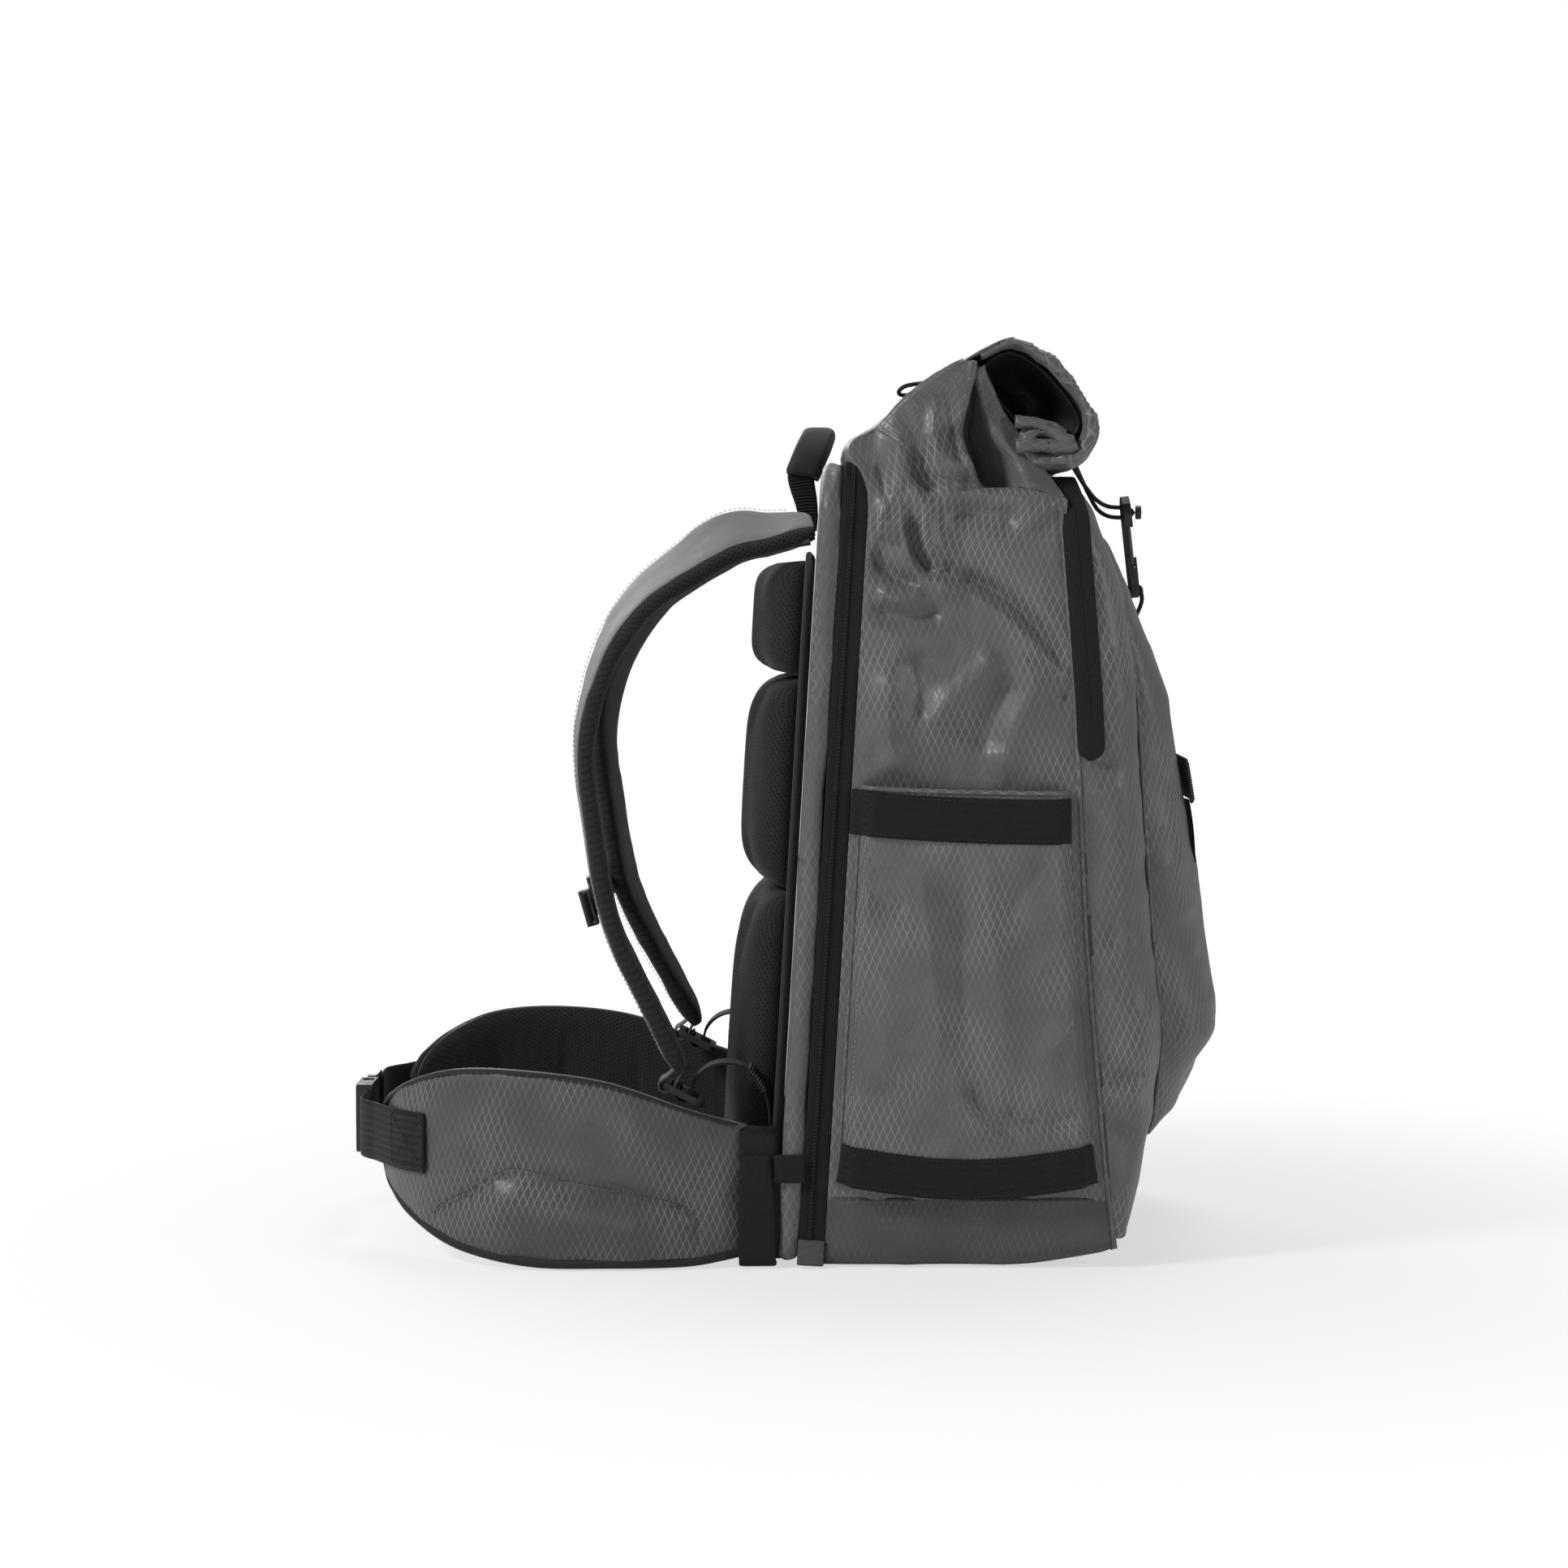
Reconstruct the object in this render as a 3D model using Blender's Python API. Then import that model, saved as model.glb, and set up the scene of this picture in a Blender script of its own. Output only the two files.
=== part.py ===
"""A roll-top camera backpack, closed, standing on its base.

Frame: metres, +Z up, +X towards the pack's front pocket, away from the wearer.
-Y is the wearer's left. The origin is the middle of the base, on the floor.
"""

import math

import bmesh
import bpy
from mathutils import Matrix, Vector

# Clearances and cuts
GAP = 0.0003
PLAY = 0.0008
OVERRUN = 0.008

# Pack body
BODY_WIDTH = 0.300
BASE_DEPTH = 0.183
BACK_FOOT = -0.0894
RIM_HEIGHT = 0.5035
SHOULDER_HEIGHT = 0.4785
LEAN = math.radians(3.29)
WALL = 0.004
BOOT_HEIGHT = 0.044
BASE_FLAT = 0.130
BASE_LIFT = 0.010

# Back door and its zip
BODY_TAPE_WIDTH = 0.0095
DOOR_TAPE_WIDTH = 0.0060
TAPE_THICKNESS = 0.0030
DOOR_HEIGHT = 0.4985
DOOR_FOOT = 0.0030
DOOR_CORNER = 0.035
DOOR_THICKNESS = 0.0140
DOOR_WALL = 0.0030
SHEET_THICKNESS = 0.0015
SHEET_MARGIN = 0.012
STAY_WIDTH = 0.020
STAY_THICKNESS = 0.0030
STAY_SPACING = 0.120
SLIDER_WIDTH = 0.0085
SLIDER_LENGTH = 0.011
SLIDER_THICKNESS = 0.0032
PULL_LENGTH = 0.024
PULL_WIDTH = 0.0055
PULL_THICKNESS = 0.0018

# Harness
HARNESS_WIDTH = 0.262
HARNESS_HEIGHT = 0.436
HARNESS_FOOT = 0.006
HARNESS_THICKNESS = 0.0060
HARNESS_CORNER = 0.040
PAD_DEPTH = 0.0340
PAD_WIDTH = 0.214
PAD_GAP = 0.004
PAD_CHANNEL_DEPTH = 0.010
PAD_CHANNEL_WIDTH = 0.030
PAD_STEPS = 14
PAD_EDGE_SHARE = 0.22
PAD_SHARES = (("lumbar_pad", 0.51), ("back_pad_middle", 0.31), ("back_pad_upper", 0.17))
PAD_RING_SHARES = (0, 0.03, 0.10, 0.22, 0.5, 0.78, 0.90, 0.97, 1)

# Shoulder straps
STRAP_THICKNESS = 0.0130
STRAP_WIDTH = 0.066
STRAP_ROOT = 0.0750
STRAP_REACH = 0.1441
STRAP_DROP = 0.3430
STRAP_TOP = 0.4620
STRAP_TILT = math.radians(24)
STRAP_SPREAD = 0.0460

# Webbing, ladder locks and keepers
WEBBING = 0.020
WEBBING_THICKNESS = 0.0018
LOCK_LENGTH = 0.028
LOCK_WIDTH = 0.030
LOCK_THICKNESS = 0.0042
LOCK_BAR = 0.0042
LOCK_SLOPE = math.radians(27)
LOCK_OFFSET = 0.0120
LOCK_HANG = 0.0075
LOOP_SPREAD = 0.0019
TAIL_LENGTH = 0.0040
ANCHOR_HEIGHT = 0.081
LOWER_WEBBING_RISE = 0.0215
KEEPER_START = 10
KEEPER_SPAN = 5
KEEPER_WALL = 0.0018

# Sternum strap
STERNUM_HEIGHT = 0.2235
CLIP_LENGTH = 0.014
CLIP_THICKNESS = 0.0070
SMALL_BUCKLE_LENGTH = 0.024
SMALL_BUCKLE_THICKNESS = 0.0080
SMALL_BUCKLE_WALL = 0.0014
STERNUM_TAIL = 0.012

# Handle
HANDLE_SPAN = 0.056
HANDLE_RISE = 0.068
HANDLE_SWAY = 0.0080
HANDLE_FOOT = 0.459
GRIP_WIDTH = 0.0200
GRIP_THICKNESS = 0.0120
HANDLE_WEBBING = 0.0100
GRIP_START = 3
GRIP_SET_BACK = 0.0030

# Hip belt
WING_THICKNESS = 0.0140
WING_HEIGHT = 0.1190
WING_ROOT_X = -0.1440
WING_ROOT_Y = 0.1420
WING_REACH = 0.2275
WING_LOW = 0.0010
BELT_WEBBING = 0.038
BELT_WEBBING_THICKNESS = 0.0022
BELT_X = -0.3905
BELT_HEIGHT = 0.0740
TAB_STATIONS = 6
TAB_TURN = 0.018
WING_BULGE = 0.0140
BELT_ROOT_HEIGHT = 0.088
ROOT_LIFT = 0.004
BUCKLE_LENGTH = 0.036
BUCKLE_THICKNESS = 0.0110
BUCKLE_WALL = 0.0018
SLOT_SHARE = 0.12
WINDOW_SHARE = 0.45
PRONG_SHARE = 0.60
FREE_WEBBING = 0.046

# Corner straps beside the lumbar pad
CORNER_WEBBING = 0.0220
CORNER_HEIGHT = 0.070
CORNER_LAYER = 0.0040

# Front compartment and pocket
COMPARTMENT_HEIGHT = 0.4780
COMPARTMENT_DEPTH = 0.0520
POCKET_WIDTH = 0.228
POCKET_DEPTH = 0.0400
POCKET_FOOT = 0.0772
POCKET_TOP = 0.4560
POCKET_CORNER = 0.030
FRONT_ZIP_WIDTH = 0.0165
FRONT_ZIP_THICKNESS = 0.0016
FRONT_ZIP_FOOT = 0.330
FRONT_CORNER = 0.034
DAISY_HEIGHT = 0.028
LABEL_WIDTH = 0.0130
LABEL_LENGTH = 0.038
LABEL_THICKNESS = 0.0012
LABEL_SHARE = 0.62
SIDE_LABEL_FOOT = 0.052
SIDE_LABEL_HEIGHT = 0.018
DAISY_TOP = 0.3130
POCKET_LIP = 0.004
HOOK_LOOP_HEIGHT = 0.006
CORD_SEAT = 0.0021

# Side pockets
SIDE_POCKET_DEPTH = 0.0088
SIDE_POCKET_WALL = 0.0026
SIDE_POCKET_TOP = 0.2955
SIDE_POCKET_INSET = 0.0060
BAND_HEIGHT = 0.028
LOW_BAND_HEIGHT = 0.0245
BAND_DROP = 0.0030

# Neck, roll and closure cord
NECK_TOP = 0.5625
NECK_PINCH = 0.050
NECK_SAG = 0.004
ROLL_WIDTH = 0.292
ROLL_SKIN = 0.0040
ROLL_FOLD = 0.0100
CREST_X = 0.0270
CREST_HEIGHT = 0.5745
CORD = 0.0028
CORD_INSET = 0.012
CORD_RISE = -0.0040
BIGHT_LENGTH = 0.036
BIGHT_GAUGE = 0.004
STRAND_GAP = 0.0066
STRAND_OFFSET = 0.003
BEAD_RADIUS = 0.0045
BEAD_THICKNESS = 0.0034
NECK_BACK_X = 0.0080
NECK_FRONT_X = 0.0040
ROLL_REACH = 0.0500
ROLL_FALL = 0.0725

# Cord hook
HOOK_HEIGHT = 0.067
HOOK_WIDTH = 0.026
HOOK_THICKNESS = 0.0052
HOOK_BAR = 0.0052
HOOK_MIDDLE = 0.4484
HOOK_LEAN = math.radians(-6.4)
GATE_LENGTH = 0.026
RIVET = 0.0022
CHEEK = 0.0014

# Shapes as shares of the sizes above
FRONT_SEAM_SHARES = ((0.0, 1.0), (0.122, 0.956), (0.43, 0.885), (0.74, 0.845), (0.97, 0.796), (1.02, 0.786))
COMPARTMENT_SHARES = ((1.0, 0.33), (0.975, 0.42), (0.885, 0.68), (0.735, 0.78), (0.58, 0.80), (0.42, 0.84),
                      (0.29, 0.86), (0.19, 0.68), (0.105, 0.44), (0.038, 0.20))
POCKET_SHARES = ((1.0, 0.20), (0.93, 0.25), (0.875, 0.33), (0.80, 0.54), (0.64, 0.80), (0.48, 0.88),
                 (0.31, 0.94), (0.165, 1.0), (0.10, 0.98), (0.055, 0.72), (0.0, 0.10))
COMPARTMENT_EDGE_SHARES = (0.52, 0.76)
POCKET_EDGE_SHARES = (0.12, 0.55)
DAISY_SHARES = (-0.72, -0.5, 0, 0.5, 0.72)
RING_SHARES = (-1, -0.985, -0.93, -0.84, -0.5, 0, 0.5, 0.84, 0.93, 0.985, 1)
CORNER_END_SHARE = 0.04
HOOK_LOOP_SHARES = ((-0.88, 0.88), (0, 1.08), (0.88, 0.88), (1, 0), (0.9, -1.3))
HANDLE_SHARES = ((0, 0), (0.55, -1), (1, 0.4))
BACK_SHEET_SHARES = ((0, 0), (0.045, 0.24), (0.436, 0.608), (0.81, 0.93), (1, 1))
FRONT_SHEET_SHARES = ((0, 0), (0.383, 0.128), (0.64, 0.349), (0.928, 0.612), (1, 0.827))
PINCH_SHARES = (0, 0.15, 0.5, 0.8, 1)
ROLL_SHARES = ((-0.40, -0.105, 0), (0, 0, 0), (0.42, -0.14, 0.1), (0.74, -0.37, 0.2), (0.93, -0.60, 0.35),
               (0.955, -0.76, 0.55), (0.84, -0.92, 0.8), (0.66, -0.985, 1), (0.44, -0.99, 1),
               (0.24, -0.97, 1), (0.14, -0.87, 0.9), (0.24, -0.755, 0.9), (0.38, -0.73, 1),
               (0.54, -0.76, 1), (0.64, -0.78, 0.6))
STRAP_SHARES = ((0, 0, 0, 0.91, 0.42), (0.185, 0.013, 0.02, 0.97, 0.75), (0.357, 0.022, 0.06, 1, 1),
                (0.546, 0.071, 0.14, 1, 0.83), (0.761, 0.144, 0.27, 1, 0.62), (0.92, 0.254, 0.39, 1, 0.42),
                (1, 0.401, 0.49, 1, 0.25), (0.967, 0.551, 0.57, 0.97, 0.2), (0.879, 0.735, 0.69, 0.88, 0.2),
                (0.675, 0.912, 0.88, 0.70, 0.15), (0.563, 1, 1, 0.48, 0))
WING_SHARES = ((0, 0, 0.04, 0.75), (0.137, 0.56, 0, 0.83), (0.35, 1, 0, 0.975), (0.57, 0.78, 0.005, 1.03),
               (0.765, -0.37, 0.07, 1.02), (0.895, -2.05, 0.19, 0.93), (0.965, -3.7, 0.31, 0.82),
               (0.99, -4.4, 0.40, 0.72))
LOWER_WEBBING_SHARES = ((0, 0), (0.05, 0.45), (0.20, 0.85), (0.42, 1.0), (0.62, 0.93), (0.78, 0.70), (0.93, 0.15),
                        (0.985, -0.45))
BIGHT_SHARES = ((0, -1, 0), (-0.45, -1, -0.06), (-0.85, -1, -0.12), (-0.98, -0.6, -0.2), (-0.98, 0.6, -0.26),
                (-0.85, 1, -0.28), (-0.45, 1, -0.18), (0, 1, 0))
STRAND_ROOT_SHARES = (0.93, -0.985)
STRAND_SHARES = ((0, 1, 0), (0.25, 1, 0.45), (0.5, 0.8, 0.80), (0.75, 0.4, 0.97), (1, 0, 1))
PRONG_SHARES = ((0, 1), (0.55, 1), (0.82, 0.96), (1, 0.80), (0.93, 0.66), (0.5, 0.72), (0.12, 0.62),
                (0.12, 0.16), (0.92, 0.13), (1, 0.05))

# Materials: colour, roughness, metallic
RIPSTOP = ((0.105, 0.105, 0.108, 1), 0.62, 0.0)
BLACK_WEBBING = ((0.012, 0.012, 0.013, 1), 0.70, 0.0)
AIR_MESH = ((0.016, 0.016, 0.017, 1), 0.85, 0.0)
BLACK_PLASTIC = ((0.022, 0.022, 0.024, 1), 0.38, 0.0)
ZIP_COIL = ((0.018, 0.018, 0.019, 1), 0.45, 0.0)
METAL = ((0.30, 0.30, 0.31, 1), 0.30, 1.0)
SHEET_PLASTIC = ((0.55, 0.55, 0.56, 1), 0.50, 0.0)
CORD_COVER = ((0.014, 0.014, 0.015, 1), 0.75, 0.0)
LEAD = Vector((0, 0, 0))


# Geometry helpers
def rim_x(z):
    """The line where the pack's sides end and the back door begins."""
    return BACK_FOOT + math.tan(LEAN) * z


def between(table, key):
    """Reads a table of (key, value) pairs along straight stretches."""
    for (low, first), (high, second) in zip(table, table[1:]):
        if key <= high:
            return first + (second - first) * (key - low) / (high - low)
    return table[-1][1]


def seam_x(z):
    """The seam between the side panel and the front compartment."""
    return BACK_FOOT + BASE_DEPTH * between(FRONT_SEAM_SHARES, z / SHOULDER_HEIGHT)


def spline(rows, steps):
    """A smooth curve through rows of numbers, each row a place and its sizes."""
    rows = [Vector(row) for row in rows]
    padded = [rows[0] * 2 - rows[1]] + rows + [rows[-1] * 2 - rows[-2]]
    result = []
    for a, b, c, d in zip(padded, padded[1:], padded[2:], padded[3:]):
        for step in range(steps):
            t = step / steps
            result.append(
                (b * 2 + (c - a) * t + (a * 2 - b * 5 + c * 4 - d) * t**2 + (b * 3 - a - c * 3 + d) * t**3) / 2
            )
    return result + [rows[-1]]


def arc(centre, radius, start, end, steps):
    """Points on a circle, as (first, second) coordinates."""
    angles = [start + (end - start) * step / steps for step in range(steps + 1)]
    return [(centre[0] + radius * math.cos(a), centre[1] + radius * math.sin(a)) for a in angles]


def rounded_rectangle(half_width, half_height, corner, steps=3):
    """An outline round the origin, counter-clockwise."""
    points = []
    for turn, (sx, sy) in enumerate(((1, 1), (-1, 1), (-1, -1), (1, -1))):
        centre = (sx * (half_width - corner), sy * (half_height - corner))
        start = turn * math.pi / 2
        points += arc(centre, corner, start, start + math.pi / 2, steps)
    return points


def slab(half_width, half_thickness, corner):
    """A flat section with its four corners cut off."""
    corner = min(corner, half_width, half_thickness * 0.9)
    w, t = half_width, half_thickness
    return [(w, t - corner), (w - corner, t), (corner - w, t), (-w, t - corner),
            (-w, corner - t), (corner - w, -t), (w - corner, -t), (w, corner - t)]


def new_loop(bm, ring):
    verts = [bm.verts.new(point) for point in ring]
    return [bm.edges.new(pair) for pair in zip(verts, verts[1:] + verts[:1])]


def loft(rings):
    """Bridges a row of closed rings and caps both ends."""
    bm = bmesh.new()
    loops = [new_loop(bm, ring) for ring in rings]
    for first, second in zip(loops, loops[1:]):
        bmesh.ops.bridge_loops(bm, edges=first + second)
    for loop in (loops[0], loops[-1]):
        bmesh.ops.contextual_create(bm, geom=loop)
    return bm


def prism(outline, low, high, axis="Y"):
    """Extrudes an outline along an axis; the outline's pairs are the other two axes in order."""
    bm = bmesh.new()
    place = {"X": lambda a, b: (low, a, b), "Y": lambda a, b: (a, low, b), "Z": lambda a, b: (a, b, low)}[axis]
    face = bm.faces.new([bm.verts.new(place(a, b)) for a, b in outline])
    extruded = bmesh.ops.extrude_face_region(bm, geom=[face])
    moved = [item for item in extruded["geom"] if isinstance(item, bmesh.types.BMVert)]
    bmesh.ops.translate(bm, verts=moved, vec=Vector([high - low if name == axis else 0 for name in "XYZ"]))
    return bm


def box(low, high):
    """A box between two opposite corners."""
    outline = [(low[0], low[2]), (high[0], low[2]), (high[0], high[2]), (low[0], high[2])]
    return prism(outline, low[1], high[1])


def frames(path, side):
    """A ring frame at each point of a path: place, side and outward directions."""
    result = []
    for index, point in enumerate(path):
        ahead = path[min(index + 1, len(path) - 1)]
        behind = path[max(index - 1, 0)]
        tangent = (ahead - behind).normalized()
        across = (side - tangent * side.dot(tangent)).normalized()
        result.append((point, across, across.cross(tangent)))
    return result


def sweep_rings(path, side, sections):
    """The section of each point of the path, set square to the path."""
    return [
        [point + across * a + outward * b for a, b in section]
        for (point, across, outward), section in zip(frames(path, side), sections)
    ]


def ribbon(path, side, width, thickness):
    """A flat strap along a path, its width along the side direction."""
    section = slab(width / 2, thickness / 2, thickness / 4)
    return loft(sweep_rings(path, side, [section] * len(path)))


def flat_path(pairs, y=0.0):
    """A path in a plane of constant Y."""
    return [Vector((x, y, z)) for x, z in pairs]


# Scene helpers
def clear_scene():
    for obj in list(bpy.data.objects):
        bpy.data.objects.remove(obj, do_unlink=True)


def material(name, look):
    colour, roughness, metallic = look
    made = bpy.data.materials.new(name)
    made.use_nodes = True
    shader = made.node_tree.nodes["Principled BSDF"]
    shader.inputs["Base Color"].default_value = colour
    shader.inputs["Roughness"].default_value = roughness
    shader.inputs["Metallic"].default_value = metallic
    made.diffuse_color = colour
    return made


def add_empty(name, place, parent=None, turn=0.0):
    """An empty at a world place; turn leans it about Y."""
    empty = bpy.data.objects.new(name, None)
    bpy.context.collection.objects.link(empty)
    empty.parent = parent
    empty.location = Vector(place) - (world_place(parent) if parent else LEAD)
    empty.rotation_euler.y = turn
    empty["world_place"] = list(place)
    return empty


def world_place(empty):
    return Vector(empty["world_place"])


def finish(name, bm, look, parent, place=None, smooth=True, leaned=False):
    """Turns a mesh in world places into a named object under its parent."""
    bmesh.ops.recalc_face_normals(bm, faces=bm.faces)
    home = LEAD if leaned else Vector(place if place is not None else world_place(parent))
    bmesh.ops.translate(bm, verts=bm.verts, vec=-home)
    mesh = bpy.data.meshes.new(name)
    bm.to_mesh(mesh)
    bm.free()
    if smooth:
        mesh.shade_smooth()
        mesh.set_sharp_from_angle(angle=math.radians(35))
    mesh.materials.append(material(name + "_finish", look))
    obj = bpy.data.objects.new(name, mesh)
    bpy.context.collection.objects.link(obj)
    obj.parent = parent
    obj.location = LEAD if leaned else home - world_place(parent)
    return obj


def cut(obj, bm, name):
    """Takes a cutter's space, given in the same places as the object's mesh, out of the object."""
    bmesh.ops.recalc_face_normals(bm, faces=bm.faces)
    mesh = bpy.data.meshes.new(name)
    bm.to_mesh(mesh)
    bm.free()
    cutter = bpy.data.objects.new(name, mesh)
    bpy.context.collection.objects.link(cutter)
    cutter.parent = obj.parent
    if not obj.get("leaned"):
        cutter.location = -world_place(obj.parent)
    cutter.hide_render = True
    cutter.display_type = "WIRE"
    modifier = obj.modifiers.new(name, "BOOLEAN")
    modifier.operation = "DIFFERENCE"
    modifier.object = cutter


def cylinder(centre, radius, length, axis, sides=16):
    outline = arc((0, 0), radius, 0, math.tau, sides)[:-1]
    middle = {"X": (centre[1], centre[2]), "Y": (centre[0], centre[2]), "Z": (centre[0], centre[1])}[axis]
    start = {"X": centre[0], "Y": centre[1], "Z": centre[2]}[axis] - length / 2
    return prism([(middle[0] + a, middle[1] + b) for a, b in outline], start, start + length, axis)


# Pack body
def seam_points(low, high, inset=0.0):
    """Points down the front seam between two heights, moved back by the inset."""
    heights = [share * SHOULDER_HEIGHT for share, _ in FRONT_SEAM_SHARES]
    inner = [z for z in heights if low < z < high]
    return [(seam_x(z) - inset, z) for z in [low] + inner + [high]]


def make_bottom_panel(root):
    """The padded boot under the pack: a floor and three low walls."""
    half = BODY_WIDTH / 2
    flat = BACK_FOOT + BASE_FLAT
    top = BOOT_HEIGHT - GAP
    wall = seam_points(BASE_LIFT, top)
    outline = [(rim_x(0), 0), (flat, 0)] + wall + [(rim_x(top), top)]
    panel = finish("bottom_panel", prism(outline, -half, half), RIPSTOP, root, smooth=False)
    inner_wall = [(x - WALL, z + WALL) for x, z in wall[:-1]] + [(wall[-1][0] - WALL, top + OVERRUN)]
    hollow = [(rim_x(0) - OVERRUN, WALL), (flat, WALL)] + inner_wall + [(rim_x(top) - OVERRUN, top + OVERRUN)]
    cut(panel, prism(hollow, WALL - half, half - WALL), "bottom_panel_hollow")


def make_main_body(root):
    """Two side walls and the divider towards the front compartment, open behind, above and below."""
    half = BODY_WIDTH / 2
    wall = seam_points(BOOT_HEIGHT, SHOULDER_HEIGHT)
    outline = [(rim_x(BOOT_HEIGHT), BOOT_HEIGHT)] + wall + [(rim_x(RIM_HEIGHT), RIM_HEIGHT)]
    body = finish("main_body", prism(outline, -half, half), RIPSTOP, root, smooth=False)
    foot, head = BOOT_HEIGHT - OVERRUN, RIM_HEIGHT + OVERRUN
    inner = [(wall[0][0] - WALL, foot)] + [(x - WALL, z) for x, z in wall[1:-1]] + [(wall[-1][0] - WALL, head)]
    hollow = [(rim_x(foot) - OVERRUN, foot)] + inner + [(rim_x(head) - OVERRUN, head)]
    cut(body, prism(hollow, WALL - half, half - WALL), "main_body_hollow")


def draw_back(share, edge_share, straight_share):
    """How much of a profile's depth is left this far towards its ends."""
    reach = max(0.0, (abs(share) - straight_share) / (1 - straight_share))
    return edge_share + (1 - edge_share) * math.sqrt(1 - reach**2)


def profile_loft(back, heights, depths, half, corner, edge_share, straight_share):
    """Lofts a side profile across Y: its ends draw back, and its top corners are round.

    back gives the X behind a height, heights run from the top down, and depths are in front of that X.
    """
    turn = heights[0] - corner
    rings = []
    for share in RING_SHARES:
        keep = draw_back(share, edge_share, straight_share)
        over = max(0.0, abs(share) * half - (half - corner)) / corner
        squeeze = max(CORNER_END_SHARE, math.sqrt(max(0.0, 1 - over**2)))
        levels = [turn + (z - turn) * squeeze if z > turn else z for z in heights]
        line = [(back(z), z) for z in levels]
        line += [(back(z) + depth * keep, z) for z, depth in reversed(list(zip(levels, depths)))]
        rings.append([Vector((x, share * half, z)) for x, z in line])
    return loft(rings)


def compartment_back(z):
    return seam_x(z) + GAP


def compartment_line():
    """The compartment's face from its top down, as (x, z) points."""
    line = []
    for height_share, depth_share in COMPARTMENT_SHARES:
        z = height_share * COMPARTMENT_HEIGHT
        line.append((compartment_back(z) + COMPARTMENT_DEPTH * depth_share, z))
    return line


def face_x(z):
    """The compartment's face at a height."""
    return between([(height, x) for x, height in reversed(compartment_line())], z)


def make_front_compartment(root):
    """The admin compartment in front of the divider."""
    heights = [share * COMPARTMENT_HEIGHT for share, _ in COMPARTMENT_SHARES]
    depths = [share * COMPARTMENT_DEPTH for _, share in COMPARTMENT_SHARES]
    half = BODY_WIDTH / 2
    bm = profile_loft(compartment_back, heights, depths, half, FRONT_CORNER, *COMPARTMENT_EDGE_SHARES)
    finish("front_compartment", bm, RIPSTOP, root)


def pocket_back(z):
    return face_x(z) + GAP


def pocket_levels():
    """Heights and depths of the pocket from its top down."""
    inner = [z for _, z in compartment_line() if POCKET_FOOT < z < POCKET_TOP]
    heights = [POCKET_TOP] + inner + [POCKET_FOOT + POCKET_LIP, POCKET_FOOT]
    rise = POCKET_TOP - POCKET_FOOT
    table = POCKET_SHARES[::-1]
    return heights, [POCKET_DEPTH * between(table, (z - POCKET_FOOT) / rise) for z in heights]


def make_front_pocket(root):
    """The bulging pocket on the compartment's face."""
    bm = profile_loft(pocket_back, *pocket_levels(), POCKET_WIDTH / 2, POCKET_CORNER, *POCKET_EDGE_SHARES)
    finish("front_pocket", bm, RIPSTOP, root)


def pocket_x(z, share=0):
    """The pocket's outer face at a height, and this far from its middle towards its sides."""
    heights, depths = pocket_levels()
    keeps = [(ring, draw_back(ring, *POCKET_EDGE_SHARES)) for ring in RING_SHARES if ring >= 0]
    keep = between(keeps, abs(share))
    return between([(level, pocket_back(level) + depth * keep) for level, depth in zip(heights[::-1], depths[::-1])], z)


def make_front_zip(root):
    """The zip band up one side of the compartment, over its top and down the other side."""
    half = BODY_WIDTH / 2 + FRONT_ZIP_THICKNESS / 2 + GAP
    top = COMPARTMENT_HEIGHT + FRONT_ZIP_THICKNESS / 2 + GAP
    corner = FRONT_CORNER
    left = [(-half, FRONT_ZIP_FOOT)] + arc((corner - half, top - corner), corner, math.pi, math.pi / 2, 6)
    outline = left + [(-y, z) for y, z in reversed(left)]
    path = [Vector((seam_x(z) + GAP + FRONT_ZIP_WIDTH / 2, y, z)) for y, z in outline]
    bm = ribbon(path, Vector((1, 0, 0)), FRONT_ZIP_WIDTH, FRONT_ZIP_THICKNESS)
    finish("front_zip_tape", bm, ZIP_COIL, root)


def make_daisy_band(root):
    """The webbing band across the pocket."""
    top = DAISY_TOP
    low = top - DAISY_HEIGHT
    fall = (pocket_x(top) - pocket_x(low)) / 2
    lean = Vector((2 * fall, 0, top - low)).normalized()
    away = (WEBBING_THICKNESS / 2 + 2 * GAP) / lean.z
    path = []
    for share in DAISY_SHARES:
        x = max(pocket_x(top, share) - fall, pocket_x(low, share) + fall) + away
        path.append(Vector((x, share * POCKET_WIDTH / 2, (top + low) / 2)))
    finish("daisy_band", ribbon(path, lean, DAISY_HEIGHT, WEBBING_THICKNESS), BLACK_WEBBING, root)


def side_name(sign):
    """The wearer's left is -Y."""
    return "left" if sign < 0 else "right"


def make_side_pocket(root, sign):
    """A patch pocket: one panel with gussets at its front, back and foot, open at the top."""
    wall = SIDE_POCKET_WALL
    low, high = BOOT_HEIGHT + BAND_DROP, SIDE_POCKET_TOP
    back_low, back_high = rim_x(low) + SIDE_POCKET_INSET, rim_x(high) + SIDE_POCKET_INSET
    front = [(x - SIDE_POCKET_INSET, z) for x, z in seam_points(low, high)]
    outline = [(back_low, low)] + front + [(back_high, high)]
    inner_front = [(x - wall, z + wall if z == low else z) for x, z in front]
    inner_front[-1] = (inner_front[-1][0], high + OVERRUN)
    hollow = [(back_low + wall, low + wall)] + inner_front + [(back_high + wall, high + OVERRUN)]
    near = BODY_WIDTH / 2 + GAP
    far = near + SIDE_POCKET_DEPTH
    name = "side_pocket_" + side_name(sign)
    bm = prism(outline, sign * near, sign * far)
    pocket = finish(name, bm, RIPSTOP, root, smooth=False)
    cut(pocket, prism(hollow, sign * (near - OVERRUN), sign * (far - wall)), name + "_hollow")


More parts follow.
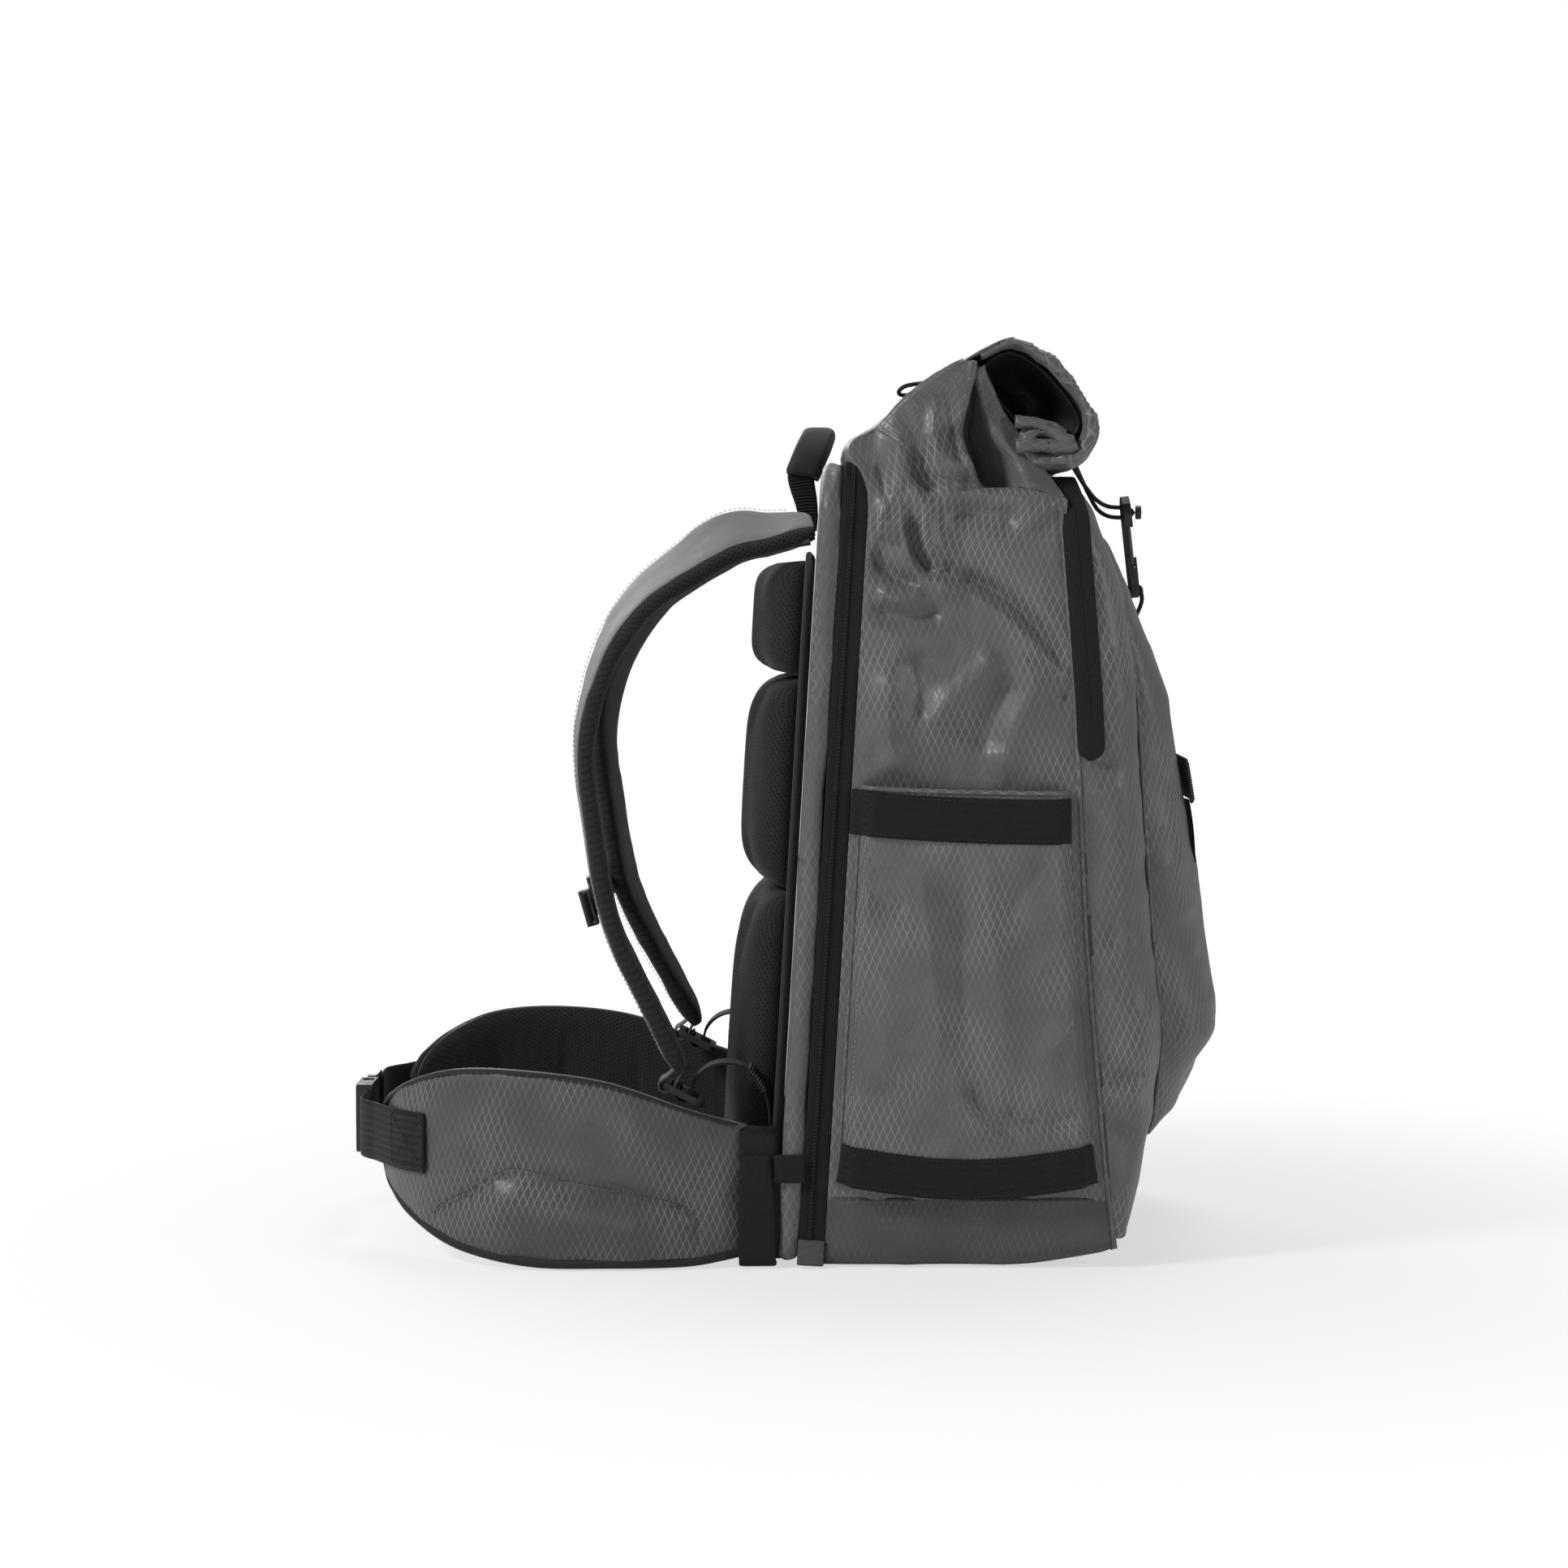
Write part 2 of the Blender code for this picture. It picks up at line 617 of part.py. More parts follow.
def make_pocket_bands(root, sign):
    """Two webbing bands sewn across each side pocket."""
    face = BODY_WIDTH / 2 + 2 * GAP + SIDE_POCKET_DEPTH
    y = sign * (face + WEBBING_THICKNESS / 2)
    bands = (("upper", SIDE_POCKET_TOP - BAND_DROP - BAND_HEIGHT / 2, BAND_HEIGHT),
             ("lower", BOOT_HEIGHT + BAND_DROP + LOW_BAND_HEIGHT / 2, LOW_BAND_HEIGHT))
    for level, z, height in bands:
        start = rim_x(z) + SIDE_POCKET_INSET
        end = seam_x(z) - SIDE_POCKET_INSET
        path = [Vector((start, y, z)), Vector(((start + end) / 2, y, z)), Vector((end, y, z))]
        bm = ribbon(path, Vector((0, 0, 1)), height, WEBBING_THICKNESS)
        finish(f"pocket_band_{level}_{side_name(sign)}", bm, BLACK_WEBBING, root)


# Neck and roll
def make_neck(root):
    """The gathered neck: back and front sheets that lean together, side gussets folded inwards."""
    half = BODY_WIDTH / 2
    slope = (RIM_HEIGHT - SHOULDER_HEIGHT) / (seam_x(SHOULDER_HEIGHT) - rim_x(RIM_HEIGHT))
    back_foot = (rim_x(RIM_HEIGHT) - BODY_TAPE_WIDTH, RIM_HEIGHT + BODY_TAPE_WIDTH * slope + GAP)
    front_foot = (seam_x(SHOULDER_HEIGHT), SHOULDER_HEIGHT + GAP)
    rings = []
    for back_share, front_share, pinch in zip(BACK_SHEET_SHARES, FRONT_SHEET_SHARES, PINCH_SHARES):
        bx = back_foot[0] + (NECK_BACK_X - back_foot[0]) * back_share[0]
        bz = back_foot[1] + (NECK_TOP - back_foot[1]) * back_share[1]
        fx = front_foot[0] + (NECK_FRONT_X - front_foot[0]) * front_share[0]
        fz = front_foot[1] + (NECK_TOP - front_foot[1]) * front_share[1]
        sag = NECK_SAG * pinch
        inner = half - NECK_PINCH * pinch
        middle = ((bx + fx) / 2, (bz + fz) / 2)
        rings.append([
            Vector((bx, -half, bz)), Vector((middle[0], -inner, middle[1])), Vector((fx, -half, fz)),
            Vector((fx, 0, fz - sag)), Vector((fx, half, fz)), Vector((middle[0], inner, middle[1])),
            Vector((bx, half, bz)), Vector((bx, 0, bz - sag))])
    finish("neck_sleeve", loft(rings), RIPSTOP, root)


def roll_place(shares):
    """A point of the roll's outer face, in its middle."""
    return Vector((CREST_X + ROLL_REACH * shares[0], 0, CREST_HEIGHT + ROLL_FALL * shares[1]))


def make_roll(joint_empty):
    """The rolled mouth of the neck: a sheet that runs over the crest and folds back under itself."""
    reach, fall = ROLL_REACH, ROLL_FALL
    rows = [(CREST_X + reach * x, CREST_HEIGHT - ROLL_SKIN / 2 + fall * z, ROLL_SKIN + (ROLL_FOLD - ROLL_SKIN) * t)
            for x, z, t in ROLL_SHARES]
    curve = spline(rows, 2)
    path = [Vector((row[0], 0, row[1])) for row in curve]
    outline_out, outline_in = [], []
    for (point, _, outward), row in zip(frames(path, Vector((0, 1, 0))), curve):
        outline_out.append(point + outward * row[2] / 2)
        outline_in.append(point - outward * row[2] / 2)
    outline = [(p.x, p.z) for p in outline_out + outline_in[::-1]]
    finish("roll_top", prism(outline, -ROLL_WIDTH / 2, ROLL_WIDTH / 2), RIPSTOP, joint_empty)


def make_back_cord(root):
    """The slack bight of closure cord that stands up behind the neck."""
    start = (NECK_BACK_X - CORD_INSET, NECK_TOP + CORD_RISE)
    rows = [(start[0] + BIGHT_LENGTH * x, BIGHT_GAUGE * y, start[1] + BIGHT_LENGTH * z) for x, y, z in BIGHT_SHARES]
    make_cord("back_cord_bight", rows, root)


def make_cord(name, points, parent):
    """A round cord on a smooth curve through its points."""
    home = world_place(parent)
    curve = bpy.data.curves.new(name, "CURVE")
    curve.dimensions = "3D"
    curve.bevel_depth = CORD / 2
    curve.bevel_resolution = 2
    curve.use_fill_caps = True
    line = curve.splines.new("POLY")
    smooth = spline(points, 3)
    line.points.add(len(smooth) - 1)
    for slot, point in zip(line.points, smooth):
        slot.co = (*(point - home), 1)
    curve.materials.append(material(name + "_finish", CORD_COVER))
    obj = bpy.data.objects.new(name, curve)
    bpy.context.collection.objects.link(obj)
    obj.parent = parent


# Cord hook
def hook_frame():
    """The hook's own frame: its lower bar lies on the cord loop, which lies on the pocket."""
    arm = HOOK_HEIGHT / 2 - HOOK_BAR / 2
    seat = pocket_x(HOOK_MIDDLE - arm * math.cos(HOOK_LEAN)) + CORD_SEAT + HOOK_THICKNESS / 2 + CORD / 2 + 4 * GAP
    return Matrix.Translation((seat + arm * math.sin(HOOK_LEAN), 0, HOOK_MIDDLE)) @ Matrix.Rotation(HOOK_LEAN, 4, "Y")


def turned(bm, matrix):
    bmesh.ops.transform(bm, matrix=matrix, verts=bm.verts)
    return bm


def pivot_place():
    """The gate's pivot in the hook's own frame, as (y, z)."""
    return (HOOK_BAR / 2 - HOOK_WIDTH / 2, -GATE_LENGTH / 2 + HOOK_BAR / 2)


def make_hook(roll_axis):
    """A flat ring with a gap for its gate; two cheeks below the gap hold the rivet."""
    frame = hook_frame()
    half_y, half_z, half_x = HOOK_WIDTH / 2, HOOK_HEIGHT / 2, HOOK_THICKNESS / 2
    outer = rounded_rectangle(half_y, half_z, half_y * 0.9, 5)
    inner = rounded_rectangle(half_y - HOOK_BAR, half_z - HOOK_BAR, (half_y - HOOK_BAR) * 0.9, 5)
    hook = finish("hook_body", turned(prism(outer, -half_x, half_x, "X"), frame), BLACK_PLASTIC, roll_axis)
    cut(hook, turned(prism(inner, -half_x - OVERRUN, half_x + OVERRUN, "X"), frame), "hook_eye")
    pivot_y, pivot_z = pivot_place()
    low, high = pivot_z + HOOK_BAR * 0.7, GATE_LENGTH / 2
    gap = box((-half_x - OVERRUN, -half_y - OVERRUN, low), (half_x + OVERRUN, HOOK_BAR * 1.2 - half_y, high))
    cut(hook, turned(gap, frame), "hook_gate_gap")
    slot_x = half_x - CHEEK
    slot = box((-slot_x, -half_y - OVERRUN, pivot_z - HOOK_BAR * 0.7), (slot_x, HOOK_BAR * 1.2 - half_y, high))
    cut(hook, turned(slot, frame), "hook_fork")
    hole = cylinder((0, pivot_y, pivot_z), RIVET / 2 + GAP, HOOK_THICKNESS + OVERRUN, "X")
    cut(hook, turned(hole, frame), "hook_rivet_hole")
    rivet = cylinder((0, pivot_y, pivot_z), RIVET / 2, HOOK_THICKNESS, "X")
    finish("hook_rivet", turned(rivet, frame), METAL, roll_axis)


def make_gate(gate_axis):
    """The sprung bar that closes the hook's gap, round at its pivot."""
    frame = hook_frame()
    pivot_y, pivot_z = pivot_place()
    half = HOOK_BAR / 2 - GAP
    half_x = HOOK_THICKNESS / 2 - CHEEK - GAP
    top = GATE_LENGTH / 2 - PLAY
    outline = arc((pivot_y, pivot_z), half, math.pi, math.tau, 8) + [(pivot_y + half, top), (pivot_y - half, top)]
    gate = finish("hook_gate", turned(prism(outline, -half_x, half_x, "X"), frame), METAL, gate_axis)
    hole = cylinder((0, pivot_y, pivot_z), RIVET / 2 + GAP, HOOK_THICKNESS, "X")
    cut(gate, turned(hole, frame), "hook_gate_hole")


def make_closure_cord(roll_axis):
    """Two strands from the roll through the hook's eye, with the bead that stops them."""
    top = hook_frame() @ Vector((0, 0, HOOK_HEIGHT / 2 - HOOK_BAR - CORD / 2 - 2 * GAP))
    reach = HOOK_THICKNESS / 2 + GAP + CORD / 2
    turn = Vector((top.x + reach + CORD * 0.3, 0, top.z - STRAND_GAP / 2))
    start = roll_place(STRAND_ROOT_SHARES)
    run = Vector((top.x - reach, 0, top.z)) - start
    upper = [start + Vector((run.x * x, -STRAND_GAP / 2 * y, run.z * z)) for x, y, z in STRAND_SHARES]
    lower = [Vector((p.x + STRAND_OFFSET * (1 - i / len(upper)), -p.y, p.z - STRAND_GAP * min(1, i / 2)))
             for i, p in enumerate(upper)]
    make_cord("closure_cord", upper + [top, turn, top - Vector((0, 0, STRAND_GAP))] + lower[::-1], roll_axis)
    low_x = turn.x + CORD / 2 + GAP
    bead = cylinder((low_x + BEAD_THICKNESS / 2, 0, turn.z), BEAD_RADIUS, BEAD_THICKNESS, "X")
    finish("cord_bead", bead, BLACK_PLASTIC, roll_axis)


def make_hook_loop(root):
    """The cord loop on the pocket's face; it passes through the hook's eye, round its lower bar."""
    frame = hook_frame()
    bar = HOOK_BAR / 2 - HOOK_HEIGHT / 2
    away = HOOK_THICKNESS / 2 + CORD / 2 + GAP * 2
    low = (frame @ Vector((0, 0, bar))).z
    foot = low - HOOK_BAR - HOOK_LOOP_HEIGHT
    rows = [Vector((pocket_x(z) + CORD_SEAT, 0, z)) for z in (foot, low - HOOK_BAR, low)]
    rows += [frame @ Vector((away * x, 0, bar + away * z)) for x, z in HOOK_LOOP_SHARES]
    rows.append(Vector((pocket_x(foot - CORD) + CORD_SEAT + CORD / 2, 0, foot - CORD)))
    make_cord("hook_loop", rows, root)


# Back door, in the leaning plane: u behind the rim, y across, w up the back
def door_outline(half, foot, top, corner):
    """A door shape: square at its foot, round at its upper corners."""
    left = arc((corner - half, top - corner), corner, math.pi, math.pi / 2, 6)
    return [(-half, foot)] + left + [(-y, w) for y, w in reversed(left)] + [(half, foot)]


def door_band(low, high, foot, top):
    """A zip band round the sides and top of the door, open at its foot."""
    half = BODY_WIDTH / 2
    outer = door_outline(half, foot, top, DOOR_CORNER)
    inner = door_outline(half - TAPE_THICKNESS, foot, top - TAPE_THICKNESS, DOOR_CORNER - TAPE_THICKNESS)
    return prism(outer + inner[::-1], low, high, "X")


TAPE_BACK = BODY_TAPE_WIDTH + GAP
PANEL_BACK = TAPE_BACK + DOOR_TAPE_WIDTH + GAP
HARNESS_BACK = PANEL_BACK + DOOR_THICKNESS + GAP
PAD_BACK = HARNESS_BACK + HARNESS_THICKNESS + GAP


def on_back(u, y, w):
    """World place of a point of the leaning back plane."""
    return Vector((BACK_FOOT + u * math.cos(LEAN) + w * math.sin(LEAN), y, w * math.cos(LEAN) - u * math.sin(LEAN)))


def back_x(depth, z):
    """World X, at a height, of the plane this far behind the rim."""
    return BACK_FOOT - depth / math.cos(LEAN) + z * math.tan(LEAN)


def finish_leaned(name, bm, look, plane, smooth=True):
    obj = finish(name, bm, look, plane, smooth=smooth, leaned=True)
    obj["leaned"] = True
    return obj


def make_body_tape(plane):
    finish_leaned("body_zip_tape", door_band(-BODY_TAPE_WIDTH, -GAP, 0, RIM_HEIGHT), ZIP_COIL, plane)


def make_door(plane):
    """The padded door: its zip tape, a panel with a pocket for the frame, the liner that shuts it."""
    finish_leaned("door_zip_tape", door_band(GAP - PANEL_BACK, -TAPE_BACK, DOOR_FOOT, DOOR_HEIGHT), ZIP_COIL, plane)
    half = BODY_WIDTH / 2
    panel_outline = door_outline(half, DOOR_FOOT, DOOR_HEIGHT, DOOR_CORNER)
    bm = prism(panel_outline, -PANEL_BACK - DOOR_THICKNESS, -PANEL_BACK, "X")
    panel = finish_leaned("door_panel", bm, RIPSTOP, plane, smooth=False)
    depth = SHEET_THICKNESS + STAY_THICKNESS + 3 * GAP
    inset = TAPE_THICKNESS + SHEET_MARGIN
    room = door_outline(half - inset, DOOR_FOOT + inset, DOOR_HEIGHT - inset, DOOR_CORNER - inset / 2)
    cut(panel, prism(room, -PANEL_BACK - depth, OVERRUN - PANEL_BACK, "X"), "door_frame_pocket")
    sheet_half = half - inset - GAP
    sheet_foot, sheet_top = DOOR_FOOT + inset + GAP, DOOR_HEIGHT - inset - GAP
    sheet_back = -PANEL_BACK - depth + GAP
    sheet = door_outline(sheet_half, sheet_foot, sheet_top, DOOR_CORNER - inset / 2)
    bm = prism(sheet, sheet_back, sheet_back + SHEET_THICKNESS, "X")
    finish_leaned("frame_sheet", bm, SHEET_PLASTIC, plane, smooth=False)
    stay_back = sheet_back + SHEET_THICKNESS + GAP
    for sign in (-1, 1):
        middle = sign * STAY_SPACING / 2
        low = (stay_back, middle - STAY_WIDTH / 2, sheet_foot + SHEET_MARGIN)
        high = (stay_back + STAY_THICKNESS, middle + STAY_WIDTH / 2, sheet_top - SHEET_MARGIN)
        finish_leaned("frame_stay_" + side_name(sign), box(low, high), METAL, plane, smooth=False)
    liner_half = half - TAPE_THICKNESS - GAP
    liner = door_outline(liner_half, DOOR_FOOT, DOOR_HEIGHT - TAPE_THICKNESS - GAP, DOOR_CORNER - TAPE_THICKNESS)
    bm = prism(liner, GAP - PANEL_BACK, GAP - PANEL_BACK + DOOR_WALL, "X")
    finish_leaned("door_liner", bm, SHEET_PLASTIC, plane, smooth=False)


def make_harness_panel(plane):
    half = HARNESS_WIDTH / 2
    outline = door_outline(half, HARNESS_FOOT, HARNESS_FOOT + HARNESS_HEIGHT, HARNESS_CORNER)
    bm = prism(outline, -HARNESS_BACK - HARNESS_THICKNESS, -HARNESS_BACK, "X")
    finish_leaned("harness_panel", bm, AIR_MESH, plane, smooth=False)


def make_pads(plane):
    """Three crowned mesh pads with an air channel down the middle."""
    low = HARNESS_FOOT + PAD_GAP
    room = HARNESS_HEIGHT - 2 * PAD_GAP
    for name, height_share in PAD_SHARES:
        height = room * height_share
        rings = []
        for share in PAD_RING_SHARES:
            crown = max(PAD_EDGE_SHARE, (1 - abs(2 * share - 1) ** 5) ** 0.5)
            half = PAD_WIDTH / 2 * (0.93 + 0.07 * crown)
            ring = []
            for step in range(PAD_STEPS + 1):
                across = 2 * step / PAD_STEPS - 1
                dome = max(PAD_EDGE_SHARE, (1 - abs(across) ** 5) ** 0.5)
                channel = PAD_CHANNEL_DEPTH * math.exp(-((across * half / PAD_CHANNEL_WIDTH * 2) ** 2))
                depth = PAD_DEPTH * crown * dome - channel * crown
                ring.append(Vector((-PAD_BACK - depth, across * half, low + height * share)))
            ring += [Vector((-PAD_BACK, half, low + height * share)), Vector((-PAD_BACK, -half, low + height * share))]
            rings.append(ring)
        finish_leaned(name, loft(rings), AIR_MESH, plane)
        low += height + PAD_GAP / 2


# Shoulder straps
def strap_rows():
    """Place, width and tilt along the left strap, from its root to its end."""
    root_x = back_x(HARNESS_BACK, STRAP_TOP) - STRAP_THICKNESS / 4
    rows = []
    for reach, drop, spread, width, tilt in STRAP_SHARES:
        rows.append((root_x - STRAP_REACH * reach, -STRAP_ROOT - STRAP_SPREAD * spread, STRAP_TOP - STRAP_DROP * drop,
                     STRAP_WIDTH * width, STRAP_TILT * tilt))
    return spline(rows, 2)


def strap_frames(sign):
    """A frame and width at each ring of a strap: place, across, outward, tangent, width."""
    rows = strap_rows()
    path = [Vector((row[0], -sign * row[1], row[2])) for row in rows]
    result = []
    for (point, across, outward), row in zip(frames(path, Vector((0, 1, 0))), rows):
        tangent = outward.cross(across)
        turn = Matrix.Rotation(sign * row[4], 3, tangent)
        result.append((point, turn @ across, turn @ outward, tangent, row[3]))
    return result


def make_strap(parent, sign):
    """A padded strap with the webbing loop that holds its ladder lock."""
    rings = []
    for point, across, outward, _, width in strap_frames(sign):
        section = slab(width / 2, STRAP_THICKNESS / 2, STRAP_THICKNESS / 3)
        rings.append([point + across * a + outward * b for a, b in section])
    strap = finish("shoulder_strap_" + side_name(sign), loft(rings), RIPSTOP, parent)
    end, _, outward, tangent, _ = strap_frames(sign)[-1]
    bar = lock_place(LOCK_BAR / 2)
    inside = end - tangent * STRAP_THICKNESS
    radius = LOCK_BAR + GAP
    slope = math.degrees(LOCK_SLOPE)
    turn = arc((bar.x, bar.z), radius, math.radians(100), math.radians(360 - slope), 10)
    pairs = [(inside.x - LOOP_SPREAD, inside.z)] + turn + [(inside.x + LOOP_SPREAD, inside.z)]
    path = flat_path(pairs, end.y)
    union(strap, ribbon(path, Vector((0, 1, 0)), WEBBING, WEBBING_THICKNESS), "strap_loop_" + side_name(sign))


def lock_place(along):
    """A point of the left ladder lock's middle line, so far from its upper end."""
    end = strap_rows()[-1]
    return Vector((end[0] - LOCK_OFFSET + along * math.cos(LOCK_SLOPE), 0, end[2] - LOCK_HANG - along * math.sin(LOCK_SLOPE)))


def make_ladder_lock(parent, sign):
    """A frame with three bars, threaded on the strap's loop and on the lower webbing."""
    end = strap_rows()[-1]
    y = sign * abs(end[1])
    frame = Matrix.Translation((lock_place(0).x, y, lock_place(0).z)) @ Matrix.Rotation(LOCK_SLOPE, 4, "Y")
    half_y, half_z = LOCK_WIDTH / 2, LOCK_THICKNESS / 2
    outline = [(x + LOCK_LENGTH / 2, a) for x, a in rounded_rectangle(LOCK_LENGTH / 2, half_y, LOCK_BAR, 3)]
    name = "ladder_lock_" + side_name(sign)
    lock = finish(name, turned(prism(outline, -half_z, half_z, "Z"), frame), BLACK_PLASTIC, parent)
    slot_half = WEBBING / 2 + PLAY
    middle = lock_middle()
    for number, (low, high) in enumerate(((LOCK_BAR, middle - LOCK_BAR / 2), (middle + LOCK_BAR / 2, LOCK_LENGTH - LOCK_BAR))):
        slot = box((low, -slot_half, -half_z - OVERRUN), (high, slot_half, half_z + OVERRUN))
        cut(lock, turned(slot, frame), f"{name}_slot_{number}")


def lock_middle():
    return LOCK_LENGTH / 2


def lower_webbing_path(y):
    """From its tail round the lock's middle bar, up in an arc and down to the harness."""
    bar = lock_place(lock_middle())
    slope = math.degrees(LOCK_SLOPE)
    radius = LOCK_BAR + GAP
    turn = arc((bar.x, bar.z), radius, math.radians(180 - slope), math.radians(360 - slope), 6)
    tail = (turn[0][0] + TAIL_LENGTH * math.sin(LOCK_SLOPE), turn[0][1] + TAIL_LENGTH * math.cos(LOCK_SLOPE))
    anchor_x = back_x(PAD_BACK + WEBBING_THICKNESS / 2, ANCHOR_HEIGHT)
    run_x, rise = anchor_x - turn[-1][0], LOWER_WEBBING_RISE
    rows = [(turn[-1][0] + run_x * x, y, turn[-1][1] + rise * z) for x, z in LOWER_WEBBING_SHARES]
    rows.append((anchor_x, y, ANCHOR_HEIGHT))
    return flat_path([tail] + turn[:-1], y) + [row for row in spline(rows, 3)]


def make_lower_webbing(parent, sign):
    """The adjusting webbing below each strap, with its elastic keeper."""
    y = sign * abs(strap_rows()[-1][1])
    path = lower_webbing_path(y)
    side = Vector((0, 1, 0))
    name = "lower_webbing_" + side_name(sign)
    webbing = finish(name, ribbon(path, side, WEBBING, WEBBING_THICKNESS), BLACK_WEBBING, parent)
    start = len(path) - KEEPER_START
    held = path[start:start + KEEPER_SPAN]
    union(webbing, ribbon(held, side, WEBBING + 2 * KEEPER_WALL, WEBBING_THICKNESS + 2 * KEEPER_WALL), name + "_keeper")


def union(obj, bm, name):
    """Sews a second closed shape to an object."""
    cut(obj, bm, name)
    obj.modifiers[-1].operation = "UNION"


# Belt roots and hip belt
def make_belt_root(parent, sign):
    """The sewn block between the door and a belt wing, with the folded webbing on its outer face."""
    near = HARNESS_WIDTH / 2 + GAP
    far = WING_ROOT_Y + WING_THICKNESS / 2
    left = WING_ROOT_X + abs(wing_frames(sign)[0][1].x) * WING_THICKNESS / 2 + GAP
    low, high = WING_LOW + ROOT_LIFT, BELT_ROOT_HEIGHT
    outline = [(left, low), (back_x(HARNESS_BACK, low), low), (back_x(HARNESS_BACK, high), high), (left, high)]
    name = "belt_root_" + side_name(sign)
    root = finish(name, prism(outline, sign * near, sign * far), RIPSTOP, parent, smooth=False)
    face = sign * (far - GAP)
    outer = sign * (far + CORNER_LAYER)
    strip = [(left, WING_LOW), (left + CORNER_WEBBING, WING_LOW), (left + CORNER_WEBBING, CORNER_HEIGHT), (left, CORNER_HEIGHT)]
    union(root, prism(strip, face, outer), name + "_webbing")


def wing_rows():
    """Plan place, foot and top along the left wing, from its root to its front end."""
    rows = []
    for reach, spread, foot, top in WING_SHARES:
        rows.append((WING_ROOT_X - WING_REACH * reach, -WING_ROOT_Y - WING_BULGE * spread,
                     WING_LOW + WING_HEIGHT * foot, WING_LOW + WING_HEIGHT * top))
    return spline(rows, 2)


def wing_frames(sign):
    """Plan place, outward direction, foot and top at each ring of a wing."""
    rows = wing_rows()
    path = [Vector((row[0], -sign * row[1], 0)) for row in rows]
    side = Vector((0, 0, 1))
    return [
        (point, outward * -sign, row[2], row[3])
        for (point, _, outward), row in zip(frames(path, side), rows)
    ]


def make_wing(parent, sign):
    """A padded belt wing, thick in its middle and thin along its edges."""
    rings = []
    for point, outward, foot, top in wing_frames(sign):
        half = (top - foot) / 2
        section = slab(half, WING_THICKNESS / 2, WING_THICKNESS / 3)
        rings.append([point + Vector((0, 0, (foot + top) / 2 + a)) + outward * b for a, b in section])
    finish("belt_wing_" + side_name(sign), loft(rings), RIPSTOP, parent)


def make_belt_tab(parent, sign):
    """The belt webbing sewn on a wing's outer face and led round its end to the front."""
    stations = wing_frames(sign)[-TAB_STATIONS:]
    away = WING_THICKNESS / 2 + GAP + BELT_WEBBING_THICKNESS / 2
    path = [point + outward * away for point, outward, _, _ in stations]
    front_x = BELT_X + BELT_WEBBING_THICKNESS + GAP
    path.append(Vector((front_x, sign * (abs(path[-1].y) - TAB_TURN), 0)))
    path.append(Vector((front_x, sign * (BUCKLE_LENGTH + 2 * PLAY), 0)))
    path = [point + Vector((0, 0, BELT_HEIGHT)) for point in path]
    bm = ribbon(path, Vector((0, 0, 1)), BELT_WEBBING, BELT_WEBBING_THICKNESS)
    finish("belt_tab_" + side_name(sign), bm, BLACK_WEBBING, parent)


def buckle_frame(place, up):
    """A buckle's own frame: its pull runs along Y, its height along the given direction."""
    up = Vector(up).normalized()
    pull = Vector((0, 1, 0))
    out = pull.cross(up)
    return Matrix.Translation(place) @ Matrix((out, pull, up)).transposed().to_4x4()


def make_socket(name, parent, frame, webbing, length, thickness, wall):
    """The female half: a flat box with an open mouth, two side windows and a webbing slot."""
    half = webbing / 2 + 2 * wall
    outline = rounded_rectangle(half, length / 2, wall * 2, 3)
    shell = prism([(b - length / 2, a) for a, b in outline], -thickness / 2, thickness / 2, "X")
    socket = finish(name, turned(shell, frame), BLACK_PLASTIC, parent)
    room = box((wall - thickness / 2, 2 * wall + webbing * SLOT_SHARE - length, wall - half),
               (thickness / 2 - wall, OVERRUN, half - wall))
    cut(socket, turned(room, frame), name + "_room")
    window_low = -length * WINDOW_SHARE
    window = box((wall - thickness / 2, window_low, -half - OVERRUN),
                 (thickness / 2 - wall, window_low + length * WINDOW_SHARE / 2, half + OVERRUN))
    cut(socket, turned(window, frame), name + "_windows")
    slot = box((-thickness / 2 - OVERRUN, wall - length, -webbing / 2),
               (thickness / 2 + OVERRUN, wall - length + webbing * SLOT_SHARE, webbing / 2))
    cut(socket, turned(slot, frame), name + "_slot")


def make_plug(name, parent, frame, webbing, length, thickness, wall):
    """The male half: a base with a webbing slot, a middle guide and two sprung prongs."""
    half = webbing / 2 + 2 * wall
    inner = half - wall - PLAY
    reach = length * PRONG_SHARE
    base = webbing * SLOT_SHARE + 2 * wall
    side = []
    for along, across in PRONG_SHARES:
        side.append((-reach * along if along > 0 else PLAY, inner * across))
    outline = [(base, half), (base, -half), (PLAY, -half)] + [(y, -z) for y, z in side] + side[::-1] + [(PLAY, half)]
    depth = thickness / 2 - wall - PLAY
    plug = finish(name, turned(prism(outline, -depth, depth, "X"), frame), BLACK_PLASTIC, parent)
    slot = box((-thickness, wall, -webbing / 2), (thickness, wall + webbing * SLOT_SHARE, webbing / 2))
    cut(plug, turned(slot, frame), name + "_slot")


def make_straight_webbing(name, parent, start, end, up, width, thickness):
    path = [Vector(start), (Vector(start) + Vector(end)) / 2, Vector(end)]
    finish(name, ribbon(path, Vector(up), width, thickness), BLACK_WEBBING, parent)


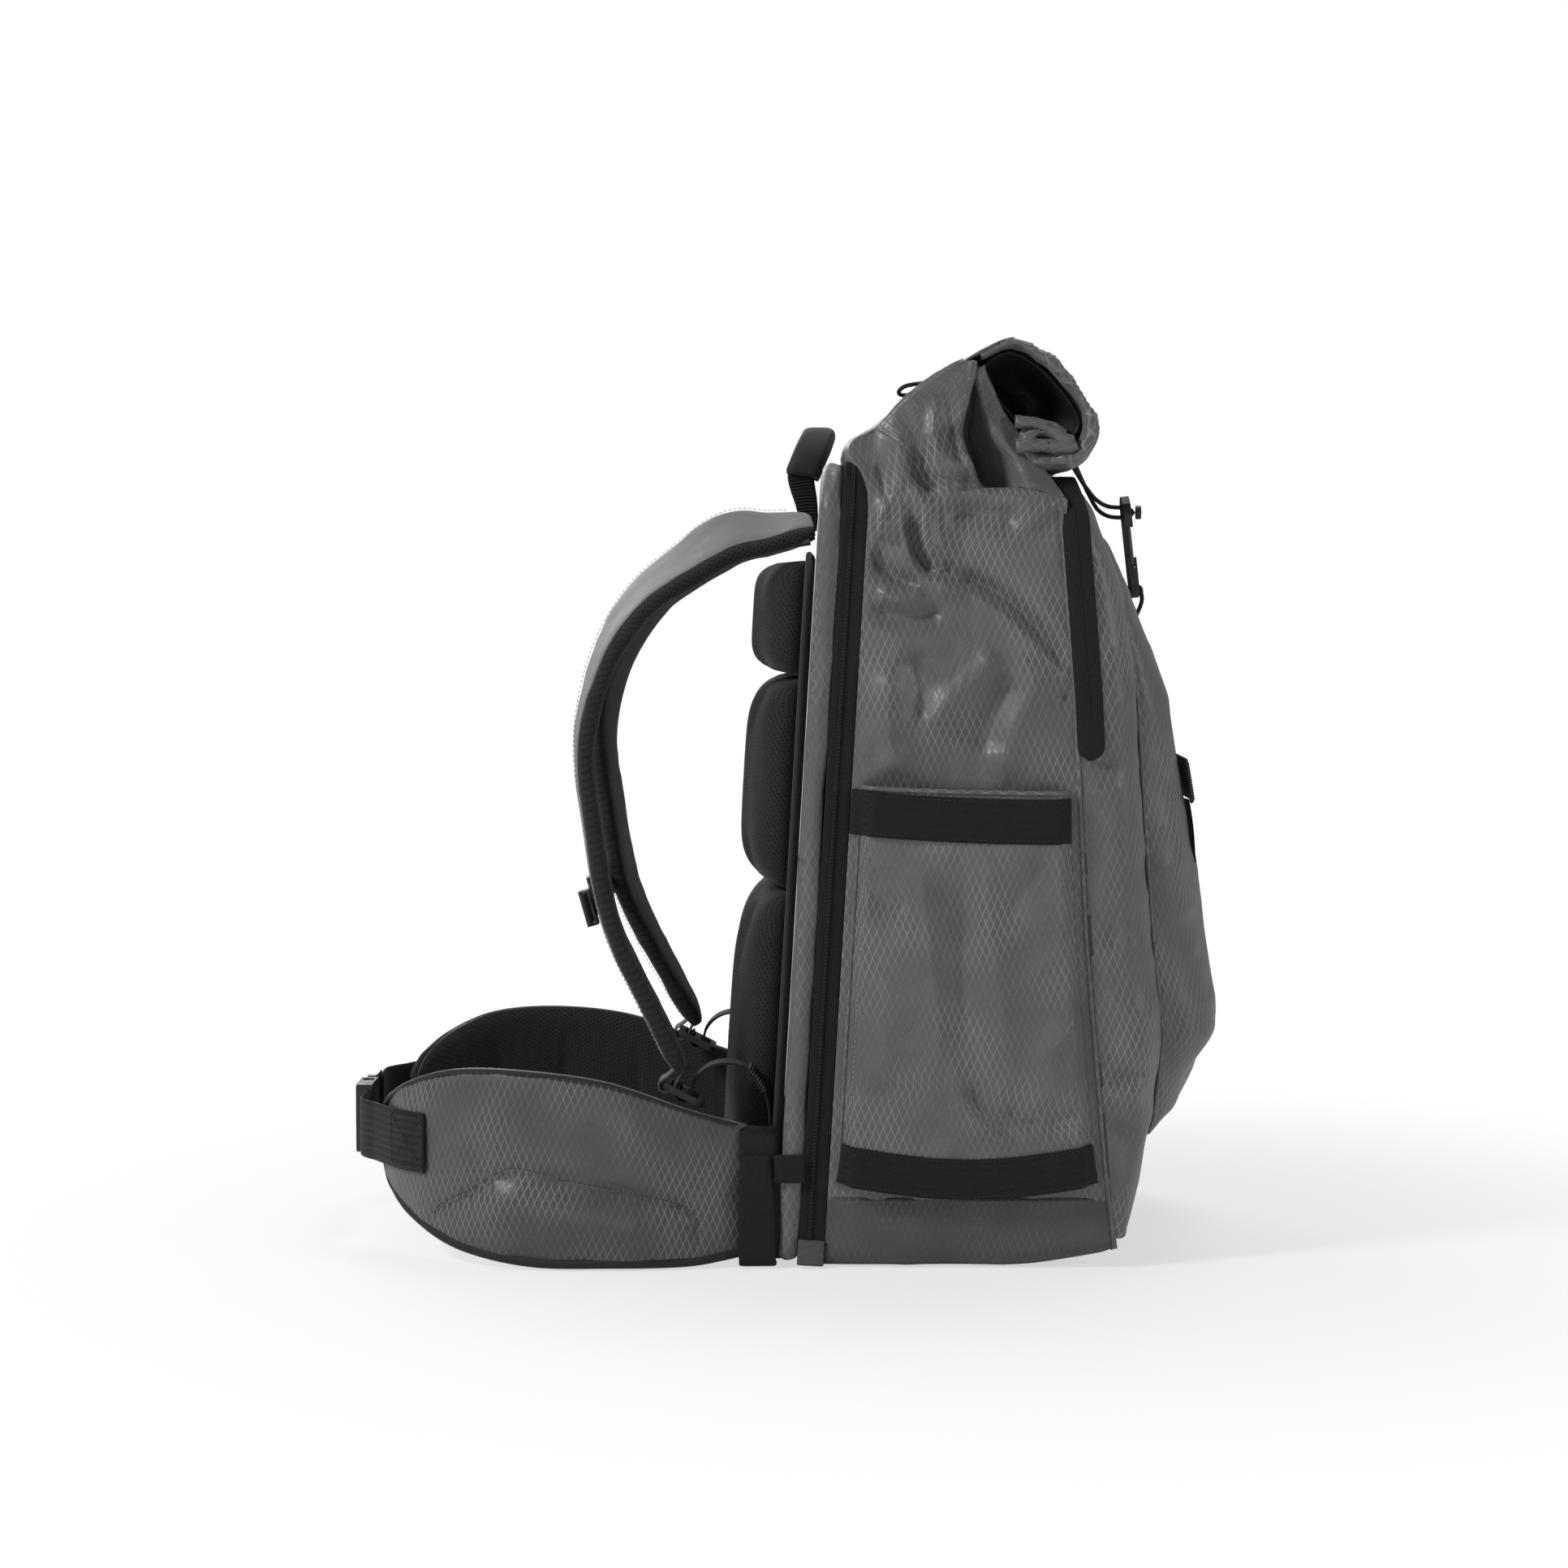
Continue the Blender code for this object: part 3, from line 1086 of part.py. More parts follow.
def make_belt_front(left_wing, plug_axis):
    """The belt's buckle at the middle, and the webbing that the plug draws along."""
    frame = buckle_frame((BELT_X, 0, BELT_HEIGHT), (0, 0, 1))
    sizes = (BELT_WEBBING, BUCKLE_LENGTH, BUCKLE_THICKNESS, BUCKLE_WALL)
    make_socket("belt_buckle_socket", left_wing, frame, *sizes)
    make_plug("belt_buckle_plug", plug_axis, frame, *sizes)
    start = BELT_WEBBING * SLOT_SHARE + 2 * BUCKLE_WALL + GAP
    ends = ((BELT_X, start, BELT_HEIGHT), (BELT_X, start + FREE_WEBBING, BELT_HEIGHT))
    make_straight_webbing("belt_webbing", plug_axis, *ends, (0, 0, 1), BELT_WEBBING, BELT_WEBBING_THICKNESS)


# Sternum strap
def sternum_seat():
    """The place, outward and tangent directions on the left strap at the sternum strap's height."""
    rings = strap_frames(-1)
    above, below = next(pair for pair in zip(rings, rings[1:]) if pair[1][0].z <= STERNUM_HEIGHT)
    share = (above[0].z - STERNUM_HEIGHT) / (above[0].z - below[0].z)
    point, across, outward, tangent = (above[item].lerp(below[item], share) for item in range(4))
    level = Vector((outward.x, 0, outward.z)).normalized()
    along = Vector((tangent.x, 0, tangent.z)).normalized()
    edge = point + outward * (STRAP_THICKNESS / 2)
    lift = abs(across.dot(level)) * CLIP_LENGTH / 2
    return edge + level * (lift + PLAY + GAP), level, along


def make_sternum(strap_axis, plug_axis):
    """A clip on each strap, and the webbing and small buckle between them."""
    seat, out, along = sternum_seat()
    up = -along
    y = abs(seat.y)
    base = Vector((seat.x, 0, seat.z))
    middle = base + out * (CLIP_THICKNESS / 2)
    for sign in (-1, 1):
        frame = buckle_frame(middle + Vector((0, sign * y, 0)), up)
        half_x, half_y, half_z = CLIP_THICKNESS / 2, CLIP_LENGTH / 2, WEBBING / 2 + 2 * PLAY
        outline = rounded_rectangle(half_y, half_z, PLAY * 2, 2)
        clip = finish("sternum_clip_" + side_name(sign), turned(prism(outline, -half_x, half_x, "X"), frame),
                      BLACK_PLASTIC, strap_axis)
        channel_half = WEBBING_THICKNESS / 2 + PLAY / 2
        channel = box((-channel_half, -half_y - OVERRUN, -WEBBING / 2 - PLAY / 2),
                      (channel_half, half_y + OVERRUN, WEBBING / 2 + PLAY / 2))
        cut(clip, turned(channel, frame), f"sternum_clip_{side_name(sign)}_channel")
    frame = buckle_frame(middle, up)
    sizes = (WEBBING, SMALL_BUCKLE_LENGTH, SMALL_BUCKLE_THICKNESS, SMALL_BUCKLE_WALL)
    make_socket("sternum_buckle_socket", strap_axis, frame, *sizes)
    make_plug("sternum_buckle_plug", plug_axis, frame, *sizes)
    tail = y + CLIP_LENGTH / 2 + STERNUM_TAIL
    left = (middle + Vector((0, -SMALL_BUCKLE_LENGTH - GAP, 0)), middle + Vector((0, -tail, 0)))
    start = WEBBING * SLOT_SHARE + 2 * SMALL_BUCKLE_WALL + GAP
    right = (middle + Vector((0, start, 0)), middle + Vector((0, tail, 0)))
    make_straight_webbing("sternum_webbing_left", strap_axis, *left, up, WEBBING, WEBBING_THICKNESS)
    make_straight_webbing("sternum_webbing_right", plug_axis, *right, up, WEBBING, WEBBING_THICKNESS)


# Handle
def handle_places():
    """The arch of the carry handle from its left foot over the top to its right foot."""
    radius = HANDLE_SPAN / 2
    top = HANDLE_FOOT + HANDLE_RISE - GRIP_THICKNESS / 2
    spring = top - radius
    x = back_x(HARNESS_BACK, HANDLE_FOOT) - HANDLE_WEBBING / 2
    left = [(-radius, HANDLE_FOOT), (-radius, (HANDLE_FOOT + spring) / 2)]
    left += arc((0, spring), radius, math.pi, math.pi / 2, 6)
    outline = left + [(-y, z) for y, z in reversed(left[:-1])]
    places = []
    for y, z in outline:
        sway = HANDLE_SWAY * between(HANDLE_SHARES, (z - HANDLE_FOOT) / (top - HANDLE_FOOT))
        places.append(Vector((x + sway, y, z)))
    return places


def make_handle(axis):
    """A webbing arch with a padded grip sleeve round its upper part."""
    path = handle_places()
    side = Vector((1, 0, 0))
    finish("handle_webbing", ribbon(path, side, HANDLE_WEBBING, WEBBING_THICKNESS), BLACK_WEBBING, axis)
    shift = Vector(((GRIP_WIDTH - HANDLE_WEBBING) / 2 - GRIP_SET_BACK, 0, 0))
    held = [point + shift for point in path[GRIP_START:len(path) - GRIP_START]]
    section = slab(GRIP_WIDTH / 2, GRIP_THICKNESS / 2, GRIP_THICKNESS / 3)
    grip = finish("handle_grip", loft(sweep_rings(held, side, [section] * len(held))), AIR_MESH, axis)
    room = ribbon(path, side, HANDLE_WEBBING + 4 * GAP, WEBBING_THICKNESS + 4 * GAP)
    cut(grip, room, "handle_grip_bore")


def handle_axis():
    foot = handle_places()[0]
    return (foot.x, 0, foot.z)


# Zip sliders and labels
def make_door_slider(axis, sign):
    """A slider on the door's top edge, with its pull lying along the zip."""
    y = sign * (SLIDER_LENGTH / 2 + PLAY)
    low = DOOR_HEIGHT + GAP
    high = low + SLIDER_THICKNESS
    body = box((-PANEL_BACK - SLIDER_WIDTH / 2, y - SLIDER_LENGTH / 2, low), (-TAPE_BACK, y + SLIDER_LENGTH / 2, high))
    slider = finish_leaned("door_zip_slider_" + side_name(sign), body, METAL, axis, smooth=False)
    middle = -PANEL_BACK + SLIDER_WIDTH / 4
    near, far = sorted((y, y + sign * PULL_LENGTH))
    pull = box((middle - PULL_WIDTH / 2, near, high - PULL_THICKNESS), (middle + PULL_WIDTH / 2, far, high))
    union(slider, pull, slider.name + "_pull")


def make_front_slider(axis):
    """The front compartment's slider, parked at the foot of the zip on the far side."""
    place = world_place(axis)
    face = BODY_WIDTH / 2 + 2 * GAP + FRONT_ZIP_THICKNESS
    outline = [(place.x - SLIDER_WIDTH / 2, place.z), (place.x + SLIDER_WIDTH / 2, place.z),
               (place.x + SLIDER_WIDTH / 2, place.z + SLIDER_LENGTH), (place.x - SLIDER_WIDTH / 2, place.z + SLIDER_LENGTH)]
    slider = finish("front_zip_slider", prism(outline, face, face + SLIDER_THICKNESS), METAL, axis, smooth=False)
    outer = face + SLIDER_THICKNESS
    pull = box((place.x - PULL_WIDTH / 2, outer - PULL_THICKNESS, place.z - PULL_LENGTH),
               (place.x + PULL_WIDTH / 2, outer, place.z + SLIDER_LENGTH / 2))
    union(slider, pull, "front_zip_pull")


def make_hanging_label(root):
    """A bare fabric label under the daisy band, near its left end."""
    top = DAISY_TOP - DAISY_HEIGHT - GAP
    heights = [top, top - LABEL_LENGTH / 2, top - LABEL_LENGTH]
    inner = LABEL_SHARE - LABEL_WIDTH / POCKET_WIDTH
    away = GAP + LABEL_THICKNESS
    path = [Vector((pocket_x(z, inner) + away, -POCKET_WIDTH / 2 * LABEL_SHARE, z)) for z in heights]
    finish("hanging_label", ribbon(path, Vector((0, 1, 0)), LABEL_WIDTH, LABEL_THICKNESS), BLACK_WEBBING, root)


def make_side_label(plane):
    """A bare label on the door's left side."""
    half = BODY_WIDTH / 2 + GAP
    low = (-PANEL_BACK - DOOR_THICKNESS, -half - LABEL_THICKNESS, SIDE_LABEL_FOOT)
    high = (-PANEL_BACK, -half, SIDE_LABEL_FOOT + SIDE_LABEL_HEIGHT)
    finish_leaned("side_label", box(low, high), BLACK_WEBBING, plane, smooth=False)


def build():
    clear_scene()
    root = add_empty("pack", (0, 0, 0))
    make_bottom_panel(root)
    make_main_body(root)
    make_front_compartment(root)
    make_front_pocket(root)
    make_front_zip(root)
    make_daisy_band(root)
    make_hanging_label(root)
    make_neck(root)
    make_back_cord(root)
    make_hook_loop(root)
    for sign in (-1, 1):
        make_side_pocket(root, sign)
        make_pocket_bands(root, sign)
    rim_plane = add_empty("rim_plane", (BACK_FOOT, 0, 0), root, LEAN)
    make_body_tape(rim_plane)
    front_zip_x = seam_x(FRONT_ZIP_FOOT) + GAP + FRONT_ZIP_WIDTH / 2
    front_slider_axis = add_empty("front_zip_slide", (front_zip_x, BODY_WIDTH / 2, FRONT_ZIP_FOOT), root)
    make_front_slider(front_slider_axis)

    roll_axis = add_empty("roll_lift", roll_place(ROLL_SHARES[0]), root)
    make_roll(roll_axis)
    make_closure_cord(roll_axis)
    make_hook(roll_axis)
    pivot_y, pivot_z = pivot_place()
    gate_axis = add_empty("gate_swing", hook_frame() @ Vector((0, pivot_y, pivot_z)), roll_axis)
    make_gate(gate_axis)

    door = add_empty("back_door_hinge", on_back(-TAPE_BACK, 0, DOOR_FOOT), root)
    plane = add_empty("door_plane", (BACK_FOOT, 0, 0), door, LEAN)
    make_door(plane)
    make_harness_panel(plane)
    make_pads(plane)
    make_side_label(plane)
    for sign in (-1, 1):
        slide = add_empty("door_slide_" + side_name(sign), (BACK_FOOT, 0, 0), door, LEAN)
        make_door_slider(slide, sign)
        make_strap(door, sign)
        make_ladder_lock(door, sign)
        make_lower_webbing(door, sign)
        make_belt_root(door, sign)
    make_handle(add_empty("handle_fold", handle_axis(), door))

    sternum_axis = add_empty("sternum_slide", sternum_seat()[0], door)
    make_sternum(sternum_axis, add_empty("sternum_pull", sternum_seat()[0], sternum_axis))

    outer = WING_ROOT_Y + WING_THICKNESS / 2
    left_wing = add_empty("left_wing_swing", (WING_ROOT_X, -outer, WING_LOW), door)
    right_wing = add_empty("right_wing_swing", (WING_ROOT_X, outer, WING_LOW), door)
    for wing, sign in ((left_wing, -1), (right_wing, 1)):
        make_wing(wing, sign)
        make_belt_tab(wing, sign)
    make_belt_front(left_wing, add_empty("belt_pull", (BELT_X, 0, BELT_HEIGHT), right_wing))


build()
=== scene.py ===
"""Dresses the packed frame of a roll-top backpack in ripstop, webbing, air mesh and plastic.

Places are in metres in the frame's own axes: +X towards the front pocket, -Y the wearer's left, +Z up.
"""

import math

import bmesh
import bpy
import numpy as np
from mathutils import Matrix, Vector, noise
from mathutils.bvhtree import BVHTree


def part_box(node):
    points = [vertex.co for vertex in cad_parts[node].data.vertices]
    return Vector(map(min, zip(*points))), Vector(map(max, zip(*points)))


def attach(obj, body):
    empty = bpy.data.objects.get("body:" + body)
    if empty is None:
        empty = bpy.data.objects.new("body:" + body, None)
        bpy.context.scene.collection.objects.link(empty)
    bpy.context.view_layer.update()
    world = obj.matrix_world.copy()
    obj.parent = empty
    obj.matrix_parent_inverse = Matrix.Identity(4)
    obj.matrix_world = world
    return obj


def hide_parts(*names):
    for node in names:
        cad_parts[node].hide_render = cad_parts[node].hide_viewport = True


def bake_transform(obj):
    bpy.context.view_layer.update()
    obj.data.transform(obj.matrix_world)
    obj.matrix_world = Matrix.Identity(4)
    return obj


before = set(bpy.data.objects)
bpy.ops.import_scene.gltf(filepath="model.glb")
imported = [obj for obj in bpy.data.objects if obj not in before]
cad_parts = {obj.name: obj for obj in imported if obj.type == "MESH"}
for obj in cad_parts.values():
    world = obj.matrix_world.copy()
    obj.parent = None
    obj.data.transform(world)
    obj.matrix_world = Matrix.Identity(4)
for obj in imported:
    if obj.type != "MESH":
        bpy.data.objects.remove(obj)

bl_info = {
    "name": "Roll-top backpack",
    "version": (1, 0, 0),
    "blender": (4, 5, 0),
    "location": "3D View > Sidebar > Backpack",
    "description": "Builds the cloth, webbing, mesh and hardware of a roll-top backpack on its frame",
    "category": "Add Mesh",
}

# Sizes of the pack's body
HALF = 0.150
LEAN = math.radians(3.29)
BACK_FOOT = -0.0894
RIM_HEIGHT = 0.5035
HEM = 0.2955
BOOT = 0.0437
SEAM_Z = (0, 0.0584, 0.2058, 0.3541, 0.4641, 0.488)
SEAM_X = (0.0936, 0.0855, 0.0726, 0.0652, 0.0563, 0.0544)

# Seams on the side as (x, z) in millimetres
YOKE = ((-56, 520), (-48, 515), (-41, 509.5), (-35, 504))
SIDE_STITCHES = (
    ((-42, 485.5), (-53, 470), (-60, 450), (-64, 430)),
    ((53, 488), (57, 478), (60, 462), (63, 420), (66, 340)),
)

# The near side from its foot to the roll: five places across each row, as x, depth inwards and z
SIDE_SHARES = (0, 0.52, 0.66, 0.85, 1)
PANEL_LEVELS = (0.042, 0.12, 0.20, 0.28, 0.36, 0.42, 0.450)
NECK_ROWS = (
    ((-0.0625, 0, 0.474), (0.0080, -0.0015, 0.4785), (0.0180, -0.001, 0.4788), (0.0400, -0.001, 0.4785),
     (0.06, 0, 0.474)),
    ((-0.0642, 0.001, 0.4877), (0.0045, 0.001, 0.4830), (0.0150, 0.020, 0.4812), (0.0385, 0, 0.4812),
     (0.0585, 0.003, 0.4785)),
    ((-0.0682, 0.002, 0.4961), (0.0018, 0.002, 0.4900), (0.0100, 0.038, 0.487), (0.0360, 0.002, 0.4875),
     (0.054, 0.007, 0.485)),
    ((-0.0735, 0.003, 0.502), (0.0000, -0.002, 0.4985), (0.0060, 0.046, 0.494), (0.0320, 0.005, 0.496),
     (0.048, 0.010, 0.493)),
    ((-0.0735, 0.004, 0.512), (-0.0035, 0.001, 0.508), (0.0030, 0.050, 0.503), (0.0255, 0.008, 0.5065),
     (0.0405, 0.013, 0.504)),
    ((-0.057, 0.006, 0.5226), (-0.0068, 0.003, 0.5200), (0.0010, 0.052, 0.516), (0.0150, 0.011, 0.5193),
     (0.03, 0.015, 0.518)),
    ((-0.0374, 0.008, 0.5377), (-0.0020, 0.004, 0.5387), (0.0020, 0.052, 0.533), (0.0095, 0.013, 0.534),
     (0.018, 0.016, 0.535)),
    ((-0.0126, 0.008, 0.5555), (0.0018, 0.006, 0.5560), (0.0035, 0.050, 0.553), (0.0055, 0.013, 0.551),
     (0.009, 0.015, 0.553)),
    ((-0.003, 0.008, 0.561), (0.0020, 0.007, 0.5612), (0.0040, 0.050, 0.5595), (0.0055, 0.012, 0.5585),
     (0.0075, 0.014, 0.5595)),
)

# Front compartment and pocket: height, depth, from the foot up
COMPARTMENT = ((0.0182, 0.0104), (0.0502, 0.0229), (0.0908, 0.0354), (0.1386, 0.0447), (0.2008, 0.0437),
               (0.2772, 0.0416), (0.3513, 0.0406), (0.423, 0.0354), (0.466, 0.0218), (0.478, 0.0160),
               (0.486, 0.0115),
               (0.491, 0.0050))
POCKET = ((0.0772, 0.004), (0.0812, 0.0088), (0.0908, 0.0202), (0.1386, 0.04), (0.2008, 0.0374),
          (0.2772, 0.0342), (0.3513, 0.0266), (0.423, 0.011), (0.456, 0.008))

# Curves of the strap, the wing, the roll and the handle
STRAP = ((-0.0965, -0.075, 0.462, 0.0601, 10.1), (-0.1232, -0.0759, 0.4575, 0.064, 18),
         (-0.148, -0.0778, 0.4545, 0.066, 24), (-0.1752, -0.0814, 0.4376, 0.066, 19.9),
         (-0.2062, -0.0874, 0.4126, 0.066, 14.9), (-0.2291, -0.0929, 0.3749, 0.066, 10.1),
         (-0.2406, -0.0975, 0.3245, 0.066, 6), (-0.2359, -0.1012, 0.273, 0.064, 4.8),
         (-0.2232, -0.1067, 0.2099, 0.0581, 4.8), (-0.1938, -0.1155, 0.1492, 0.0462, 3.6),
         (-0.1777, -0.121, 0.119, 0.0317, 0))
WING = ((-0.1375, -0.1405, 0.0066, 0.0885), (-0.1480, -0.1430, 0.0045, 0.0912),
        (-0.1752, -0.1498, 0.001, 0.0998), (-0.2236, -0.156, 0.001, 0.117),
        (-0.2737, -0.1529, 0.0016, 0.1236), (-0.318, -0.1368, 0.0093, 0.1224),
        (-0.3476, -0.1133, 0.0236, 0.1117),
        (-0.3635, -0.0902, 0.0379, 0.0986), (-0.3692, -0.0804, 0.0486, 0.0867))
ROLL = ((0.007, 0, 0.5649, 0.004), (0.027, 0, 0.5725, 0.004), (0.048, 0, 0.5624, 0.0046),
        (0.064, 0, 0.5457, 0.0052),
        (0.0735, 0, 0.529, 0.0061), (0.0747, 0, 0.5174, 0.0073), (0.069, 0, 0.5058, 0.0088),
        (0.06, 0, 0.5011, 0.010),
        (0.049, 0, 0.5007, 0.010), (0.039, 0, 0.5022, 0.010), (0.034, 0, 0.5094, 0.0094),
        (0.039, 0, 0.5178, 0.0094),
        (0.046, 0, 0.5196, 0.010), (0.054, 0, 0.5174, 0.010), (0.059, 0, 0.516, 0.0076))
HANDLE = ((-0.0985, -0.028, 0.459), (-0.1025, -0.028, 0.476), (-0.1064, -0.028, 0.493),
          (-0.1036, -0.027, 0.5002),
          (-0.1009, -0.0242, 0.507), (-0.0986, -0.0198, 0.5128), (-0.0968, -0.014, 0.5172),
          (-0.0956, -0.0072, 0.52),
          (-0.0953, 0, 0.521))
LOWER_WEBBING = ((-0.1794, -0.121, 0.1108), (-0.1812, -0.121, 0.1072), (-0.1817, -0.121, 0.1049),
                 (-0.181, -0.121, 0.1027), (-0.1792, -0.121, 0.1011), (-0.177, -0.121, 0.1007),
                 (-0.1747, -0.121, 0.1014), (-0.1732, -0.121, 0.1031), (-0.1725, -0.121, 0.1064),
                 (-0.1706, -0.121, 0.1128), (-0.166, -0.121, 0.1189), (-0.1595, -0.121, 0.123),
                 (-0.1519, -0.121, 0.1246), (-0.1449, -0.121, 0.124), (-0.1388, -0.121, 0.122),
                 (-0.1336, -0.121, 0.1182), (-0.1281, -0.121, 0.1106), (-0.1246, -0.121, 0.1021),
                 (-0.1232, -0.121, 0.0934), (-0.1226, -0.121, 0.0851), (-0.1224, -0.121, 0.081))
BELT_TAB = ((-0.3398, -0.1321, 0.074), (-0.3538, -0.119, 0.074), (-0.364, -0.1057, 0.074),
            (-0.3743, -0.0887, 0.074),
            (-0.3766, -0.0844, 0.074), (-0.388, -0.0664, 0.074), (-0.388, -0.0376, 0.074))

# The back pads from the lowest up, as a name, a share of their span and rows of cells
PADS = (("lumbar_pad", 0.51, 70), ("back_pad_middle", 0.31, 46), ("back_pad_upper", 0.17, 30))
PAD_FOOT = 0.010
PAD_SPAN = 0.428
PAD_GAP = 0.002
PAD_HALF = 0.107
PAD_DEPTH = 0.0300

# Routes of the cords, the same as the solids
CLOSURE_CORD = (
    (0.0735, -0.0033, 0.5031), (0.0761, -0.0033, 0.4987), (0.0788, -0.0033, 0.4943),
    (0.0814, -0.0033, 0.4902),
    (0.0841, -0.0032, 0.4865), (0.0867, -0.0029, 0.4831), (0.0893, -0.0026, 0.4802), (0.092, -0.0022, 0.4781),
    (0.0946, -0.0018, 0.4765), (0.0973, -0.0013, 0.4754), (0.1, -0.0008, 0.4748), (0.1028, -0.0003, 0.4746),
    (0.1052, 0, 0.4745), (0.1068, 0.0001, 0.4746), (0.1081, 0, 0.4747), (0.1095, 0, 0.4745),
    (0.1115, 0, 0.4737),
    (0.1136, 0, 0.4725), (0.1146, 0, 0.4712), (0.1136, 0, 0.47), (0.1115, 0, 0.4688), (0.1095, 0, 0.4679),
    (0.1083, 0, 0.4677), (0.1072, -0.0001, 0.4678), (0.1058, 0, 0.4679), (0.1036, 0.0003, 0.468),
    (0.101, 0.0008, 0.4682), (0.0985, 0.0013, 0.4688), (0.096, 0.0018, 0.4698), (0.0936, 0.0022, 0.4713),
    (0.0911, 0.0026, 0.4736), (0.0887, 0.0029, 0.4773), (0.0863, 0.0032, 0.482), (0.0838, 0.0033, 0.4869),
    (0.0814, 0.0033, 0.4921), (0.0789, 0.0033, 0.4976), (0.0765, 0.0033, 0.5031))
BACK_BIGHT = (
    (-0.004, -0.004, 0.5585), (-0.0095, -0.004, 0.5578), (-0.0149, -0.004, 0.5571), (-0.0202, -0.004, 0.5563),
    (-0.0255, -0.0041, 0.5556), (-0.0306, -0.0041, 0.555), (-0.0346, -0.004, 0.5542),
    (-0.0371, -0.0037, 0.5532),
    (-0.0384, -0.0032, 0.5522), (-0.0393, -0.0024, 0.5513), (-0.0398, -0.0009, 0.5505),
    (-0.0398, 0.0009, 0.5497),
    (-0.0393, 0.0024, 0.5491), (-0.0384, 0.0032, 0.5486), (-0.0371, 0.0037, 0.5483), (-0.0346, 0.004, 0.5484),
    (-0.0306, 0.0041, 0.5492), (-0.0255, 0.0041, 0.5504), (-0.0202, 0.004, 0.552), (-0.0149, 0.004, 0.554),
    (-0.0095, 0.004, 0.5562), (-0.004, 0.004, 0.5585))
BACK_STRAND = (
    (-0.0530, 0.0105, 0.5250), (-0.0500, 0.0105, 0.5290), (-0.0455, 0.0105, 0.5335),
    (-0.0400, 0.0105, 0.5390),
    (-0.0340, 0.0105, 0.5445), (-0.0280, 0.0105, 0.5495), (-0.0215, 0.0105, 0.5530),
    (-0.0150, 0.0105, 0.5548))
HOOK_LOOP = (
    (0.1148, 0, 0.4065), (0.114, 0, 0.4085), (0.1133, 0, 0.4106), (0.1126, 0, 0.4125), (0.1118, 0, 0.4143),
    (0.1111, 0, 0.4161), (0.1106, 0, 0.4177), (0.1106, 0, 0.4191), (0.1108, 0, 0.4203), (0.1114, 0, 0.4213),
    (0.1124, 0, 0.422), (0.1138, 0, 0.4224), (0.1153, 0, 0.4226), (0.1168, 0, 0.4227), (0.1183, 0, 0.4226),
    (0.1194, 0, 0.4222), (0.12, 0, 0.4212), (0.1203, 0, 0.4198), (0.1204, 0, 0.4182), (0.1207, 0, 0.4165),
    (0.1209, 0, 0.4145), (0.1206, 0, 0.4122), (0.1198, 0, 0.4096), (0.1185, 0, 0.4066), (0.1172, 0, 0.4037))
CORD = 0.0028

# Folds drawn on the cloth as height, width and the (x, z) places that each runs through, in millimetres
SIDE_FOLDS = (
    (-9, 4.5, ((-38, 468), (-36, 457), (-32, 443), (-26, 434), (-21, 429))),
    (4.5, 4, ((-42, 472), (-41, 457), (-38, 442), (-31, 432), (-23, 426))),
    (5, 4, ((-27, 470), (-26, 457), (-21, 442), (-19, 434))),
    (-7, 6.5, ((-61, 448), (-55, 437), (-45, 428), (-30, 423))),
    (5, 8, ((-56, 464), (-52, 454))),
    (-4, 4, ((-23, 444), (-16, 436), (-12, 432))),
    (6, 5, ((-29, 434), (-15, 423), (3, 419), (15, 411), (27, 402), (46, 382), (58, 368))),
    (-8, 7, ((-15, 431), (2, 426), (15, 420), (28, 410), (40, 397), (52, 381), (60, 370))),
    (-5.5, 6, ((-59, 412), (-51, 406), (-40, 403), (-27, 406), (-15, 409))),
    (4.5, 5, ((-57, 419), (-43, 416), (-29, 421))),
    (-7, 8, ((-15, 470), (2, 468), (22, 466), (31, 462))),
    (3, 4, ((32, 459), (42, 467), (52, 475))),
    (6, 12, ((-47, 374), (-51, 350), (-50, 326), (-42, 305))),
    (-5, 9, ((-35, 385), (-30, 360), (-27, 340))),
    (6, 10, ((18, 384), (2, 365), (-15, 351), (-27, 337))),
    (-5.5, 13, ((27, 370), (15, 345), (10, 320))),
    (5.5, 11, ((33, 384), (40, 365), (31, 345), (22, 325), (21, 305))),
    (-3, 4, ((-62, 300), (-56, 296))),
    (-3, 4, ((22, 301), (27, 297))),
    (-2.5, 4, ((-60, 327), (-55, 317))),
    (-2.5, 3, ((55, 354), (61, 359))),
    (-7, 5, ((-34, 508), (-31, 494), (-26, 485), (-20, 482))),
    (5, 4.5, ((-20, 536), (-22, 516), (-19, 500), (-14, 488), (-13, 480))),
    (-4, 4, ((-14, 524), (-11, 508), (-5, 499))),
    (4, 6, ((-46, 522), (-41, 505), (-44, 488), (-53, 470), (-60, 450))),
    (-4, 5, ((-58, 500), (-52, 486), (-50, 474))),
    (3.5, 5, ((-36, 484), (-30, 476), (-20, 470))),
    (-3, 3, ((-9, 489), (-3, 492), (1, 490))),
)
POCKET_FOLDS = (
    (4, 10, ((-30, 248), (-27, 222), (-23, 188), (-18, 145), (-20, 119))),
    (-4, 10, ((-4, 251), (-1, 222), (-4, 179), (-1, 145))),
    (4, 12, ((9, 255), (9, 231), (14, 196), (19, 162), (26, 131))),
    (-3, 8, ((50, 255), (33, 234), (23, 214))),
    (5, 6, ((-8, 123), (-3, 105), (5, 93), (16, 85), (29, 78))),
    (-5, 5, ((-3, 119), (5, 102), (16, 90), (29, 83))),
    (-3, 4, ((23, 102), (31, 92), (43, 90))),
    (-3, 7, ((-68, 245), (-53, 232), (-36, 226))),
    (3, 5, ((73, 155), (59, 147), (50, 135))),
    (-3, 5, ((74, 100), (59, 93), (48, 90))),
    (2.5, 14, ((-55, 190), (-52, 150), (-55, 110))),
)
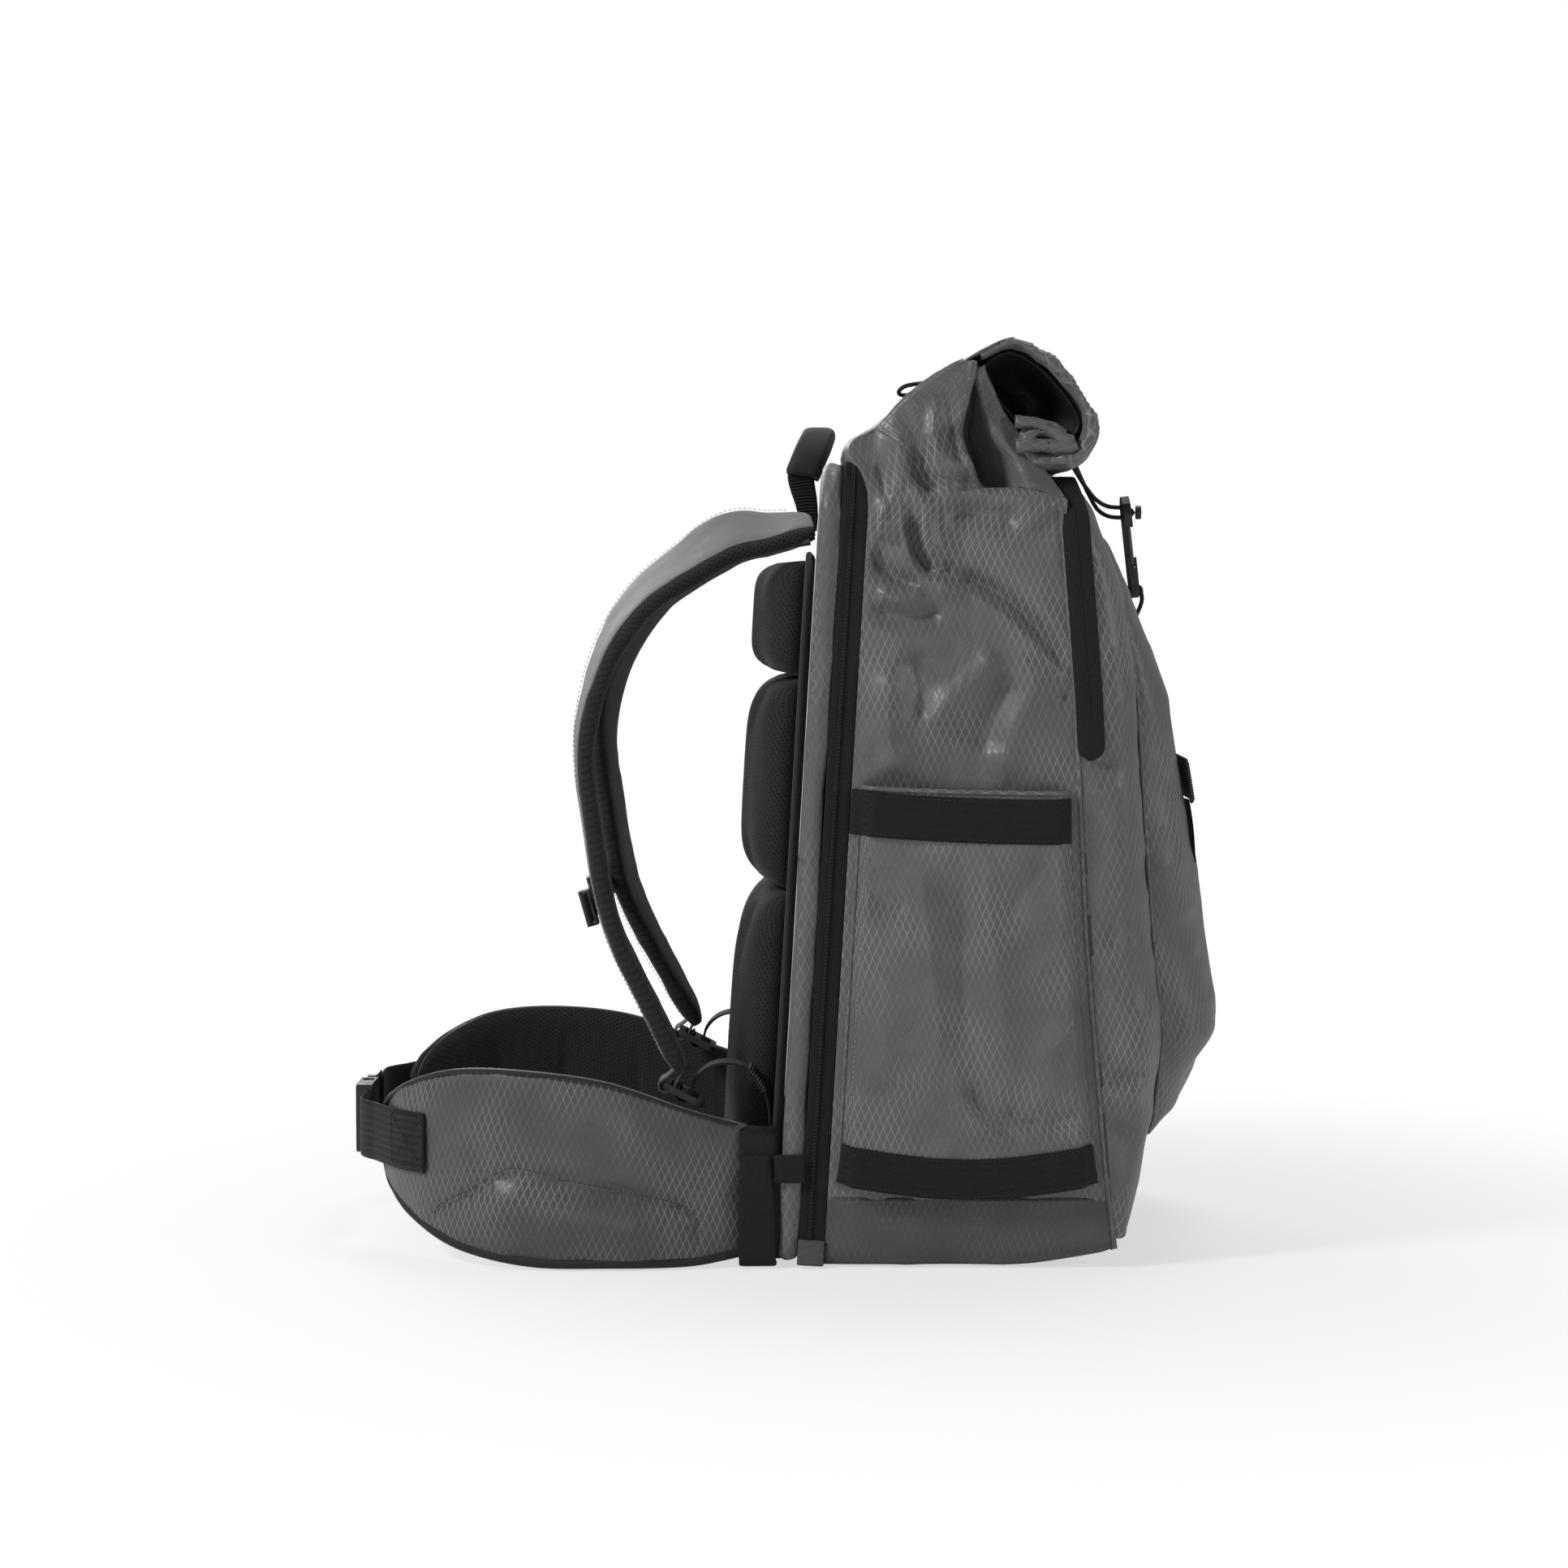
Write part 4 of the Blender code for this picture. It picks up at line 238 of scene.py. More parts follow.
COMPARTMENT_FOLDS = (
    (-2.5, 5, ((66, 322), (78, 316), (92, 313))),
    (2, 5, ((70, 300), (84, 296), (94, 302))),
    (-3, 5, ((74, 222), (84, 214), (92, 200))),
    (3, 5, ((72, 232), (80, 222), (86, 212))),
    (-3, 4, ((80, 122), (92, 118), (112, 122))),
    (2.5, 5, ((80, 112), (94, 108), (112, 112))),
    (-2.5, 5, ((82, 96), (96, 86), (108, 84))),
)
WING_FOLDS = (
    (-5, 2.4, ((-334, 28), (-330, 34), (-307, 48), (-291, 58), (-278, 61), (-240, 53), (-196, 44), (-178, 38),
               (-169, 30), (-167, 12))),
    (6, 13, ((-305, 30), (-285, 40), (-240, 34), (-190, 24))),
    (1.5, 14, ((-300, 84), (-240, 90), (-190, 80))),
    (-1.5, 6, ((-312, 72), (-298, 62))),
)

# The front pocket's folds, through (y, z) places
FRONT_FOLDS = (
    (-3, 9, ((-50, 440), (-30, 380), (-20, 330))),
    (-3, 9, ((55, 430), (30, 370), (22, 320))),
    (3, 14, ((-70, 260), (-60, 190), (-64, 130))),
    (3, 14, ((60, 250), (66, 190), (58, 130))),
    (-2.5, 12, ((-20, 240), (-10, 170), (-18, 120))),
    (2.5, 12, ((18, 260), (24, 180), (20, 120))),
    (-2.5, 6, ((-100, 110), (-80, 122), (-50, 126))),
    (-2.5, 6, ((100, 108), (82, 120), (55, 125))),
)


# Settings a user may change
class BackpackSizes(bpy.types.PropertyGroup):
    """Sizes of the cloth's pattern and sewing."""

    diamond_width: bpy.props.FloatProperty(
        name="Diamond Width", description="Width of one diamond of the ripstop grid", default=0.0047,
        unit="LENGTH")
    diamond_height: bpy.props.FloatProperty(
        name="Diamond Height", description="Height of one diamond of the ripstop grid", default=0.0110,
        unit="LENGTH")
    thread: bpy.props.FloatProperty(
        name="Grid Thread", description="Share of a diamond that its thread covers", default=0.055,
        subtype="FACTOR")
    mesh_cell: bpy.props.FloatProperty(
        name="Mesh Cell", description="Distance between two holes of the air mesh", default=0.0030,
        unit="LENGTH")
    stitch: bpy.props.FloatProperty(
        name="Stitch", description="Length of one stitch and its gap", default=0.0032, unit="LENGTH")
    fold_depth: bpy.props.FloatProperty(
        name="Fold Depth", description="How deep the drawn folds are, as a share", default=1.2,
        subtype="FACTOR")


class BackpackColours(bpy.types.PropertyGroup):
    """Colours of the pack's finishes."""

    ripstop: bpy.props.FloatVectorProperty(
        name="Ripstop", description="Colour of the main cloth", default=(0.105, 0.105, 0.108),
        subtype="COLOR")
    grid: bpy.props.FloatVectorProperty(
        name="Grid", description="Colour of the ripstop's grid threads", default=(0.30, 0.30, 0.305),
        subtype="COLOR")
    strap: bpy.props.FloatVectorProperty(
        name="Strap Cloth", description="Colour of the strap's outer cloth", default=(0.155, 0.155, 0.16),
        subtype="COLOR")
    webbing: bpy.props.FloatVectorProperty(
        name="Webbing", description="Colour of the webbing", default=(0.0055, 0.0055, 0.006), subtype="COLOR")
    mesh: bpy.props.FloatVectorProperty(
        name="Air Mesh", description="Colour of the air mesh", default=(0.013, 0.013, 0.0137),
        subtype="COLOR")
    plastic: bpy.props.FloatVectorProperty(
        name="Plastic", description="Colour of the moulded parts", default=(0.018, 0.018, 0.019),
        subtype="COLOR")


def sizes():
    """The sizes set in the scene."""
    return bpy.context.scene.backpack_sizes


def colours():
    """The colours set in the scene."""
    return bpy.context.scene.backpack_colours


# Shapes
def rim_x(z):
    """The line where the pack's sides end and the back door begins."""
    return BACK_FOOT + math.tan(LEAN) * z


def seam_x(z):
    """The seam between the side panel and the front compartment."""
    return np.interp(z, SEAM_Z, SEAM_X)


def on_back(u, y, w):
    """Places on the leaning back: u behind the rim, w up the back."""
    lean = np.array((math.sin(LEAN), 0, math.cos(LEAN)))
    away = np.array((math.cos(LEAN), 0, -math.sin(LEAN)))
    return np.outer(u, away) + np.outer(w, lean) + np.outer(y, (0, 1, 0)) + (BACK_FOOT, 0, 0)


def smooth_run(rows, shares):
    """Rows at these shares of a smooth curve's length, or at this many even ones.

    Numbers past the third are carried along.
    """
    if isinstance(shares, int):
        shares = np.linspace(0, 1, shares)
    rows = np.array(rows, float)
    ends = np.vstack([2 * rows[0] - rows[1], rows, 2 * rows[-1] - rows[-2]])
    steps = np.linspace(0, len(rows) - 1, 24 * len(rows))
    index = np.minimum(steps.astype(int), len(rows) - 2)
    t = (steps - index)[:, None]
    a, b, c, d = (ends[index + k] for k in range(4))
    dense = b + (c - a) * t / 2 + (a - b * 2.5 + c * 2 - d / 2) * t**2 + ((b - c) * 1.5 + (d - a) / 2) * t**3
    travel = np.r_[0, np.cumsum(np.linalg.norm(np.diff(dense[:, :3], axis=0), axis=1))]
    return np.stack([np.interp(np.asarray(shares) * travel[-1], travel, column) for column in dense.T], -1)


def path_frames(path, side):
    """Across, outward and onward directions at each point of a path, its width lying along side."""
    onward = np.gradient(path, axis=0)
    onward /= np.linalg.norm(onward, axis=1, keepdims=True)
    across = side - onward * (onward * side).sum(1, keepdims=True)
    across /= np.linalg.norm(across, axis=1, keepdims=True)
    return across, np.cross(across, onward), onward


def twisted(across, outward, twist):
    """Across and outward directions, turned about the way onward by a twist at each point."""
    c, s = np.cos(twist)[:, None], np.sin(twist)[:, None]
    return across * c + outward * s, outward * c - across * s


def mirrored(points, sign):
    """Points drawn for the wearer's left, moved to the side of this sign."""
    points = np.array(points, float)
    points[:, 1] *= -sign
    return points


def patch(place, cells, wrap=False, caps=False):
    """A grid of cells whose corners go where place(across, along) says, with a UV map in metres of cloth."""
    bm = bmesh.new()
    weave = bm.loops.layers.uv.new("weave")
    bmesh.ops.create_grid(bm, x_segments=cells[0], y_segments=cells[1], size=0.5)
    shares = np.clip(np.array([vert.co[:2] for vert in bm.verts]) + 0.5, 0, 1)
    order = np.lexsort((shares[:, 0], np.round(shares[:, 1], 6)))
    points = np.asarray(place(shares[:, 0], shares[:, 1]))
    table = points[order].reshape(cells[1] + 1, cells[0] + 1, 3)
    u, v = (np.insert(np.cumsum(np.linalg.norm(np.diff(table, axis=axis), axis=2), axis=axis), 0, 0,
                      axis=axis)
            for axis in (1, 0))
    flat = np.empty((len(points), 2))
    flat[order] = np.stack([u - u[:, cells[0] // 2, None], v], -1).reshape(-1, 2)
    bm.verts.index_update()
    for face in bm.faces:
        for corner in face.loops:
            corner[weave].uv = flat[corner.vert.index]
    for vert, point in zip(bm.verts, points):
        vert.co = point
    if wrap:
        bmesh.ops.remove_doubles(bm, verts=bm.verts, dist=1e-5)
    if caps:
        bmesh.ops.holes_fill(bm, edges=[edge for edge in bm.edges if edge.is_boundary], sides=0)
    return bm


def strap_section(share, width, thickness, square=6):
    """Across and outward places round a strap's section, whose edges are round."""
    turn = np.cos(math.tau * share)
    side = np.sign(np.sin(math.tau * share))
    return width / 2 * turn, side * thickness / 2 * (1 - np.abs(turn) ** square) ** 0.4


def sweep(path, side, width, thickness, around=20, square=6, twist=0.0):
    """A closed strap along a path; its width, thickness and twist may change from point to point."""
    path = np.array(path, float)
    across, outward, _ = path_frames(path, np.array(side, float))
    count = len(path)
    width, thickness, twist = (np.broadcast_to(np.asarray(value, float), count)
                               for value in (width, thickness, twist))
    across, outward = twisted(across, outward, twist)

    def place(u, v):
        row = np.rint(v * (count - 1)).astype(int)
        a, b = strap_section(u, width[row], thickness[row], square)
        return path[row] + across[row] * a[:, None] + outward[row] * b[:, None]

    return patch(place, (around, count - 1), wrap=True, caps=True)


def tube(path, radius, around=8):
    """A round bead along a path."""
    return sweep(path, side_of(path), 2 * radius, 2 * radius, around, square=2)


def side_of(path):
    """A direction that no stretch of the path runs along."""
    path = np.array(path)
    spread = np.ptp(path, axis=0)
    return np.eye(3)[int(np.argmin(spread))]


def places_of(bm):
    """The places of a bmesh's vertices."""
    return np.array([vert.co[:] for vert in bm.verts])


def face_out(bm, inside=None):
    """Turns the faces outwards: by their own shape if it is closed, else away from a point inside."""
    bmesh.ops.recalc_face_normals(bm, faces=bm.faces)
    if inside is not None:
        inside = Vector(inside)
        facing = (face.normal.dot(face.calc_center_median() - inside) * face.calc_area() for face in bm.faces)
        if sum(facing) < 0:
            bmesh.ops.reverse_faces(bm, faces=bm.faces)
    bm.normal_update()


def push(bm, moves):
    """Moves each vertex along its own normal."""
    normals = [vert.normal.copy() for vert in bm.verts]
    for vert, normal, move in zip(bm.verts, normals, moves):
        vert.co += normal * float(move)


def folds(places, strokes, axes=(0, 2)):
    """How far the cloth stands out at these places, for folds drawn as polylines."""
    flat = places[:, axes] * 1000
    out = np.zeros(len(flat))
    for height, width, points in strokes:
        points = np.array(points, float)
        spans = np.linalg.norm(np.diff(points, axis=0), axis=1)
        near, share = np.full(len(flat), 1e9), np.zeros(len(flat))
        done = 0.0
        for start, end, span in zip(points, points[1:], spans):
            t = np.clip((flat - start) @ (end - start) / span**2, 0, 1)
            gap = np.linalg.norm(flat - start - t[:, None] * (end - start), axis=1)
            closer = gap < near
            near[closer] = gap[closer]
            share[closer] = (done + t[closer] * span) / spans.sum()
            done += span
        taper = np.clip(np.minimum(share, 1 - share) * 5 + 0.25, 0, 1)
        out += height * np.exp(-((near / width) ** 1.5)) * taper
    return out * sizes().fold_depth / 1000


def swells(places, pitch, height, seed=0):
    """Soft, even swells of cloth, pitch metres apart."""
    start = Vector((seed * 7.1, seed * 3.3, seed * 5.7))
    return height * np.array([noise.noise(Vector(place) / pitch + start) for place in places])


def creases(places, pitch, height, seed=0):
    """Thin ridges between flat facets, as crumpled cloth keeps."""
    return height * (1 - 3 * np.abs(swells(places, pitch, 1.0, seed)))


def smooth_step(value, low, high):
    """0 below low and 1 above high, with an even rise between them."""
    t = np.clip((value - low) / (high - low), 0, 1)
    return t * t * (3 - 2 * t)


def add_piece(name, bm, finishes, body, replaces=(), inside=None, wall=0.0, ready=False):
    """Makes a mesh object of a bmesh, gives it its finishes and puts it on its body."""
    if not ready:
        face_out(bm, inside)
    mesh = bpy.data.meshes.new(name)
    bm.to_mesh(mesh)
    bm.free()
    mesh.shade_smooth()
    for look in [finishes] if isinstance(finishes, str) else finishes:
        mesh.materials.append(finish(look))
    piece = bpy.data.objects.new(name, mesh)
    bpy.context.scene.collection.objects.link(piece)
    if wall:
        solid = piece.modifiers.new("wall", "SOLIDIFY")
        solid.thickness = wall
        solid.offset = -1
        if len(mesh.materials) > 1:
            solid.material_offset = 1
    if body:
        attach(piece, body)
    if replaces:
        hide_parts(*([replaces] if isinstance(replaces, str) else replaces))
    return piece


def say_sheet(piece):
    """Says that a piece is a sheet, cut to the size that its own cloth measures."""
    mesh = piece.data
    flat = np.empty(len(mesh.loops) * 2, np.float32)
    mesh.uv_layers["weave"].uv.foreach_get("vector", flat)


def inflate(piece, held, pressure, cap, frames=16):
    """Lets air round a closed piece between its held seams, moving no point further than the cap."""
    mesh = piece.data
    rest = np.zeros(len(mesh.vertices) * 3)
    mesh.vertices.foreach_get("co", rest)
    rest = rest.reshape(-1, 3)
    group = piece.vertex_groups.new(name="held")
    group.add([int(index) for index in np.flatnonzero(held)], 1.0, "REPLACE")
    cloth = piece.modifiers.new("air", "CLOTH")
    cloth.settings.vertex_group_mass = "held"
    cloth.settings.use_pressure = True
    cloth.settings.uniform_pressure_force = pressure
    cloth.settings.effector_weights.gravity = 0
    cloth.settings.quality = 4
    cloth.collision_settings.use_collision = False
    cloth.point_cache.frame_end = frames
    for step in range(1, frames + 1):
        bpy.context.scene.frame_set(step)
    blown = piece.evaluated_get(bpy.context.evaluated_depsgraph_get()).to_mesh()
    moved = np.zeros(len(rest) * 3)
    blown.vertices.foreach_get("co", moved)
    shift = moved.reshape(-1, 3) - rest
    reach = np.maximum(np.linalg.norm(shift, axis=1, keepdims=True), 1e-9)
    shift *= np.minimum(1, cap / reach)
    piece.modifiers.remove(cloth)
    piece.vertex_groups.remove(group)
    mesh.vertices.foreach_set("co", (rest + shift).ravel())
    mesh.update()
    bpy.context.scene.frame_set(1)


def sew(name, lines, finish_name, body, pitch=None, radius=0.00032, cover=0.7, lift=0.0002):
    """A row of stitches along each line; a line is its points and the cloth's outward direction at each."""
    pitch = pitch or sizes().stitch
    bm = bmesh.new()
    bm.loops.layers.uv.new("weave")
    for points, outward in lines:
        points = np.array(points, float)
        outward = np.broadcast_to(np.array(outward, float), points.shape)
        travel = np.r_[0, np.cumsum(np.linalg.norm(np.diff(points, axis=0), axis=1))]
        count = max(2, int(travel[-1] / pitch))
        marks = (np.arange(count) + 0.5) / count * travel[-1]
        sample = lambda table, at: np.stack([np.interp(at, travel, column) for column in table.T], -1)
        middles, normals = sample(points, marks), sample(outward, marks)
        onwards = sample(points, marks + pitch / 4) - sample(points, marks - pitch / 4)
        for middle, normal, onward in zip(middles, normals, onwards):
            ahead = Vector(onward).normalized()
            up = Vector(normal).normalized()
            up = (up - ahead * up.dot(ahead)).normalized()
            turn = Matrix((ahead, up.cross(ahead), up)).transposed().to_4x4()
            size = Matrix.Diagonal((pitch * cover / 2, radius, radius, 1))
            spot = Matrix.Translation(Vector(middle) + up * lift)
            bmesh.ops.create_uvsphere(bm, u_segments=5, v_segments=4, radius=1,
                                      matrix=spot @ turn @ size @ Matrix.Rotation(math.pi / 2, 4, "Y"))
    return add_piece(name, bm, finish_name, body, ready=True)


# Finishes
class Shade:
    """A material's nodes, added one after the other to its Principled shader."""

    def __init__(self, name, roughness, specular=0.5, **sockets):
        self.material = bpy.data.materials.new(name)
        self.material.use_nodes = True
        self.tree = self.material.node_tree
        self.shader = self.tree.nodes["Principled BSDF"]
        self.put(self.shader.inputs["Roughness"], roughness)
        self.put(self.shader.inputs["Specular IOR Level"], specular)
        for key, value in sockets.items():
            self.put(self.shader.inputs[key.replace("_", " ").title()], value)

    def put(self, socket, value):
        """Sets a socket to a value, or links another node's output to it."""
        if isinstance(value, bpy.types.NodeSocket):
            self.tree.links.new(value, socket)
        else:
            socket.default_value = value

    def add(self, kind, *values, out=0, **settings):
        """Adds a node with its first inputs and its settings, and gives one of its outputs."""
        node = self.tree.nodes.new("ShaderNode" + kind)
        for key, value in settings.items():
            setattr(node, key, value)
        for index, value in enumerate(values):
            if value is not None:
                self.put(node.inputs[index], value)
        return node.outputs[out]

    def maths(self, operation, *values):
        """A maths node's result."""
        return self.add("Math", *values, operation=operation)

    def step(self, value, low, high, bottom=0.0, top=1.0):
        """Maps low to bottom and high to top, with a smooth rise between them."""
        return self.add("MapRange", value, low, high, bottom, top, interpolation_type="SMOOTHSTEP")

    def cloth_place(self):
        """The UV map's place, in metres."""
        return self.add("UVMap", uv_map="weave")

    def object_place(self):
        """The place in the object's own coordinates, in metres."""
        return self.add("TexCoord", out=3)

    def split(self, place):
        """The three numbers of a place."""
        node = self.tree.nodes.new("ShaderNodeSeparateXYZ")
        self.put(node.inputs[0], place)
        return node.outputs

    def grain(self, place, scale, detail=2.0):
        """Even noise from 0 to 1; scale is a number, or one for each axis."""
        if isinstance(scale, tuple):
            place = self.add("Mapping", place, None, None, scale)
            scale = 1.0
        return self.add("TexNoise", place, None, scale, detail)

    def blend(self, share, first, second):
        """A mix of two colours by a share from 0 to 1."""
        node = self.tree.nodes.new("ShaderNodeMix")
        node.data_type = "RGBA"
        for index, value in ((0, share), (6, first), (7, second)):
            self.put(node.inputs[index], value)
        return node.outputs[2]

    def colour(self, share, first, second):
        """Gives the shader a mix of two colours."""
        self.put(self.shader.inputs["Base Color"], self.blend(share, first, second))

    def bump(self, *layers):
        """Raises the surface by layers of (height, metres)."""
        normal = None
        for height, distance in layers:
            node = self.tree.nodes.new("ShaderNodeBump")
            node.inputs["Strength"].default_value = 1.0
            node.inputs["Distance"].default_value = distance
            self.put(node.inputs["Height"], height)
            if normal:
                self.put(node.inputs["Normal"], normal)
            normal = node.outputs[0]
        self.put(self.shader.inputs["Normal"], normal)


def tone(colour, factor=1.0):
    """A colour made lighter or darker by a factor, with its alpha."""
    return (*(min(1.0, channel * factor) for channel in colour), 1)


def ripstop(name, turned=False, lighter=1.0, shown=1.0):
    """Nylon with a grid of raised diamond threads that catch the light unevenly."""
    shade = Shade(name, 0.42, 0.52, sheen_weight=0.12, sheen_roughness=0.5)
    place = shade.cloth_place()
    parts = shade.split(place)
    u, v = (parts[1], parts[0]) if turned else (parts[0], parts[1])
    wander = shade.maths("MULTIPLY", shade.maths("SUBTRACT", shade.grain(place, 45.0), 0.5), 0.0012)
    columns = shade.maths("DIVIDE", shade.maths("ADD", u, wander), sizes().diamond_width)
    rows = shade.maths("DIVIDE", v, sizes().diamond_height)
    threads = []
    for operation in ("ADD", "SUBTRACT"):
        line = shade.maths("FRACT", shade.maths(operation, columns, rows))
        gap = shade.maths("ABSOLUTE", shade.maths("SUBTRACT", line, 0.5))
        threads.append(shade.step(gap, 0.5 - 2 * sizes().thread, 0.5 - sizes().thread / 2))
    grid = shade.maths("MAXIMUM", *threads)
    knots = shade.maths("MULTIPLY", *threads)
    patches = shade.step(shade.grain(place, 16.0, 1.0), 0.36, 0.64, 0.12 * shown, 0.72 * shown)
    fibre = shade.grain(place, (2600.0, 240.0, 1.0))
    blotch = shade.grain(place, 30.0)
    base = shade.blend(fibre, tone(colours().ripstop, 0.72 * lighter),
                       tone(colours().ripstop, 1.28 * lighter))
    base = shade.blend(shade.step(blotch, 0.3, 0.7, 0.0, 0.25), base, tone(colours().ripstop, 1.5 * lighter))
    lines = shade.maths("MULTIPLY", grid, patches)
    shade.colour(shade.maths("ADD", lines, shade.maths("MULTIPLY", knots, 0.25 * shown)), base,
                 tone(colours().grid))
    shade.put(shade.shader.inputs["Roughness"], shade.step(grid, 0, 1, 0.40, 0.72))
    shade.bump((grid, 0.00010), (fibre, 0.00005), (shade.grain(place, 260.0), 0.00012))
    return shade.material


def strap_cloth(name):
    """Smooth, softly woven cloth of the shoulder straps."""
    shade = Shade(name, 0.62, 0.35, sheen_weight=0.25, sheen_roughness=0.4)
    place = shade.cloth_place()
    fibre = shade.grain(place, (1800.0, 1500.0, 1.0))
    shade.colour(fibre, tone(colours().strap, 0.72), tone(colours().strap, 1.3))
    shade.bump((fibre, 0.00008), (shade.grain(place, 120.0), 0.0003))
    return shade.material


def webbing(name, gain=1.0):
    """Twill webbing: slanting ribs that turn back at the middle, and a flat selvedge."""
    shade = Shade(name, 0.58, 0.30, sheen_weight=0.08, sheen_roughness=0.35)
    place = shade.cloth_place()
    parts = shade.split(place)
    u, v = parts[0], parts[1]
    zigzag = shade.maths("PINGPONG", u, 0.0022)
    slant = shade.maths("ADD", v, zigzag)
    ribs = shade.maths("SINE", shade.maths("MULTIPLY", slant, math.tau / 0.0011))
    cords = shade.maths("SINE", shade.maths("MULTIPLY", u, math.tau / 0.00075))
    fibre = shade.grain(place, (900.0, 2600.0, 1.0))
    weave = shade.maths("MULTIPLY", shade.maths("ADD", shade.maths("ADD", ribs, cords), fibre), 0.33)
    shade.colour(shade.step(weave, -0.3, 0.9), tone(colours().webbing, 0.6 * gain),
                 tone(colours().webbing, 2.6 * gain))
    shade.bump((weave, 0.00022), (shade.grain(place, 90.0), 0.0004))
    return shade.material


def ribbed(name):
    """Black elastic webbing with ribs across it."""
    shade = Shade(name, 0.55, 0.4)
    place = shade.cloth_place()
    parts = shade.split(place)
    ribs = shade.maths("SINE", shade.maths("MULTIPLY", parts[1], math.tau / 0.0021))
    shade.colour(shade.step(ribs, -0.6, 1), tone(colours().webbing, 0.5), tone(colours().webbing, 3.6))
    shade.bump((ribs, 0.0005), (shade.grain(place, 1500.0), 0.0001))
    return shade.material


def air_mesh(name):
    """Knitted spacer mesh: slanting oval holes in groups, with raised yarn between them."""
    shade = Shade(name, 0.78, 0.30, sheen_weight=0.15, sheen_roughness=0.5)
    place = shade.cloth_place()
    parts = shade.split(place)
    cell = sizes().mesh_cell
    rows = shade.maths("DIVIDE", parts[1], cell * 0.8)
    shift = shade.maths("MULTIPLY", shade.maths("FLOORED_MODULO", shade.maths("FLOOR", rows), 2.0), 0.5)
    columns = shade.maths("ADD", shade.maths("DIVIDE", parts[0], cell), shift)
    a = shade.maths("SUBTRACT", shade.maths("FRACT", columns), 0.5)
    b = shade.maths("MULTIPLY", shade.maths("SUBTRACT", shade.maths("FRACT", rows), 0.5), 0.75)
    squares = shade.maths("ADD", shade.maths("MULTIPLY", a, a), shade.maths("MULTIPLY", b, b))
    far = shade.maths("SQRT", squares)
    slanted = shade.add("Mapping", place, None, (0, 0, math.pi / 4), (150.0, 150.0, 1.0))
    big = shade.add("TexChecker", slanted, out=1)
    rim = shade.maths("ADD", 0.16, shade.maths("MULTIPLY", big, 0.12))
    yarn = shade.step(shade.maths("SUBTRACT", far, rim), -0.06, 0.06)
    knit = shade.grain(place, (2200.0, 1400.0, 1.0))
    base = shade.blend(knit, tone(colours().mesh, 0.6), tone(colours().mesh, 2.2))
    shade.colour(yarn, (0.0015, 0.0015, 0.0016, 1), base)
    shade.bump((yarn, 0.0009), (knit, 0.00022))
    return shade.material


def zip_tape(name):
    """Black knitted zip tape: fine loops in columns along the tape."""
    shade = Shade(name, 0.74, 0.35)
    place = shade.cloth_place()
    parts = shade.split(place)
    columns = shade.maths("SINE", shade.maths("MULTIPLY", parts[0], math.pi / 0.0013))
    loops = shade.maths("SINE", shade.maths("MULTIPLY", parts[1], math.pi / 0.0012))
    knit = shade.maths("MULTIPLY", shade.maths("ABSOLUTE", columns), shade.maths("ABSOLUTE", loops))
    dust = shade.step(shade.grain(place, 900.0), 0.62, 0.80, 0.0, 0.35)
    shade.colour(shade.maths("ADD", knit, dust), tone(colours().webbing, 0.6), tone(colours().webbing, 3.0))
    shade.bump((knit, 0.0003), (shade.grain(place, 60.0), 0.0005))
    return shade.material


def soft_black(name):
    """Smooth stretch cloth of the grip and the edge binding."""
    shade = Shade(name, 0.70, 0.35, sheen_weight=0.25, sheen_roughness=0.45)
    place = shade.cloth_place()
    fibre = shade.grain(place, (1700.0, 1700.0, 1.0))
    shade.colour(fibre, (0.008, 0.008, 0.009, 1), (0.026, 0.026, 0.028, 1))
    shade.bump((fibre, 0.00012), (shade.grain(place, 80.0), 0.0003))
    return shade.material


def cord_cover(name):
    """Braided cord."""
    shade = Shade(name, 0.62, 0.4)
    cells = shade.add("TexVoronoi", shade.object_place(), None, 1100.0)
    shade.colour(cells, (0.020, 0.020, 0.021, 1), (0.005, 0.005, 0.005, 1))
    shade.bump((cells, 0.0003))
    return shade.material


def liner(name, colour):
    """Plain woven lining."""
    shade = Shade(name, 0.66, 0.35)
    place = shade.object_place()
    fibre = shade.grain(place, 1400.0)
    shade.colour(fibre, tone(colour, 0.7), tone(colour, 1.3))
    shade.bump((fibre, 0.00012), (shade.grain(place, 60.0), 0.0004))
    return shade.material


def moulded(name, colour, roughness, metal=0.0):
    """Moulded plastic or cast metal, with a fine grain and handling marks."""
    shade = Shade(name, roughness, 0.5, metallic=metal)
    place = shade.object_place()
    grain = shade.grain(place, 1300.0)
    marks = shade.grain(place, 150.0, 5.0)
    shade.colour(marks, tone(colour, 0.8), tone(colour, 1.35))
    shade.put(shade.shader.inputs["Roughness"],
              shade.step(marks, 0.3, 0.75, roughness - 0.08, roughness + 0.14))
    shade.bump((grain, 0.00006))
    return shade.material


def thread(name, level):
    """Sewing thread of this grey."""
    shade = Shade(name, 0.6, 0.4)
    twist = shade.grain(shade.object_place(), 2500.0)
    shade.colour(twist, (level * 0.6,) * 3 + (1,), (min(1, level * 1.4),) * 3 + (1,))
    shade.bump((twist, 0.0001))
    return shade.material


